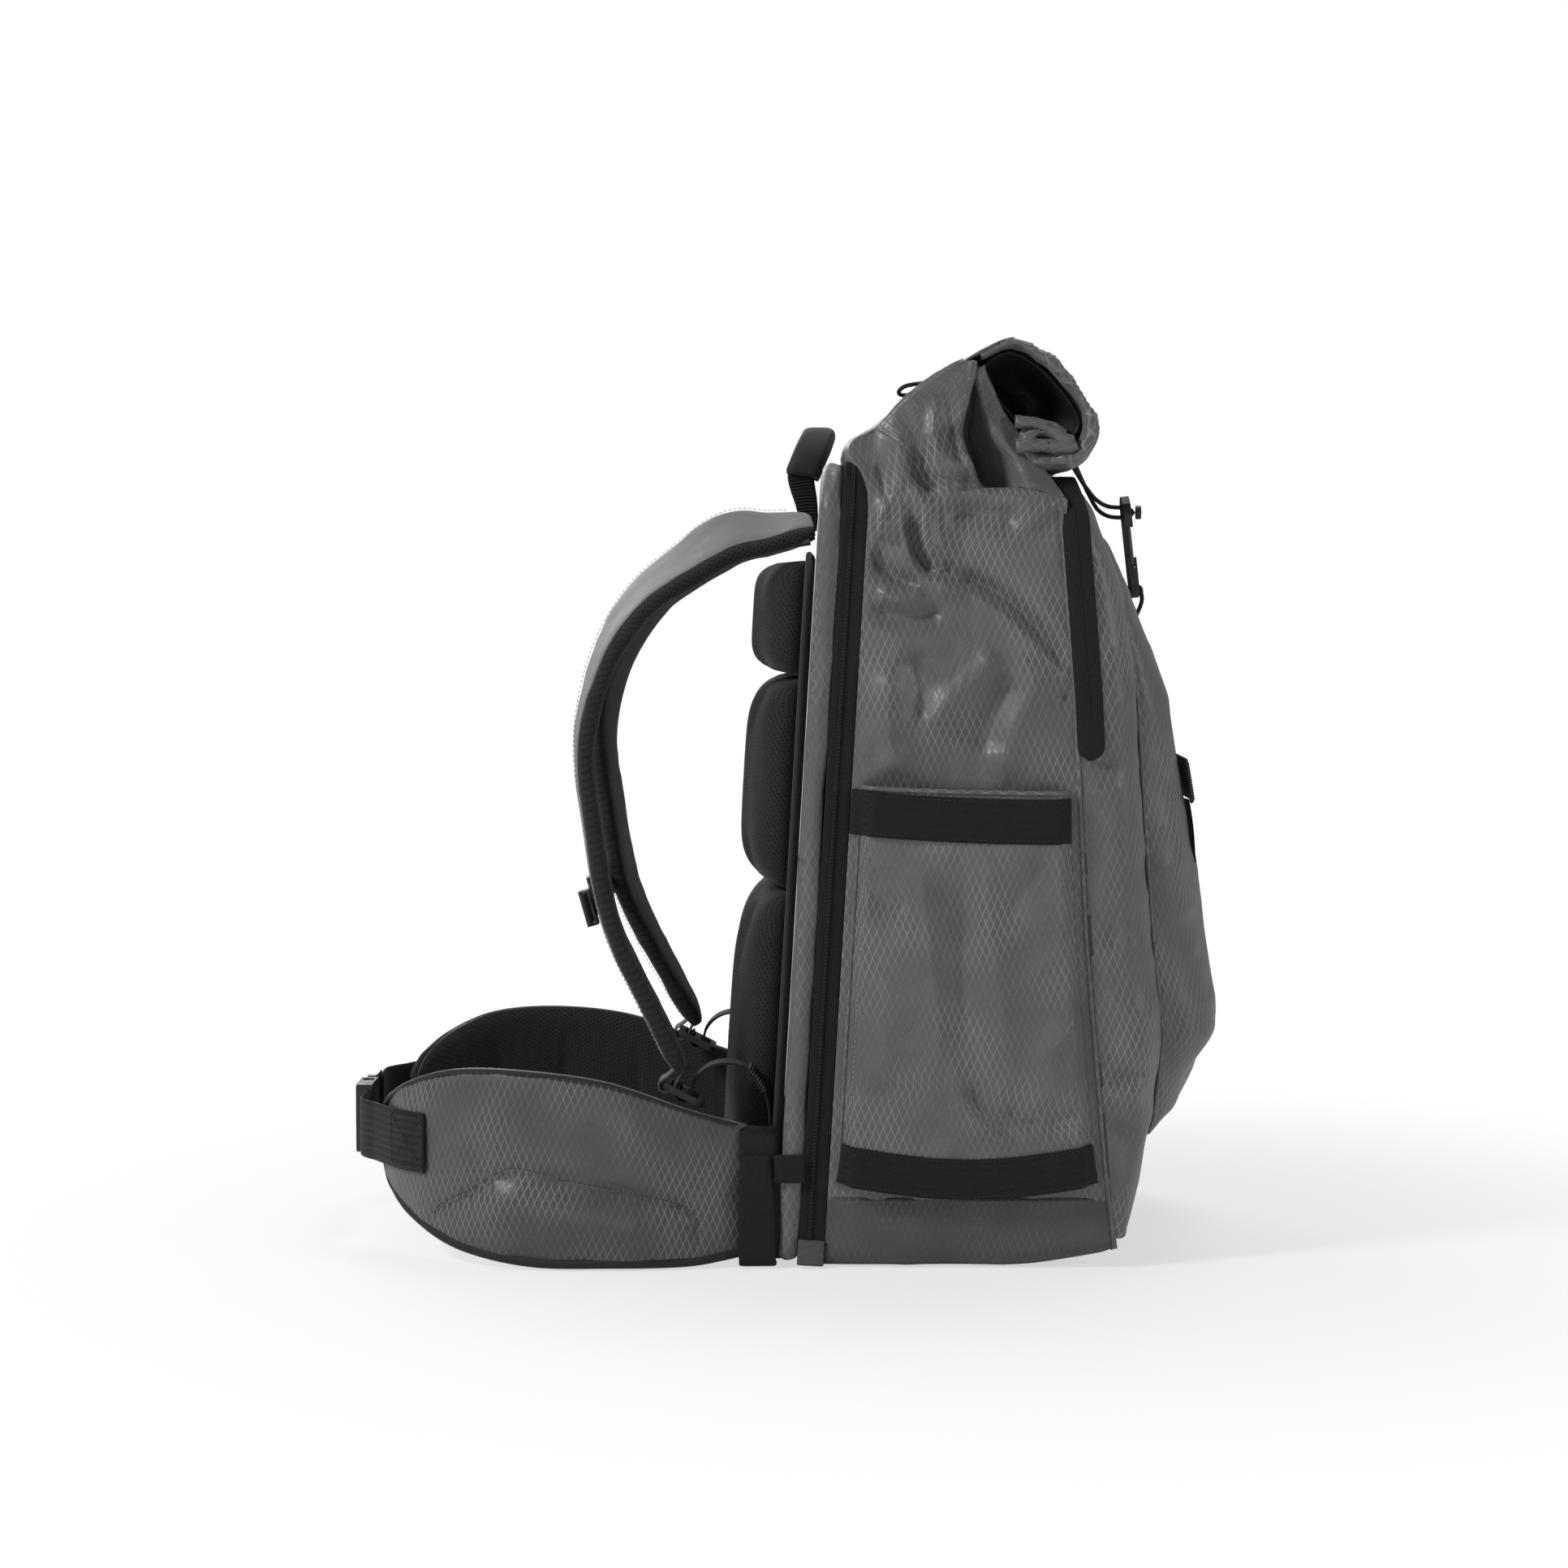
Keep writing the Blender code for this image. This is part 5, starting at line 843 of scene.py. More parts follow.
FINISHES = {
    "ripstop": ripstop,
    "ripstop_boot": lambda name: ripstop(name, turned=True, lighter=0.62, shown=0.25),
    "ripstop_door": lambda name: ripstop(name, shown=0.6),
    "ripstop_wing": lambda name: ripstop(name, turned=True, lighter=0.66, shown=0.8),
    "strap_cloth": strap_cloth,
    "webbing": webbing,
    "grey_webbing": lambda name: webbing(name, 15.0),
    "ribbed": ribbed,
    "air_mesh": air_mesh,
    "zip": zip_tape,
    "grip_cloth": soft_black,
    "cord": cord_cover,
    "lining": lambda name: liner(name, (0.045, 0.045, 0.047)),
    # Near black lining for the sheets in the roll's open ends: painted shade
    "dark_lining": lambda name: liner(name, (0.006, 0.006, 0.006)),
    "plastic": lambda name: moulded(name, colours().plastic, 0.40),
    "sheet_plastic": lambda name: moulded(name, (0.35, 0.35, 0.36), 0.5),
    "dark_metal": lambda name: moulded(name, (0.10, 0.10, 0.105), 0.34, 1.0),
    "aluminium": lambda name: moulded(name, (0.55, 0.55, 0.56), 0.34, 1.0),
    "grey_thread": lambda name: thread(name, 0.34),
    "black_thread": lambda name: thread(name, 0.03),
}


def finish(name):
    """A finish by name, made the first time that it is asked for."""
    made = "made_" + name
    return bpy.data.materials.get(made) or FINISHES[name](made)


# The body of the pack
SIDE_CELLS = (100, 210)
NECK_FOOT = 0.478


def side_rows():
    """The rows of five places that the near side runs through, each as one run of numbers."""
    rows = []
    for z in PANEL_LEVELS:
        back, front = rim_x(z), float(seam_x(z))
        rows.append([(back + (front - back) * share, 0, z) for share in SIDE_SHARES])
    return np.array(rows + [list(row) for row in NECK_ROWS]).reshape(len(PANEL_LEVELS) + len(NECK_ROWS), 15)


def side_place(across, along):
    """The wearer's left side of the pack, from the boot to the roll."""
    knots = smooth_run(side_rows(), along).reshape(-1, 5, 3)
    left = np.searchsorted(SIDE_SHARES[1:-1], across, side="right")
    marks = np.array(SIDE_SHARES)
    t = ((across - marks[left]) / (marks[left + 1] - marks[left]))[:, None]
    row = np.arange(len(across))
    point = knots[row, left] * (1 - t) + knots[row, left + 1] * t
    return np.stack([point[:, 0], point[:, 1] - HALF, point[:, 2]], -1)


def neck_start():
    """The first grid row of the side that belongs to the neck's open sheets."""
    along = np.linspace(0, 1, SIDE_CELLS[1] + 1)
    z = side_place(np.zeros(len(along)), along)[:, 2]
    return int(np.argmax(z > 0.484))


def sheet_place(edge, bulge):
    """The neck's back or front sheet, between the sides' edges."""
    first = neck_start() / SIDE_CELLS[1]

    def place(across, along):
        rows = first + along * (1 - first)
        left = side_place(np.full(len(rows), float(edge)), rows)
        wave = np.sin(math.pi * across)
        y = left[:, 1] * (1 - 2 * across)
        sag = 0.004 * wave * smooth_step(along, 0.2, 0.8)
        return np.stack([left[:, 0] + bulge * wave * np.sin(math.pi * along), y, left[:, 2] - sag], -1)

    return place


def join(shell, other):
    """Adds another bmesh to the shell and frees it."""
    part = bpy.data.meshes.new("part")
    other.to_mesh(part)
    other.free()
    shell.from_mesh(part)
    bpy.data.meshes.remove(part)


def inner(bm):
    """The vertices that aren't on a border."""
    return [vert for vert in bm.verts if not vert.is_boundary]


def relax(bm, verts, times=1):
    """Evens out these vertices, each towards the middle of its neighbours."""
    for _ in range(times):
        bmesh.ops.smooth_vert(bm, verts=verts, factor=0.5, use_axis_x=True, use_axis_y=True, use_axis_z=True)
    bm.normal_update()


def make_shell():
    """Side panels and neck as one skin, with the folds that the rolled top presses into them."""
    shell = patch(side_place, SIDE_CELLS)
    for edge, bulge in ((0, -0.003), (1, 0.004)):
        join(shell, patch(sheet_place(edge, bulge), (90, SIDE_CELLS[1] - neck_start())))
    join(shell, patch(lambda u, v: side_place(u, v) * (1, -1, 1), SIDE_CELLS))
    bmesh.ops.remove_doubles(shell, verts=shell.verts, dist=2e-5)
    face_out(shell, (0, 0, 0.3))
    relax(shell, [vert for vert in inner(shell) if vert.co.z > NECK_FOOT])
    places = places_of(shell)
    x, y, z = places.T
    near = smooth_step(np.abs(y), 0.12, 0.145)
    panel = smooth_step(z, HEM - 0.004, HEM + 0.025)
    edge = np.minimum(x - rim_x(z), seam_x(np.minimum(z, NECK_FOOT)) - x)
    keep = smooth_step(edge, 0.0, 0.008)
    keep[z > NECK_FOOT] = np.maximum(keep[z > NECK_FOOT], 0.35)
    drawn = folds(places, SIDE_FOLDS)
    other = folds(places + (0.006, 0, -0.010), SIDE_FOLDS)
    moves = np.where(y < 0, drawn, other * 0.8) * near * panel * keep
    puff = 0.0030 * np.sin(math.pi * np.clip(edge / 0.06, 0, 1)) * panel * near
    low = smooth_step(z, 0.30, 0.36)
    crumple = creases(places, 0.030, 0.0007, 1) + swells(places, 0.055, 0.0018, 2) * low
    moves += puff + crumple * panel * keep
    neck = smooth_step(z, 0.484, 0.505)
    crumple = creases(places * (1, 1, 0.5), 0.022, 0.0010, 3) + swells(places * (1, 1, 0.4), 0.030, 0.0016, 4)
    moves += crumple * neck * 0.8
    push(shell, moves)
    skin = BVHTree.FromBMesh(shell)
    add_piece("side_panels_and_neck", shell, ("ripstop", "lining"), "pack", ("main_body", "neck_sleeve"),
              ready=True, wall=0.0012)
    z = np.linspace(0.012, 0.472, 120)
    for sign, name in ((-1, "left"), (1, "right")):
        seam = np.stack([seam_x(z) + 0.0002, np.full(120, sign * (HALF + 0.0001)), z], -1)
        add_piece("front_seam_" + name, tube(seam, 0.0014), "ripstop", "pack")
        lines = [on_skin(skin, points, sign) for points in SIDE_STITCHES]
        sew("side_stitches_" + name, lines, "grey_thread", "pack", radius=0.00026)
        points, outward = on_skin(skin, YOKE, sign)
        add_piece("yoke_seam_" + name, tube(points + outward * 0.0003, 0.0015), "ripstop", "pack")
        sew("yoke_stitches_" + name, [(points + outward * 0.0016, outward)], "grey_thread", "pack",
            radius=0.0003)


def on_skin(skin, points, sign):
    """A line drawn as (x, z) places, laid on the skin as seen from one side, with the skin's normals."""
    run = smooth_run([(x / 1000, 0, z / 1000) for x, z in points], 60)
    found = [skin.ray_cast(Vector((x, sign * 0.4, z)), Vector((0, -sign, 0)), 0.36) for x, _, z in run]
    kept = [(hit[0], hit[1]) for hit in found if hit[0]]
    return np.array([spot[:] for spot, _ in kept]), np.array([normal[:] for _, normal in kept])


def boot_place(across, along):
    """The boot: a padded tray, left wall, floor and right wall."""
    turn = 0.010
    marks = np.array((0, BOOT - turn, BOOT - turn + turn * math.pi / 2))
    total = 2 * marks[-1] + 2 * (HALF - turn)
    s = across * total
    s = np.minimum(s, total - s)
    sign = np.where(across < 0.5, -1.0, 1.0)
    angle = np.clip((s - marks[1]) / turn, 0, math.pi / 2)
    y = HALF - turn + turn * np.cos(angle) - np.maximum(0, s - marks[2])
    z = np.where(s < marks[1], BOOT - s, turn - turn * np.sin(angle))
    x = rim_x(z) + (seam_x(z) - rim_x(z)) * along
    z = z + 0.0105 * np.clip((x - 0.020) / 0.072, 0, 1) ** 1.7 * (1 - z / BOOT)
    return np.stack([x, sign * y, z], -1)


def wall_across(levels, heights, gap, narrower, cells):
    """An upright sheet across the pack, this far behind its front seams; levels and heights are (foot, rise)."""
    def place(u, v):
        seam = seam_x(levels[0] + levels[1] * v)
        return np.stack([seam - gap, (u - 0.5) * (2 * HALF - narrower), heights[0] + heights[1] * v], -1)

    return patch(place, cells)


def make_boot():
    """The boot, its low wall in front and the divider behind the front compartment."""
    boot = patch(boot_place, (150, 60))
    face_out(boot, (0, 0, 0.05))
    places = places_of(boot)
    x, y, z = places.T
    wall = smooth_step(np.abs(y), HALF - 0.012, HALF - 0.002)
    belly = np.sin(math.pi * np.clip(z / BOOT, 0, 1)) * 0.0016
    ends = smooth_step(np.minimum(x - rim_x(z), seam_x(z) - x), 0, 0.01)
    crumple = belly + creases(places, 0.040, 0.0006, 6) + swells(places, 0.03, 0.0008, 5)
    push(boot, crumple * wall * ends)
    piece = add_piece("boot", boot, ("ripstop_boot", "lining"), "pack", "bottom_panel", ready=True,
                      wall=0.0028)
    front = wall_across((0.010, 0.034), (0.0105, 0.0325), 0.0012, 0.006, (60, 8))
    add_piece("boot_front", front, ("ripstop_boot", "lining"), "pack", inside=(0, 0, 0.03), wall=0.0012)
    divider = wall_across((0.046, 0.430), (0.046, 0.430), 0.0035, 0.008, (40, 60))
    face_out(divider, (0, 0, 0.25))
    push(divider, swells(places_of(divider), 0.05, 0.0010, 7))
    piece = add_piece("divider", divider, ("lining", "lining"), "pack", ready=True, wall=0.0012)
    say_sheet(piece)


# Front compartment and pocket
def plan_share(across, edge, straight):
    """How much depth is kept, and how far across, on the way round a bulging front."""
    side, bend = edge * 0.30, 0.24
    s = np.minimum(across, 1 - across) * 2
    side_end, bend_end = side * 0.5, side * 0.5 + bend * 0.6
    angle = np.clip((s - side_end) / (bend_end - side_end), 0, 1) * math.pi / 2
    keep = np.where(s < side_end, edge * s / side_end, edge + (1 - edge) * np.sin(angle))
    reach = np.where(s < bend_end, straight + (1 - straight) * np.cos(angle),
                     straight * (1 - s) / (1 - bend_end))
    return keep, reach * np.where(across < 0.5, -1.0, 1.0)


def profile_place(back, rows, half, corner, edge, straight):
    """A bulging front: rows of height and depth, round top corners, closed above and below."""
    heights = np.array([rows[0][0]] + [z for z, _ in rows] + [rows[-1][0]])
    depths = np.array([0.0] + [d for _, d in rows] + [0.0])
    travel = np.r_[0, np.cumsum(np.hypot(np.diff(heights), np.diff(depths)))]
    turn = rows[-1][0] - corner

    def place(across, along):
        keep, reach = plan_share(across, edge, straight)
        level = np.interp(along * travel[-1], travel, heights)
        depth = np.interp(along * travel[-1], travel, depths)
        over = np.clip((np.abs(reach) * half - (half - corner)) / corner, 0, 1)
        squeeze = np.maximum(0.04, np.sqrt(1 - over**2))
        z = np.where(level > turn, turn + (level - turn) * squeeze, level)
        return np.stack([back(z) + depth * keep, reach * half, z], -1)

    return place


def compartment_x(z):
    """The compartment's face at a height."""
    return seam_x(z) + 0.0003 + np.interp(z, *zip(*COMPARTMENT))


def pocket_x(z, share=0.0):
    """The pocket's face at a height, this far towards its sides."""
    reach = np.clip((np.abs(share) - 0.55) / 0.45, 0, 1)
    keep = 0.12 + 0.88 * np.sqrt(1 - reach**2)
    return compartment_x(z) + 0.0003 + np.interp(z, *zip(*POCKET)) * keep


def make_front():
    """The front compartment and the pocket on it, both sagging a little, with piped seams."""
    place = profile_place(lambda z: seam_x(z) + 0.0003, COMPARTMENT, HALF, 0.034, 0.52, 0.76)
    face = patch(place, (170, 190))
    face_out(face, (0.06, 0, 0.25))
    relax(face, inner(face), 3)
    places = places_of(face)
    x, y, z = places.T
    out = smooth_step(x - seam_x(z), 0.002, 0.012)
    side = smooth_step(np.abs(y), 0.125, 0.145)
    middle = 1 - smooth_step(np.abs(y), 0.10, 0.12)
    covered = middle * smooth_step(z, 0.085, 0.10) * (1 - smooth_step(z, 0.435, 0.455))
    moves = folds(places, COMPARTMENT_FOLDS) * side
    moves += (swells(places, 0.060, 0.0030, 8) + creases(places, 0.034, 0.0009, 9)) * (1 - covered)
    ruffle = 0.0015 * np.sin(z / 0.007 + 3 * swells(places, 0.03, 1, 3))
    moves += ruffle * np.exp(-((x - seam_x(z)) / 0.010) ** 2) * side
    push(face, moves * out - covered * 0.0015)
    bmesh.ops.holes_fill(face, edges=[edge for edge in face.edges if edge.is_boundary], sides=0)
    add_piece("front_compartment_skin", face, "ripstop", "pack", "front_compartment")

    place = profile_place(lambda z: compartment_x(z) + 0.0003, POCKET, 0.114, 0.030, 0.12, 0.55)
    pocket = patch(place, (150, 170))
    face_out(pocket, (0.09, 0, 0.25))
    relax(pocket, inner(pocket), 4)
    places = places_of(pocket)
    x, y, z = places.T
    out = smooth_step(x - compartment_x(z), 0.001, 0.010)
    drape = folds(places, FRONT_FOLDS, axes=(1, 2))
    belt = np.exp(-((z - 0.299) / 0.016) ** 2) * (1 - smooth_step(np.abs(y), 0.080, 0.095))
    moves = drape + swells(places, 0.055, 0.0026, 10) + creases(places, 0.030, 0.0009, 11)
    push(pocket, moves * out * (1 - 0.8 * belt) - 0.0018 * out)
    bmesh.ops.holes_fill(pocket, edges=[edge for edge in pocket.edges if edge.is_boundary], sides=0)
    add_piece("front_pocket_skin", pocket, "ripstop", "pack", "front_pocket")

    rim = rounded_door(0.1145, 0.0785, 0.4565, 0.030, 0.012)
    line = np.array([(float(compartment_x(z)) + 0.0012, y, z) for y, z in rim])
    add_piece("pocket_piping", tube(line, 0.0013), "ripstop", "pack")


def rounded_door(half, foot, top, corner, foot_corner=0.004, step=0.004):
    """A closed outline (y, w) round a door shape, starting at the middle of its foot, going left."""
    corners = ((-1, foot + foot_corner, foot_corner, -90), (-1, top - corner, corner, 180),
               (1, top - corner, corner, 90), (1, foot + foot_corner, foot_corner, 0))
    points = [(0.0, foot)]
    for side, centre, radius, start in corners:
        for turn in range(13):
            angle = math.radians(start - turn * 7.5)
            y = side * (half - radius) + radius * math.cos(angle)
            points.append((y, centre + radius * math.sin(angle)))
    points.append((0.0, foot))
    points = np.array(points)
    travel = np.r_[0, np.cumsum(np.linalg.norm(np.diff(points, axis=0), axis=1))]
    marks = np.linspace(0, travel[-1], int(travel[-1] / step) + 1)
    return np.stack([np.interp(marks, travel, column) for column in points.T], -1)


# Side pockets, whose bands are given as a level, a foot, a top and how far their middle hangs
POCKET_BANDS = (("upper", 0.2645, 0.2925, 0.0), ("lower", 0.0490, 0.0745, 0.0045))
POCKET_FOOT = 0.047


def side_pocket_place(sign):
    """A patch pocket's outer face: s from back to front, t from foot to hem."""
    def place(s, t):
        foot_z = 0.0515 - 0.0045 * np.sin(math.pi * s)
        z = foot_z + (HEM - foot_z) * t
        back, front = rim_x(z) + 0.006, seam_x(z) - 0.006
        x = back + (front - back) * s
        edge = smooth_step(np.minimum(s, 1 - s), 0.0, 0.055)
        foot = smooth_step(t, 0.0, 0.04)
        out = 0.0008 + 0.0088 * edge * foot
        flat = np.stack([x, np.zeros(len(x)), z], -1)
        drawn = folds(flat if sign < 0 else flat + (0.004, 0, 0.012), POCKET_FOLDS)
        open_part = smooth_step(t, 0.09, 0.16) * (1 - smooth_step(t, 0.84, 0.90))
        soft = swells(flat, 0.045, 0.0012, 12) + creases(flat, 0.028, 0.0006, 13)
        belly = 0.0022 * np.sin(math.pi * s) * np.sin(math.pi * t)
        out = out + (drawn * open_part * edge * 0.85 + soft * edge + belly) * foot
        z = z + 0.0035 * (1 - s) ** 2 * smooth_step(t, 0.85, 1.0)
        return np.stack([x, sign * (HALF + 0.0004 + out), z], -1)

    return place


def make_side_pockets():
    """Both side pockets with their webbing bands, stitches and hems."""
    for sign, side in ((-1, "left"), (1, "right")):
        place = side_pocket_place(sign)
        cloth = patch(place, (90, 150))
        piece = add_piece("side_pocket_skin_" + side, cloth, ("ripstop", "lining"), "pack",
                          "side_pocket_" + side, inside=(0, 0, 0.17), wall=0.0010)
        say_sheet(piece)
        for level, low, high, drop in POCKET_BANDS:
            t = ((low + high) / 2 - POCKET_FOOT) / (HEM - POCKET_FOOT)
            s = np.linspace(0.0, 1.0, 60)
            path = place(s, np.full(60, t)) + (0, sign * 0.0012, 0)
            path[:, 1] = sign * np.maximum(np.abs(path[:, 1]), HALF + 0.0035)
            path[:, 2] += 0.0035 * (1 - s) ** 2 * (level == "upper") - drop * np.sin(math.pi * s)
            if level == "upper":
                start = path[0] + np.array(((-0.0055, -sign * 0.0015, 0.0004),
                                            (-0.003, -sign * 0.0008, 0.0002)))
                path = np.vstack([start, path])
            band = sweep(path, (0, 0, 1), high - low, 0.0016, 24, square=14)
            add_piece(f"{level}_band_{side}", band, "webbing", "pack", f"pocket_band_{level}_{side}")
            lines = []
            for share in (-0.42, 0.42):
                line = path[2:] + (0, sign * 0.0009, share * (high - low))
                lines.append((line, (0, sign, 0)))
            sew(f"{level}_band_stitches_{side}", lines, "black_thread", "pack", radius=0.00028)
        t = np.linspace(0.02, 0.995, 80)
        edge_line = place(np.full(80, 0.035), t) + (0, sign * 0.0002, 0)
        sew("pocket_edge_stitches_" + side, [(edge_line, (0, sign, 0))], "grey_thread", "pack",
            radius=0.00030)
        hem = place(np.linspace(0, 1, 60), np.full(60, 1.0)) + (0, -sign * 0.0004, 0.0006)
        add_piece("pocket_hem_" + side, tube(hem, 0.0016), "ripstop", "pack")
        back_edge = place(np.zeros(60), np.linspace(0, 1, 60))
        add_piece("pocket_edge_" + side, tube(back_edge, 0.0013), "ripstop", "pack")


# The roll's two sewn tongues as (x, z) places and a thickness, then the way round its open ends
TONGUES = (
    (((0.0285, 0.5245), (0.0385, 0.5240), (0.0480, 0.5205), (0.0560, 0.5150), (0.0640, 0.5125)), 0.0075),
    (((0.0290, 0.5095), (0.0400, 0.5098), (0.0510, 0.5092), (0.0600, 0.5090), (0.0660, 0.5110)), 0.0085),
)
MOUTH = ((0.006, 0.553), (0.014, 0.563), (0.027, 0.567), (0.044, 0.557), (0.058, 0.542), (0.067, 0.528),
         (0.067, 0.519), (0.060, 0.514), (0.050, 0.5125), (0.040, 0.5135), (0.034, 0.520), (0.022, 0.534))
MOUTH_MIDDLE = (0.036, 0.541)


def make_roll():
    """The rolled mouth: doubled cloth over the crest and back under itself, with its two sewn tongues."""
    rows = smooth_run(ROLL, 130)
    path = rows[:, :3]
    band = sweep(path, (0, 1, 0), 0.2895, rows[:, 3] + 0.0006, 260, square=40)
    face_out(band)
    places = places_of(band)
    x, y, z = places.T
    ends = smooth_step(np.abs(y), 0.085, 0.142)
    flat = places * (1, 0.6, 1)
    ripple = (creases(flat, 0.017, 0.0012, 14) + swells(flat, 0.026, 0.0018, 15)) * (0.35 + 0.75 * ends)
    lip = smooth_step(np.abs(y), 0.1435, 0.1447)
    ripple += (swells(places, 0.009, 0.0022, 16) + 0.0008) * lip
    start = smooth_step(x + z, 0.575, 0.590)
    push(band, ripple * np.where(z > 0.53, start, 1))
    piece = add_piece("roll_cloth", band, "ripstop", "roll", "roll_top", ready=True)
    skin = BVHTree.FromPolygons([vert.co[:] for vert in piece.data.vertices],
                                [face.vertices[:] for face in piece.data.polygons])
    for number, (points, thick) in enumerate(TONGUES):
        for sign, side in ((-1, "left"), (1, "right")):
            run = smooth_run([(px, sign * 0.1335, pz) for px, pz in points], 40)
            tongue = sweep(run, (0, 1, 0), 0.0285, thick, 36, square=9)
            face_out(tongue)
            push(tongue, swells(places_of(tongue), 0.010, 0.0013, 30 + number))
            add_piece(f"roll_tongue_{side}_{number}", tongue, "ripstop", "roll")
            _, up, _ = path_frames(run, np.array((0.0, 1, 0)))
            edge = run + up * (thick * 0.47) - (0, -sign * 0.0125, 0)
            down = np.array([run[20] + up[20] * thick * k + (0, sign * 0.0142, 0) for k in (0.42, 0, -0.42)])
            sew(f"tongue_stitches_{side}_{number}",
                [(edge[1:24], (0, sign * 0.6, 0.8)), (down, (0, sign, 0))],
                "black_thread", "roll", pitch=0.0028)
    sheet = smooth_run([(-0.0150, 0, 0.5525), (-0.0070, 0, 0.5585), (0.0010, 0, 0.5640), (0.0100, 0, 0.5688),
                        (0.0200, 0, 0.5738), (0.0270, 0, 0.5752)], 40)
    cover = sweep(sheet, (0, 1, 0), 0.2880, 0.0012, 120, square=60)
    face_out(cover)
    push(cover, creases(places_of(cover), 0.02, 0.0006, 33))
    hinge = add_piece("roll_bend_cloth", cover, "ripstop", None, ready=True)
    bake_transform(hinge)
    # Near black sheets across the roll's open ends: painted shade where the roll is hollow
    centre = np.array(MOUTH_MIDDLE)
    loop = smooth_run([(x, 0, z) for x, z in MOUTH + MOUTH[:1]], 61)[:, (0, 2)]
    for sign, side in ((-1, "left"), (1, "right")):
        def place(across, along):
            """A fan of cloth from the middle of the roll's open end to its edge."""
            edge = loop[np.rint(across * 60).astype(int)]
            flat = centre + (edge - centre) * along[:, None]
            spots = np.stack([flat[:, 0], np.full(len(across), sign), flat[:, 1]], -1)
            depth = 0.098 + 0.036 * along**2 + swells(spots, 0.016, 0.010, 17) * (1 - along)
            return np.stack([flat[:, 0], sign * depth, flat[:, 1]], -1)

        fan = patch(place, (60, 20), wrap=True)
        add_piece("mouth_shade_sheet_" + side, fan, ("dark_lining", "dark_lining"), "roll",
                  inside=(0.036, 0, 0.54), wall=0.0008)
    lines = []
    _, out, _ = path_frames(path, np.array((0.0, 1, 0)))
    for sign in (-1, 1):
        for reach in (0.1405, 0.1448):
            marks = path[6:74] + (0, sign * reach, 0)
            found = [skin.find_nearest(Vector(spot + away * 0.004)) for spot, away in zip(marks, -out[6:74])]
            lines.append((np.array([hit[0][:] for hit in found]), np.array([hit[1][:] for hit in found])))
    sew("roll_edge_stitches", lines, "grey_thread", "roll", pitch=0.0040, radius=0.0003)


# Zips
def make_front_zip():
    """The front's zip band, up one side, over the top and down the other, with its ridge of teeth."""
    z = np.linspace(0.316, 0.456, 44)
    corner = np.radians(np.linspace(180, 90, 20))[1:]
    half, top, radius = HALF + 0.0012, 0.4905, 0.034
    left = [(-half, level) for level in z]
    left += [(radius - half + radius * math.cos(a), top - radius + radius * math.sin(a)) for a in corner]
    over = [(y, top) for y in np.linspace(radius - half, half - radius, 60)[1:-1]]
    outline = left + over + [(-y, level) for y, level in left[::-1]]
    path = np.array([(float(seam_x(level)) + 0.0086 - 0.20 * max(0, level - 0.466), y, level)
                     for y, level in outline])
    travel = np.r_[0, np.cumsum(np.linalg.norm(np.diff(path, axis=0), axis=1))]
    end = np.minimum(travel, travel[-1] - travel)
    width = 0.0172 * np.sqrt(np.clip(1 - (1 - np.clip(end / 0.009, 0, 1)) ** 2, 0.02, 1))
    add_piece("front_zip_band", sweep(path, (1, 0, 0), width, 0.0018, 28, square=10), "zip", "pack",
              "front_zip_tape")
    rise = 0.0007 - 0.0009 * smooth_step(path[:, 1], half - 0.012, half - 0.001)
    norm = np.stack([np.zeros(len(path)), path[:, 1], np.maximum(0, path[:, 2] - 0.456) * 6], -1)
    norm /= np.linalg.norm(norm, axis=1, keepdims=True)
    ridge = path + norm * rise[:, None]
    add_piece("front_zip_ridge", tube(ridge[8:-8], 0.0005), "zip", "pack")


def door_path(u, inset, foot, top, corner=0.035, step=0.004):
    """A line along the door's edge from the left foot over the top to the right foot."""
    outline = rounded_door(HALF - inset, foot, top, corner, 0.0005, step)
    outline = np.array([p for p in outline if abs(p[0]) > HALF - inset - 0.001 or p[1] > foot + 0.2])
    return on_back(np.full(len(outline), u), outline[:, 0], outline[:, 1])


def make_door_zip():
    """Both halves of the door's zip, their coils and the cloth at their feet."""
    side = (math.cos(LEAN), 0, -math.sin(LEAN))
    body = door_path(-0.0049, 0.0011, 0.001, RIM_HEIGHT)
    add_piece("body_zip_band", sweep(body, side, 0.0098, 0.0030, 24, square=8), "zip", "pack",
              "body_zip_tape")
    door = door_path(-0.0129, 0.0011, 0.004, RIM_HEIGHT - 0.004, 0.034)
    add_piece("door_zip_band", sweep(door, side, 0.0064, 0.0030, 24, square=8), "zip", "back_door",
              "door_zip_tape")
    for name, u, on, foot in (("body_zip_coil", -0.0092, "pack", 0.004),
                              ("door_zip_coil", -0.0102, "back_door", 0.006)):
        line = door_path(u, -0.0007, foot, RIM_HEIGHT - (0 if on == "pack" else 0.003), 0.035)
        add_piece(name, tube(line, 0.0007), "zip", on)
        out = line - line.mean(0)
        out[:, 0] = 0
        out[:, 2] = np.where(line[:, 2] > 0.46, out[:, 2], 0)
        out /= np.linalg.norm(out, axis=1, keepdims=True)
        sew(name + "_loops", [(line, out)], "black_thread", on, pitch=0.0022, radius=0.0005, cover=0.5,
            lift=0.0006)
    for sign, name in ((-1, "left"), (1, "right")):
        w = np.linspace(0.0008, 0.0165, 8)
        tab = on_back(np.full(8, -0.0085), np.full(8, sign * (HALF + 0.0012)), w)
        add_piece("zip_garage_" + name, sweep(tab, side, 0.0165, 0.0044, 20, square=4), "ripstop_boot",
                  "pack")


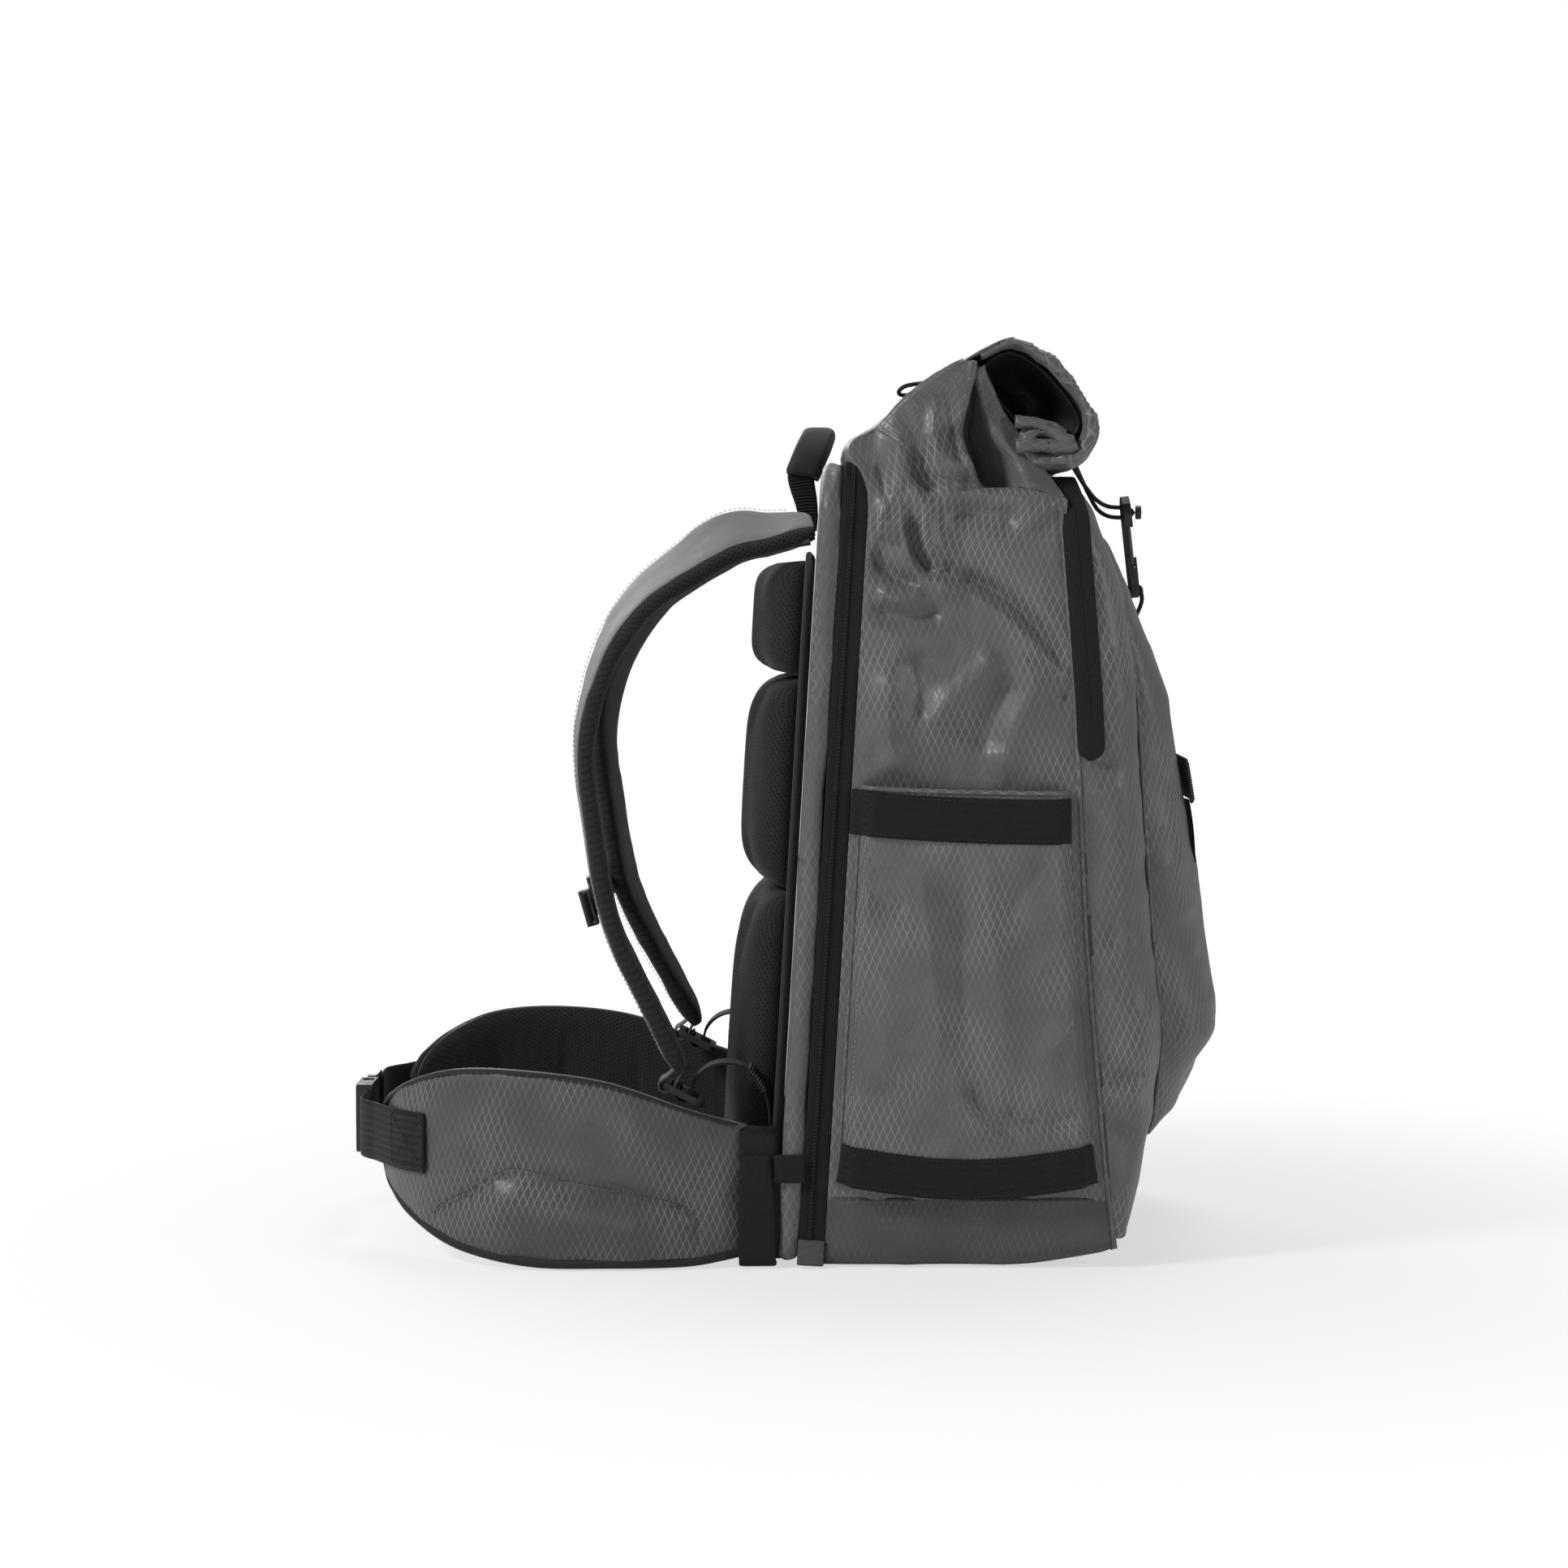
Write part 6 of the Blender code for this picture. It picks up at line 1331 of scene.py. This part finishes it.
# The back door with its harness
def lay_straight(bm):
    """Lays a panel's weave straight: level and upright on its face, and upright on its sides."""
    weave = bm.loops.layers.uv["weave"]
    for face in bm.faces:
        face.normal_update()
        x, y, z = (abs(part) for part in face.normal)
        for corner in face.loops:
            spot = corner.vert.co
            if x > 0.7 * max(y, z):
                corner[weave].uv = (spot.y, spot.z)
            else:
                corner[weave].uv = (spot.x, spot.z) if y > z else (spot.y, spot.x)


def case(half, foot, top, corner, foot_corner, section):
    """A padded panel on the leaning back: a section of (inset, u) carried round its outline."""
    outline = rounded_door(half, foot, top, corner, foot_corner)[:-1]
    count = len(outline)
    onward = np.roll(outline, -1, 0) - np.roll(outline, 1, 0)
    onward /= np.linalg.norm(onward, axis=1, keepdims=True)
    inward = np.stack([onward[:, 1], -onward[:, 0]], -1)
    section = smooth_run([(a, b, 0) for a, b in section], 25)

    def place(across, along):
        row = np.rint(across * count).astype(int) % count
        spot = np.rint(along * 24).astype(int)
        flat = outline[row] + inward[row] * section[spot, 0][:, None]
        return on_back(section[spot, 1], flat[:, 0], flat[:, 1])

    return patch(place, (count, 24), wrap=True, caps=True)


def make_door_hinge():
    """The strip of cloth below the door, which bends where the door swings."""
    run = smooth_run([(-0.0875, 0, 0.0022), (-0.0930, 0, 0.0020), (-0.0985, 0, 0.0020), (-0.1040, 0, 0.0024)],
                     30)
    width = 0.290
    strip = sweep(run, (0, 1, 0), width, 0.0014, 120, square=60)
    hinge = add_piece("door_hinge_cloth", strip, "ripstop_boot", None)
    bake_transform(hinge)


def make_door():
    """The padded door, the mesh harness on it and its three back pads."""
    make_door_hinge()
    panel = case(HALF, 0.003, 0.4985, 0.035, 0.006,
                 ((0.0045, -0.0163), (0.0012, -0.0175), (-0.0006, -0.021), (-0.0008, -0.025),
                  (0.002, -0.0285), (0.008, -0.0299)))
    face_out(panel)
    lay_straight(panel)
    places = places_of(panel)
    side = smooth_step(np.abs(places[:, 1]), 0.140, 0.149)
    moves = creases(places * (1, 1, 0.6), 0.022, 0.0009, 20) + swells(places * (1, 1, 0.5), 0.03, 0.0014, 21)
    push(panel, moves * side)
    piece = add_piece("door_cover", panel, "ripstop_door", "back_door", "door_panel", ready=True)
    harness = case(0.131, 0.006, 0.442, 0.040, 0.012,
                   ((0.003, -0.0304), (0, -0.0320), (0, -0.0350), (0.003, -0.0364), (0.010, -0.0366)))
    piece = add_piece("harness_cover", harness, "air_mesh", "back_door", "harness_panel")
    rim = rounded_door(0.1305, 0.0065, 0.4415, 0.0395, 0.012)
    add_piece("harness_binding", tube(on_back(np.full(len(rim), -0.0345), rim[:, 0], rim[:, 1]), 0.0022),
              "grip_cloth", "back_door")
    low = PAD_FOOT
    for name, share, count in PADS:
        height = PAD_SPAN * share
        start = low

        def place(across, along):
            """A crowned pad with a channel down its middle; its last fifth is the flat back."""
            front = np.clip(across / 0.8, 0, 1)
            rear = np.clip((across - 0.8) / 0.2, 0, 1)
            a = np.where(across < 0.8, 2 * front - 1, 1 - 2 * rear)
            edge = np.clip(1 - np.abs(2 * along - 1) ** 6, 0, 1) ** 0.5
            dome = np.clip(1 - np.abs(a) ** 5, 0, 1) ** 0.5
            half = PAD_HALF * (0.94 + 0.06 * edge)
            channel = 0.011 * np.exp(-((a * half / 0.014) ** 2)) * edge
            lobes = 0.0022 * np.cos(a * math.pi * 3) * edge * dome
            depth = np.where(across < 0.8, (PAD_DEPTH * dome - lobes) * np.maximum(edge, 0.10) - channel, 0)
            return on_back(-0.0368 - depth, a * half, start + height * along)

        pad = patch(place, (110, count), wrap=True, caps=True)
        piece = add_piece(name + "_cushion", pad, "air_mesh", "back_door", name)
        mesh_places = np.array([vert.co[:] for vert in piece.data.vertices])
        depth = -((mesh_places - (BACK_FOOT, 0, 0)) @ np.array((math.cos(LEAN), 0, -math.sin(LEAN))))
        held = (depth < 0.042) | (np.abs(mesh_places[:, 1]) < 0.006)
        inflate(piece, held, 3.0, 0.0035)
        low += height + PAD_GAP


def make_straps():
    """Shoulder straps: grey cloth outside, air mesh inside and round the edges."""
    shares = np.linspace(0, 1, 130)
    rows = smooth_run(STRAP, shares)
    for sign, name in ((-1, "left"), (1, "right")):
        path = mirrored(rows[:, :3], sign)
        width = rows[:, 3] + 0.0004
        twist = -sign * np.radians(rows[:, 4])
        thick = 0.0128 * np.clip(np.minimum(shares * 30, (1 - shares) * 26) + 0.35, 0, 1) ** 0.5
        strap = sweep(path, (0, 1, 0), width, thick, 56, square=7, twist=twist)
        face_out(strap)
        places = places_of(strap)
        crumple = creases(places, 0.018, 0.0003, 22) + swells(places, 0.030, 0.0008, 23) - 0.0003
        across, outward, _ = path_frames(path, np.array((0.0, 1, 0)))
        across, outward = twisted(across, outward, twist)
        for face in strap.faces:
            middle = np.array(face.calc_center_median())
            row = int(np.argmin(((path - middle) ** 2).sum(1)))
            high = (middle - path[row]) @ outward[row]
            far = abs((middle - path[row]) @ across[row])
            face.material_index = 0 if high > thick[row] * 0.16 and far < width[row] * 0.43 else 1
        push(strap, crumple)
        piece = add_piece("strap_pad_" + name, strap, ("strap_cloth", "air_mesh"), "back_door",
                          "shoulder_strap_" + name, ready=True)
        lines = []
        for edge in (-1, 1):
            line = path + across * ((width / 2 - 0.0045) * edge)[:, None] + outward * (thick * 0.47)[:, None]
            lines.append((line[4:-4], outward[4:-4]))
        sew("strap_stitches_" + name, lines, "grey_thread", "back_door", radius=0.00026)
        angles = np.radians(np.linspace(110, 330, 14))
        bend = [(-0.1878 + 0.0049 * math.cos(a), 0.1105 + 0.0045 * math.sin(a)) for a in angles]
        loop = [(-0.1775, 0.1255), (-0.1862, 0.1172), *bend, (-0.1800, 0.1160), (-0.1757, 0.1240)]
        loop = smooth_run([(x, sign * 0.121, z) for x, z in loop], 60)
        add_piece("strap_webbing_" + name, sweep(loop, (0, 1, 0), 0.020, 0.0016, 20, square=12),
                  "grey_webbing", "back_door")
        run = smooth_run(mirrored(LOWER_WEBBING, sign), 110)
        add_piece("adjusting_webbing_" + name, sweep(run, (0, 1, 0), 0.020, 0.0017, 24, square=12), "webbing",
                  "back_door", "lower_webbing_" + name)
        keeper = run[66:84]
        add_piece("elastic_keeper_" + name, sweep(keeper, (0, 1, 0), 0.0236, 0.0052, 24, square=8), "ribbed",
                  "back_door")
        tab = smooth_run([(-0.098, sign * 0.080, 0.4525), (-0.110, sign * 0.080, 0.4505),
                          (-0.122, sign * 0.0805, 0.4485)], 12)
        add_piece("strap_root_tab_" + name, sweep(tab, (0, 1, 0), 0.046, 0.0040, 20, square=8), "ripstop",
                  "back_door")


def make_handle():
    """The grab handle's webbing and the soft grip round it."""
    right = [(x, -y, z) for x, y, z in HANDLE[-2::-1]]
    arch = smooth_run(list(HANDLE) + right, 120)
    shares = np.linspace(0, 1, 120)
    from_end = np.minimum(shares, 1 - shares)
    width = np.interp(from_end, (0, 0.06, 0.22, 0.5), (0.0100, 0.0130, 0.0175, 0.0180))
    place = arch + np.outer((width - 0.010) / 2 - 0.002 * smooth_step(from_end, 0.1, 0.3), (1, 0, 0))
    add_piece("handle_strap", sweep(place, (1, 0, 0), width, 0.0026, 24, square=10), "ribbed", "handle",
              "handle_webbing")
    held = place[27:93] + (0.0008, 0, 0)
    ends = np.minimum(np.arange(66), np.arange(66)[::-1])
    swell = np.clip(ends / 5, 0, 1) ** 0.5
    grip = sweep(held, (1, 0, 0), 0.0205 + 0.0016 * swell, 0.0078 + 0.0045 * swell, 36, square=4)
    face_out(grip)
    push(grip, swells(places_of(grip), 0.02, 0.0006, 25))
    piece = add_piece("grip_cover", grip, "grip_cloth", "handle", "handle_grip", ready=True)


# The hip belt
def wing_place(sign, share, up, out):
    """Places on a wing: share along it, up from its foot (0) to its top (1), and metres outwards."""
    rows = smooth_run([(x, y, 0, foot, top) for x, y, foot, top in WING], share)
    dense = smooth_run([(x, y, 0, foot, top) for x, y, foot, top in WING], 300)
    onward = np.gradient(dense[:, :3], axis=0)
    onward /= np.linalg.norm(onward, axis=1, keepdims=True)
    outward = np.cross(onward, (0, 0, 1.0))[np.rint(share * 299).astype(int)]
    place = rows[:, :3] - outward * out[:, None]
    place[:, 2] = rows[:, 3] + (rows[:, 4] - rows[:, 3]) * up
    return mirrored(place, sign)


def make_wings():
    """Belt wings: ripstop outside with a sewn raised pad, air mesh inside, a bound edge below."""
    for sign, name in ((-1, "left"), (1, "right")):
        body = name + "_wing"

        def place(across, along):
            turn = np.cos(math.tau * across)
            side = np.sign(np.sin(math.tau * across))
            thin = 0.35 + 0.65 * np.clip(np.minimum(along * 14, (1 - along) * 9), 0, 1) ** 0.5
            out = side * 0.0062 * thin * (1 - np.abs(turn) ** 5) ** 0.45
            return wing_place(sign, along, 0.5 - turn / 2, out)

        wing = patch(place, (72, 110), wrap=True, caps=True)
        face_out(wing)
        places = places_of(wing)
        centre = wing_place(sign, np.linspace(0, 1, 200), np.full(200, 0.5), np.zeros(200))
        outward = np.gradient(centre, axis=0)[:, (1, 0)] * (1, -1)
        outward /= np.linalg.norm(outward, axis=1, keepdims=True)
        if outward[100, 1] * sign < 0:
            outward = -outward
        rows = np.argmin(((places[:, None, :2] - centre[None, :, :2]) ** 2).sum(2), 1)
        side = ((places[:, :2] - centre[rows, :2]) * outward[rows]).sum(1)
        is_out = smooth_step(side, 0.000, 0.003)
        moves = folds(places, WING_FOLDS) * is_out
        moves += (swells(places, 0.04, 0.0012, 26) + creases(places, 0.03, 0.0005, 27)) * is_out
        push(wing, moves)
        for face in wing.faces:
            middle = np.array(face.calc_center_median())
            row = int(np.argmin(((centre[:, :2] - middle[:2]) ** 2).sum(1)))
            face.material_index = 0 if (middle[:2] - centre[row, :2]) @ outward[row] > -0.0004 else 1
        piece = add_piece("wing_pad_" + name, wing, ("ripstop_wing", "air_mesh"), body, "belt_wing_" + name,
                          ready=True)
        held = (np.abs(side) < 0.0025) | (is_out * (folds(places, WING_FOLDS[:1]) < -0.0012) > 0)
        inflate(piece, held, 2.0, 0.0028, 12)
        low = wing_place(sign, np.linspace(0.0, 1, 120), np.full(120, 0.0), np.zeros(120)) + (0, 0, 0.0026)
        tip = wing_place(sign, np.full(24, 1.0), np.linspace(0.06, 0.97, 24), np.zeros(24))
        top = wing_place(sign, np.linspace(1, 0.0, 120), np.full(120, 1.0), np.full(120, 0.003)) - (0, 0,
                                                                                                    0.0012)
        edge = smooth_run(np.vstack([low[::4], tip[2:-2:3], top[::4]]), 260)
        share = np.linspace(0, 1, 260)
        heavy = np.interp(share, (0, 0.42, 0.50, 0.58, 1), (0.0066, 0.0068, 0.0062, 0.0026, 0.0020))
        wide = np.interp(share, (0, 0.42, 0.50, 0.58, 1), (0.0116, 0.0116, 0.0090, 0.0050, 0.0044))
        add_piece("wing_binding_" + name, sweep(edge, (0, 1, 0), wide, heavy, 18, square=3), "grip_cloth",
                  body)
        drawn = np.array(WING_FOLDS[0][2]) / 1000
        near = [int(np.argmin(abs(centre[:, 0] - x))) for x, _ in drawn]
        line = np.stack([drawn[:, 0], centre[near, 1] + outward[near, 1] * 0.0064, drawn[:, 1]], -1)
        line = smooth_run(line, 100)
        sew("wing_stitches_" + name, [(line + (0, sign * 0.0012, 0.002), (0, sign, 0))], "black_thread", body)

        tab = smooth_run(mirrored(BELT_TAB, sign), 60)
        add_piece("belt_tab_webbing_" + name, sweep(tab, (0, 0, 1), 0.038, 0.0020, 26, square=16), "webbing",
                  body, "belt_tab_" + name)
        across, away, _ = path_frames(tab, np.array((0.0, 0, 1)))
        if away[2, 1] * sign < 0:
            away = -away

        def on_tab(start, end, low_z, high_z):
            """A line on the outside of the tab, between two of its rows and two heights."""
            share = np.linspace(0, 1, 12)
            rows_on = np.rint(start + (end - start) * share).astype(int)
            height = low_z + (high_z - low_z) * share
            return tab[rows_on] + away[rows_on] * 0.0011 + np.outer(height, (0, 0, 1)), away[rows_on]

        box_x = [on_tab(1, 18, -0.016, -0.016), on_tab(1, 18, 0.016, 0.016), on_tab(1, 1, -0.016, 0.016),
                 on_tab(18, 18, -0.016, 0.016), on_tab(1, 18, -0.016, 0.016), on_tab(1, 18, 0.016, -0.016)]
        sew("tab_stitches_" + name, box_x, "black_thread", body, pitch=0.0028, radius=0.0003)

        z = np.linspace(0.0045, 0.0865, 24)
        thick = 0.0205 * np.clip(1 - np.abs(np.linspace(-1, 1, 24)) ** 8, 0.05, 1) ** 0.5
        block = np.stack([np.full(24, -0.1285) + 0.0012 * np.sin(z * 60), np.full(24, sign * 0.1405), z], -1)
        add_piece("belt_root_cloth_" + name, sweep(block, (1, 0, 0), 0.0262, thick, 24, square=6), "webbing",
                  "back_door", "belt_root_" + name)
        fold = [(-0.1310, sign * 0.1518, 0.0700), (-0.1312, sign * 0.1522, 0.0450),
                (-0.1310, sign * 0.1524, 0.0200),
                (-0.1305, sign * 0.1520, 0.0040), (-0.1303, sign * 0.1495, 0.0016),
                (-0.1303, sign * 0.1465, 0.0030)]
        fold = smooth_run(fold, 50)
        width = np.interp(np.linspace(0, 1, 50), (0, 0.3, 1), (0.0165, 0.0215, 0.0235))
        add_piece("corner_webbing_" + name, sweep(fold, (1, 0, 0), width, 0.0022, 24, square=12), "webbing",
                  "back_door")


def make_webbing_fronts():
    """Straight runs of webbing at the belt's and the sternum strap's buckles."""
    low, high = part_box("belt_webbing")
    y = np.linspace(low.y, high.y, 24)
    path = np.stack([np.full(24, (low.x + high.x) / 2 - 0.0003), y, np.full(24, (low.z + high.z) / 2)], -1)
    add_piece("belt_front_webbing", sweep(path, (0, 0, 1), 0.038, 0.0016, 24, square=16), "webbing",
              "belt_plug", "belt_webbing")
    up = Vector((-0.2727, 0, 0.9621))
    for name, body in (("sternum_webbing_left", "sternum"), ("sternum_webbing_right", "sternum_plug")):
        low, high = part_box(name)
        y = np.linspace(low.y, high.y, 30)
        middle = (low + high) / 2
        path = np.stack([np.full(30, middle.x), y, np.full(30, middle.z)], -1)
        add_piece(name + "_strap", sweep(path, up, 0.0198, 0.0017, 20, square=14), "webbing", body, name)


# Bands, labels, cords and hardware
def make_daisy_band():
    """The band across the front pocket with its bartacks, and the two bare labels."""
    share = np.linspace(-0.76, 0.76, 80)
    top, low = 0.3130, 0.2850
    middle = (top + low) / 2
    at_top = pocket_x(np.full(80, top), share)
    at_low = pocket_x(np.full(80, low), share)
    x = np.maximum(np.maximum(at_top, at_low) + 0.0016, (at_top + at_low) / 2 + 0.0026)
    lean = Vector((float(pocket_x(top) - pocket_x(low)), 0, top - low)).normalized()
    path = np.stack([x, share * 0.114, np.full(80, middle)], -1)
    add_piece("daisy_webbing", sweep(path, lean, 0.028, 0.0017, 26, square=14), "webbing", "pack",
              "daisy_band")
    lines = []
    for at in (-0.70, -0.24, 0.24, 0.70):
        index = int(np.argmin(abs(share - at)))
        start = path[index] + np.array(lean) * -0.012 + (0.0011, 0, 0)
        lines.append((np.array([start, start + np.array(lean) * 0.024]), (1, 0, 0)))
    sew("daisy_bartacks", lines, "black_thread", "pack", pitch=0.0016, radius=0.00045, cover=0.9)
    low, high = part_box("hanging_label")
    y = (low.y + high.y) / 2
    z = np.linspace(high.z + 0.002, low.z, 24)
    for number, shift in enumerate((0.0, -0.0016)):
        x = np.linspace(high.x - 0.0058, high.x - 0.0008, 24) + shift + 0.0006 * np.sin(np.linspace(0, 4, 24))
        path = np.stack([x, np.full(24, y), z + 0.0004 * number], -1)
        add_piece(f"label_fold_{number}", sweep(path, (0, 1, 0), 0.0130, 0.0009, 20, square=14), "webbing",
                  "pack", "hanging_label" if number == 0 else ())
    low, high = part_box("side_label")
    z = np.linspace(low.z + 0.0006, high.z - 0.0006, 16)
    path = np.stack([np.full(16, (low.x + high.x) / 2 - 0.0015), np.full(16, low.y - 0.0022), z], -1)
    add_piece("door_label_left", sweep(path, (1, 0, 0), 0.0190, 0.0010, 20, square=16), "webbing",
              "back_door", "side_label")


def make_cord(name, route, body, node):
    """A free cord along a route, put on its body."""
    curve = bpy.data.curves.new(name, "CURVE")
    curve.dimensions = "3D"
    curve.bevel_depth = CORD / 2
    curve.bevel_resolution = 4
    curve.use_fill_caps = True
    line = curve.splines.new("POLY")
    line.points.add(len(route) - 1)
    for slot, point in zip(line.points, route):
        slot.co = (*point, 1)
    curve.materials.append(finish("cord"))
    cord = bpy.data.objects.new(name, curve)
    bpy.context.scene.collection.objects.link(cord)
    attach(cord, body)
    if node:
        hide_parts(node)


NODE_FINISHES = (
    ("plastic", ("belt_buckle_socket", "belt_buckle_plug", "sternum_buckle_socket", "sternum_buckle_plug",
                 "sternum_clip_left", "sternum_clip_right", "ladder_lock_left", "ladder_lock_right",
                 "hook_body",
                 "cord_bead")),
    ("dark_metal",
     ("front_zip_slider", "door_zip_slider_left", "door_zip_slider_right", "hook_gate", "hook_rivet")),
    ("aluminium", ("frame_stay_left", "frame_stay_right")),
    ("sheet_plastic", ("frame_sheet",)),
    ("lining", ("door_liner",)),
)


# How far the edges of rigid pieces are softened
EDGE_WIDTHS = {"plastic": 0.0004, "dark_metal": 0.0002}


def make_hardware():
    """Rigid nodes keep their shape, with softened edges and their own finish."""
    for look, names in NODE_FINISHES:
        for name in names:
            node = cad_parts[name]
            node.data.materials.clear()
            node.data.materials.append(finish(look))
            if look in EDGE_WIDTHS:
                weld = node.modifiers.new("weld", "WELD")
                weld.merge_threshold = 1e-6
                bevel = node.modifiers.new("edge", "BEVEL")
                bevel.width = EDGE_WIDTHS[look]
                bevel.segments = 2
                bevel.limit_method = "ANGLE"
                bevel.angle_limit = math.radians(35)
                bevel.harden_normals = False


# The stage. The photograph's camera is given in its pixels: focal length, picture size and where it looks
SENSOR = 36
PHOTO_FOCAL = 4100
PHOTO_SIZE = 1932
LOOK_DOWN = 260
LOOK_LEFT = 34
CAMERA_PLACE = (-0.097, -2.2, 0.4315)

# Lamps as a name, a place, what they aim at, a size and a power
LIGHTS = (
    ("key", (-1.9, -1.1, 1.8), (0, 0, 0.28), 0.5, 37),
    ("front", (1.9, -0.8, 0.9), (0, 0, 0.28), 0.6, 9),
    ("fill", (-0.2, -2.4, 0.4), (0, 0, 0.28), 0.8, 4.5),
    ("top", (0.3, 0.5, 2.2), (0, 0, 0.3), 0.9, 13),
    ("back", (-0.9, 1.9, 1.2), (0, 0, 0.3), 0.9, 15),
)


def make_stage():
    """A pale floor, soft lights and a camera at the photograph's viewing angle."""
    world = bpy.data.worlds.new("studio")
    bpy.context.scene.world = world
    world.use_nodes = True
    tree = world.node_tree
    back = tree.nodes["Background"]
    back.inputs["Color"].default_value = (1, 1, 1, 1)
    path = tree.nodes.new("ShaderNodeLightPath")
    seen = tree.nodes.new("ShaderNodeMath")
    seen.operation = "MAXIMUM"
    tree.links.new(path.outputs["Is Camera Ray"], seen.inputs[0])
    tree.links.new(path.outputs["Is Transmission Ray"], seen.inputs[1])
    level = tree.nodes.new("ShaderNodeMapRange")
    tree.links.new(seen.outputs[0], level.inputs[0])
    level.inputs[3].default_value = 0.13
    level.inputs[4].default_value = 1.0
    tree.links.new(level.outputs[0], back.inputs["Strength"])

    floor = bmesh.new()
    bmesh.ops.create_grid(floor, x_segments=1, y_segments=1, size=6)
    mesh = bpy.data.meshes.new("floor")
    floor.to_mesh(mesh)
    floor.free()
    ground = bpy.data.objects.new("floor", mesh)
    ground.location.z = -0.0008
    bpy.context.scene.collection.objects.link(ground)
    shade = Shade("pale_floor", 0.9, 0.1)
    tree = shade.tree
    shade.put(shade.shader.inputs["Base Color"], (0.9, 0.9, 0.9, 1))
    glow = shade.add("Emission", (1, 1, 1, 1))
    spot = shade.add("VectorMath", shade.object_place(), operation="LENGTH", out=1)
    lit = shade.step(spot, 0.20, 0.70, 0.62, 1.0)
    shown = shade.add("MixShader", lit, shade.shader.outputs[0], glow)
    seen = shade.add("LightPath")
    view = shade.add("MixShader", seen, shade.shader.outputs[0], shown)
    shade.put(tree.nodes["Material Output"].inputs[0], view)
    mesh.materials.append(shade.material)

    for name, place, aim, size, power in LIGHTS:
        lamp = bpy.data.lights.new(name, "AREA")
        lamp.size = size
        lamp.energy = power
        obj = bpy.data.objects.new(name, lamp)
        obj.location = place
        obj.rotation_euler = (Vector(aim) - Vector(place)).to_track_quat("-Z", "Y").to_euler()
        bpy.context.scene.collection.objects.link(obj)

    camera = bpy.data.cameras.new("camera")
    camera.lens = SENSOR * PHOTO_FOCAL / PHOTO_SIZE
    camera.sensor_width = SENSOR
    obj = bpy.data.objects.new("camera", camera)
    obj.location = CAMERA_PLACE
    down = math.atan(LOOK_DOWN / PHOTO_FOCAL)
    obj.rotation_euler = (math.radians(90) - down, 0, math.atan(LOOK_LEFT / PHOTO_FOCAL))
    bpy.context.scene.collection.objects.link(obj)
    bpy.context.scene.camera = obj
    bpy.context.scene.view_settings.view_transform = "Standard"


# Operators
def operator(kind, label, note, work):
    """An operator that does this work."""
    def execute(self, context):
        """Makes the pieces."""
        work()
        return {"FINISHED"}

    members = {"__doc__": note, "bl_idname": "backpack." + kind, "bl_label": label, "execute": execute,
               "bl_options": {"REGISTER", "UNDO"}}
    return type("BACKPACK_OT_" + kind, (bpy.types.Operator,), members)


def make_body():
    """The cloth of the body and its boot."""
    make_shell()
    make_boot()


def make_zips():
    """The front's zip and the door's."""
    make_front_zip()
    make_door_zip()


def make_cords():
    """Each free cord, with the body that it rides and the solid that it replaces."""
    make_cord("closure_line", CLOSURE_CORD, "roll", "closure_cord")
    make_cord("back_bight_line", BACK_BIGHT, "pack", "back_cord_bight")
    make_cord("hook_loop_line", HOOK_LOOP, "pack", "hook_loop")
    make_cord("back_strand_line", BACK_STRAND, "pack", None)


OPERATORS = (
    operator("stage", "Stage", "Floor, lights and camera", make_stage),
    operator("cords", "Cords", "The closure cord, its bight and the hook's loop", make_cords),
    operator("body", "Body", "Side panels, neck, boot and divider", make_body),
    operator("front", "Front", "Front compartment and pocket", make_front),
    operator("side_pockets", "Side Pockets", "Both side pockets and their bands", make_side_pockets),
    operator("roll", "Roll", "The rolled mouth", make_roll),
    operator("zips", "Zips", "Zip bands and their coils", make_zips),
    operator("door", "Door", "Back door, harness and pads", make_door),
    operator("straps", "Straps", "Shoulder straps and their webbing", make_straps),
    operator("handle", "Handle", "Carry handle and its grip", make_handle),
    operator("belt", "Belt", "Belt wings, tabs and roots", make_wings),
    operator("webbing", "Webbing", "Webbing at the buckles", make_webbing_fronts),
    operator("bands", "Bands", "The daisy band and the bare labels", make_daisy_band),
    operator("hardware", "Hardware", "Finishes of the rigid parts", make_hardware),
)


class BACKPACK_PT_panel(bpy.types.Panel):
    """Lists the pack's pieces and settings."""

    bl_idname = "BACKPACK_PT_panel"
    bl_label = "Backpack"
    bl_space_type = "VIEW_3D"
    bl_region_type = "UI"
    bl_category = "Backpack"

    def draw(self, context):
        """Draws a button for each operator and a field for each setting."""
        for kind in OPERATORS:
            self.layout.operator(kind.bl_idname)
        for group in (context.scene.backpack_sizes, context.scene.backpack_colours):
            for name in group.__annotations__:
                self.layout.prop(group, name)


CLASSES = (BackpackSizes, BackpackColours, *OPERATORS, BACKPACK_PT_panel)


def register():
    """Registers the classes and gives the scene its settings."""
    for kind in CLASSES:
        bpy.utils.register_class(kind)
    bpy.types.Scene.backpack_sizes = bpy.props.PointerProperty(type=BackpackSizes)
    bpy.types.Scene.backpack_colours = bpy.props.PointerProperty(type=BackpackColours)


def unregister():
    """Takes the settings and the classes away again."""
    del bpy.types.Scene.backpack_colours
    del bpy.types.Scene.backpack_sizes
    for kind in reversed(CLASSES):
        bpy.utils.unregister_class(kind)


def main():
    """Makes every piece, and writes the sizes of the frame and of the finished pack."""
    register()
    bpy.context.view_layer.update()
    for kind in OPERATORS:
        getattr(bpy.ops.backpack, kind.bl_idname.split(".")[1])()
    bpy.context.view_layer.update()


if __name__ == "__main__":
    main()
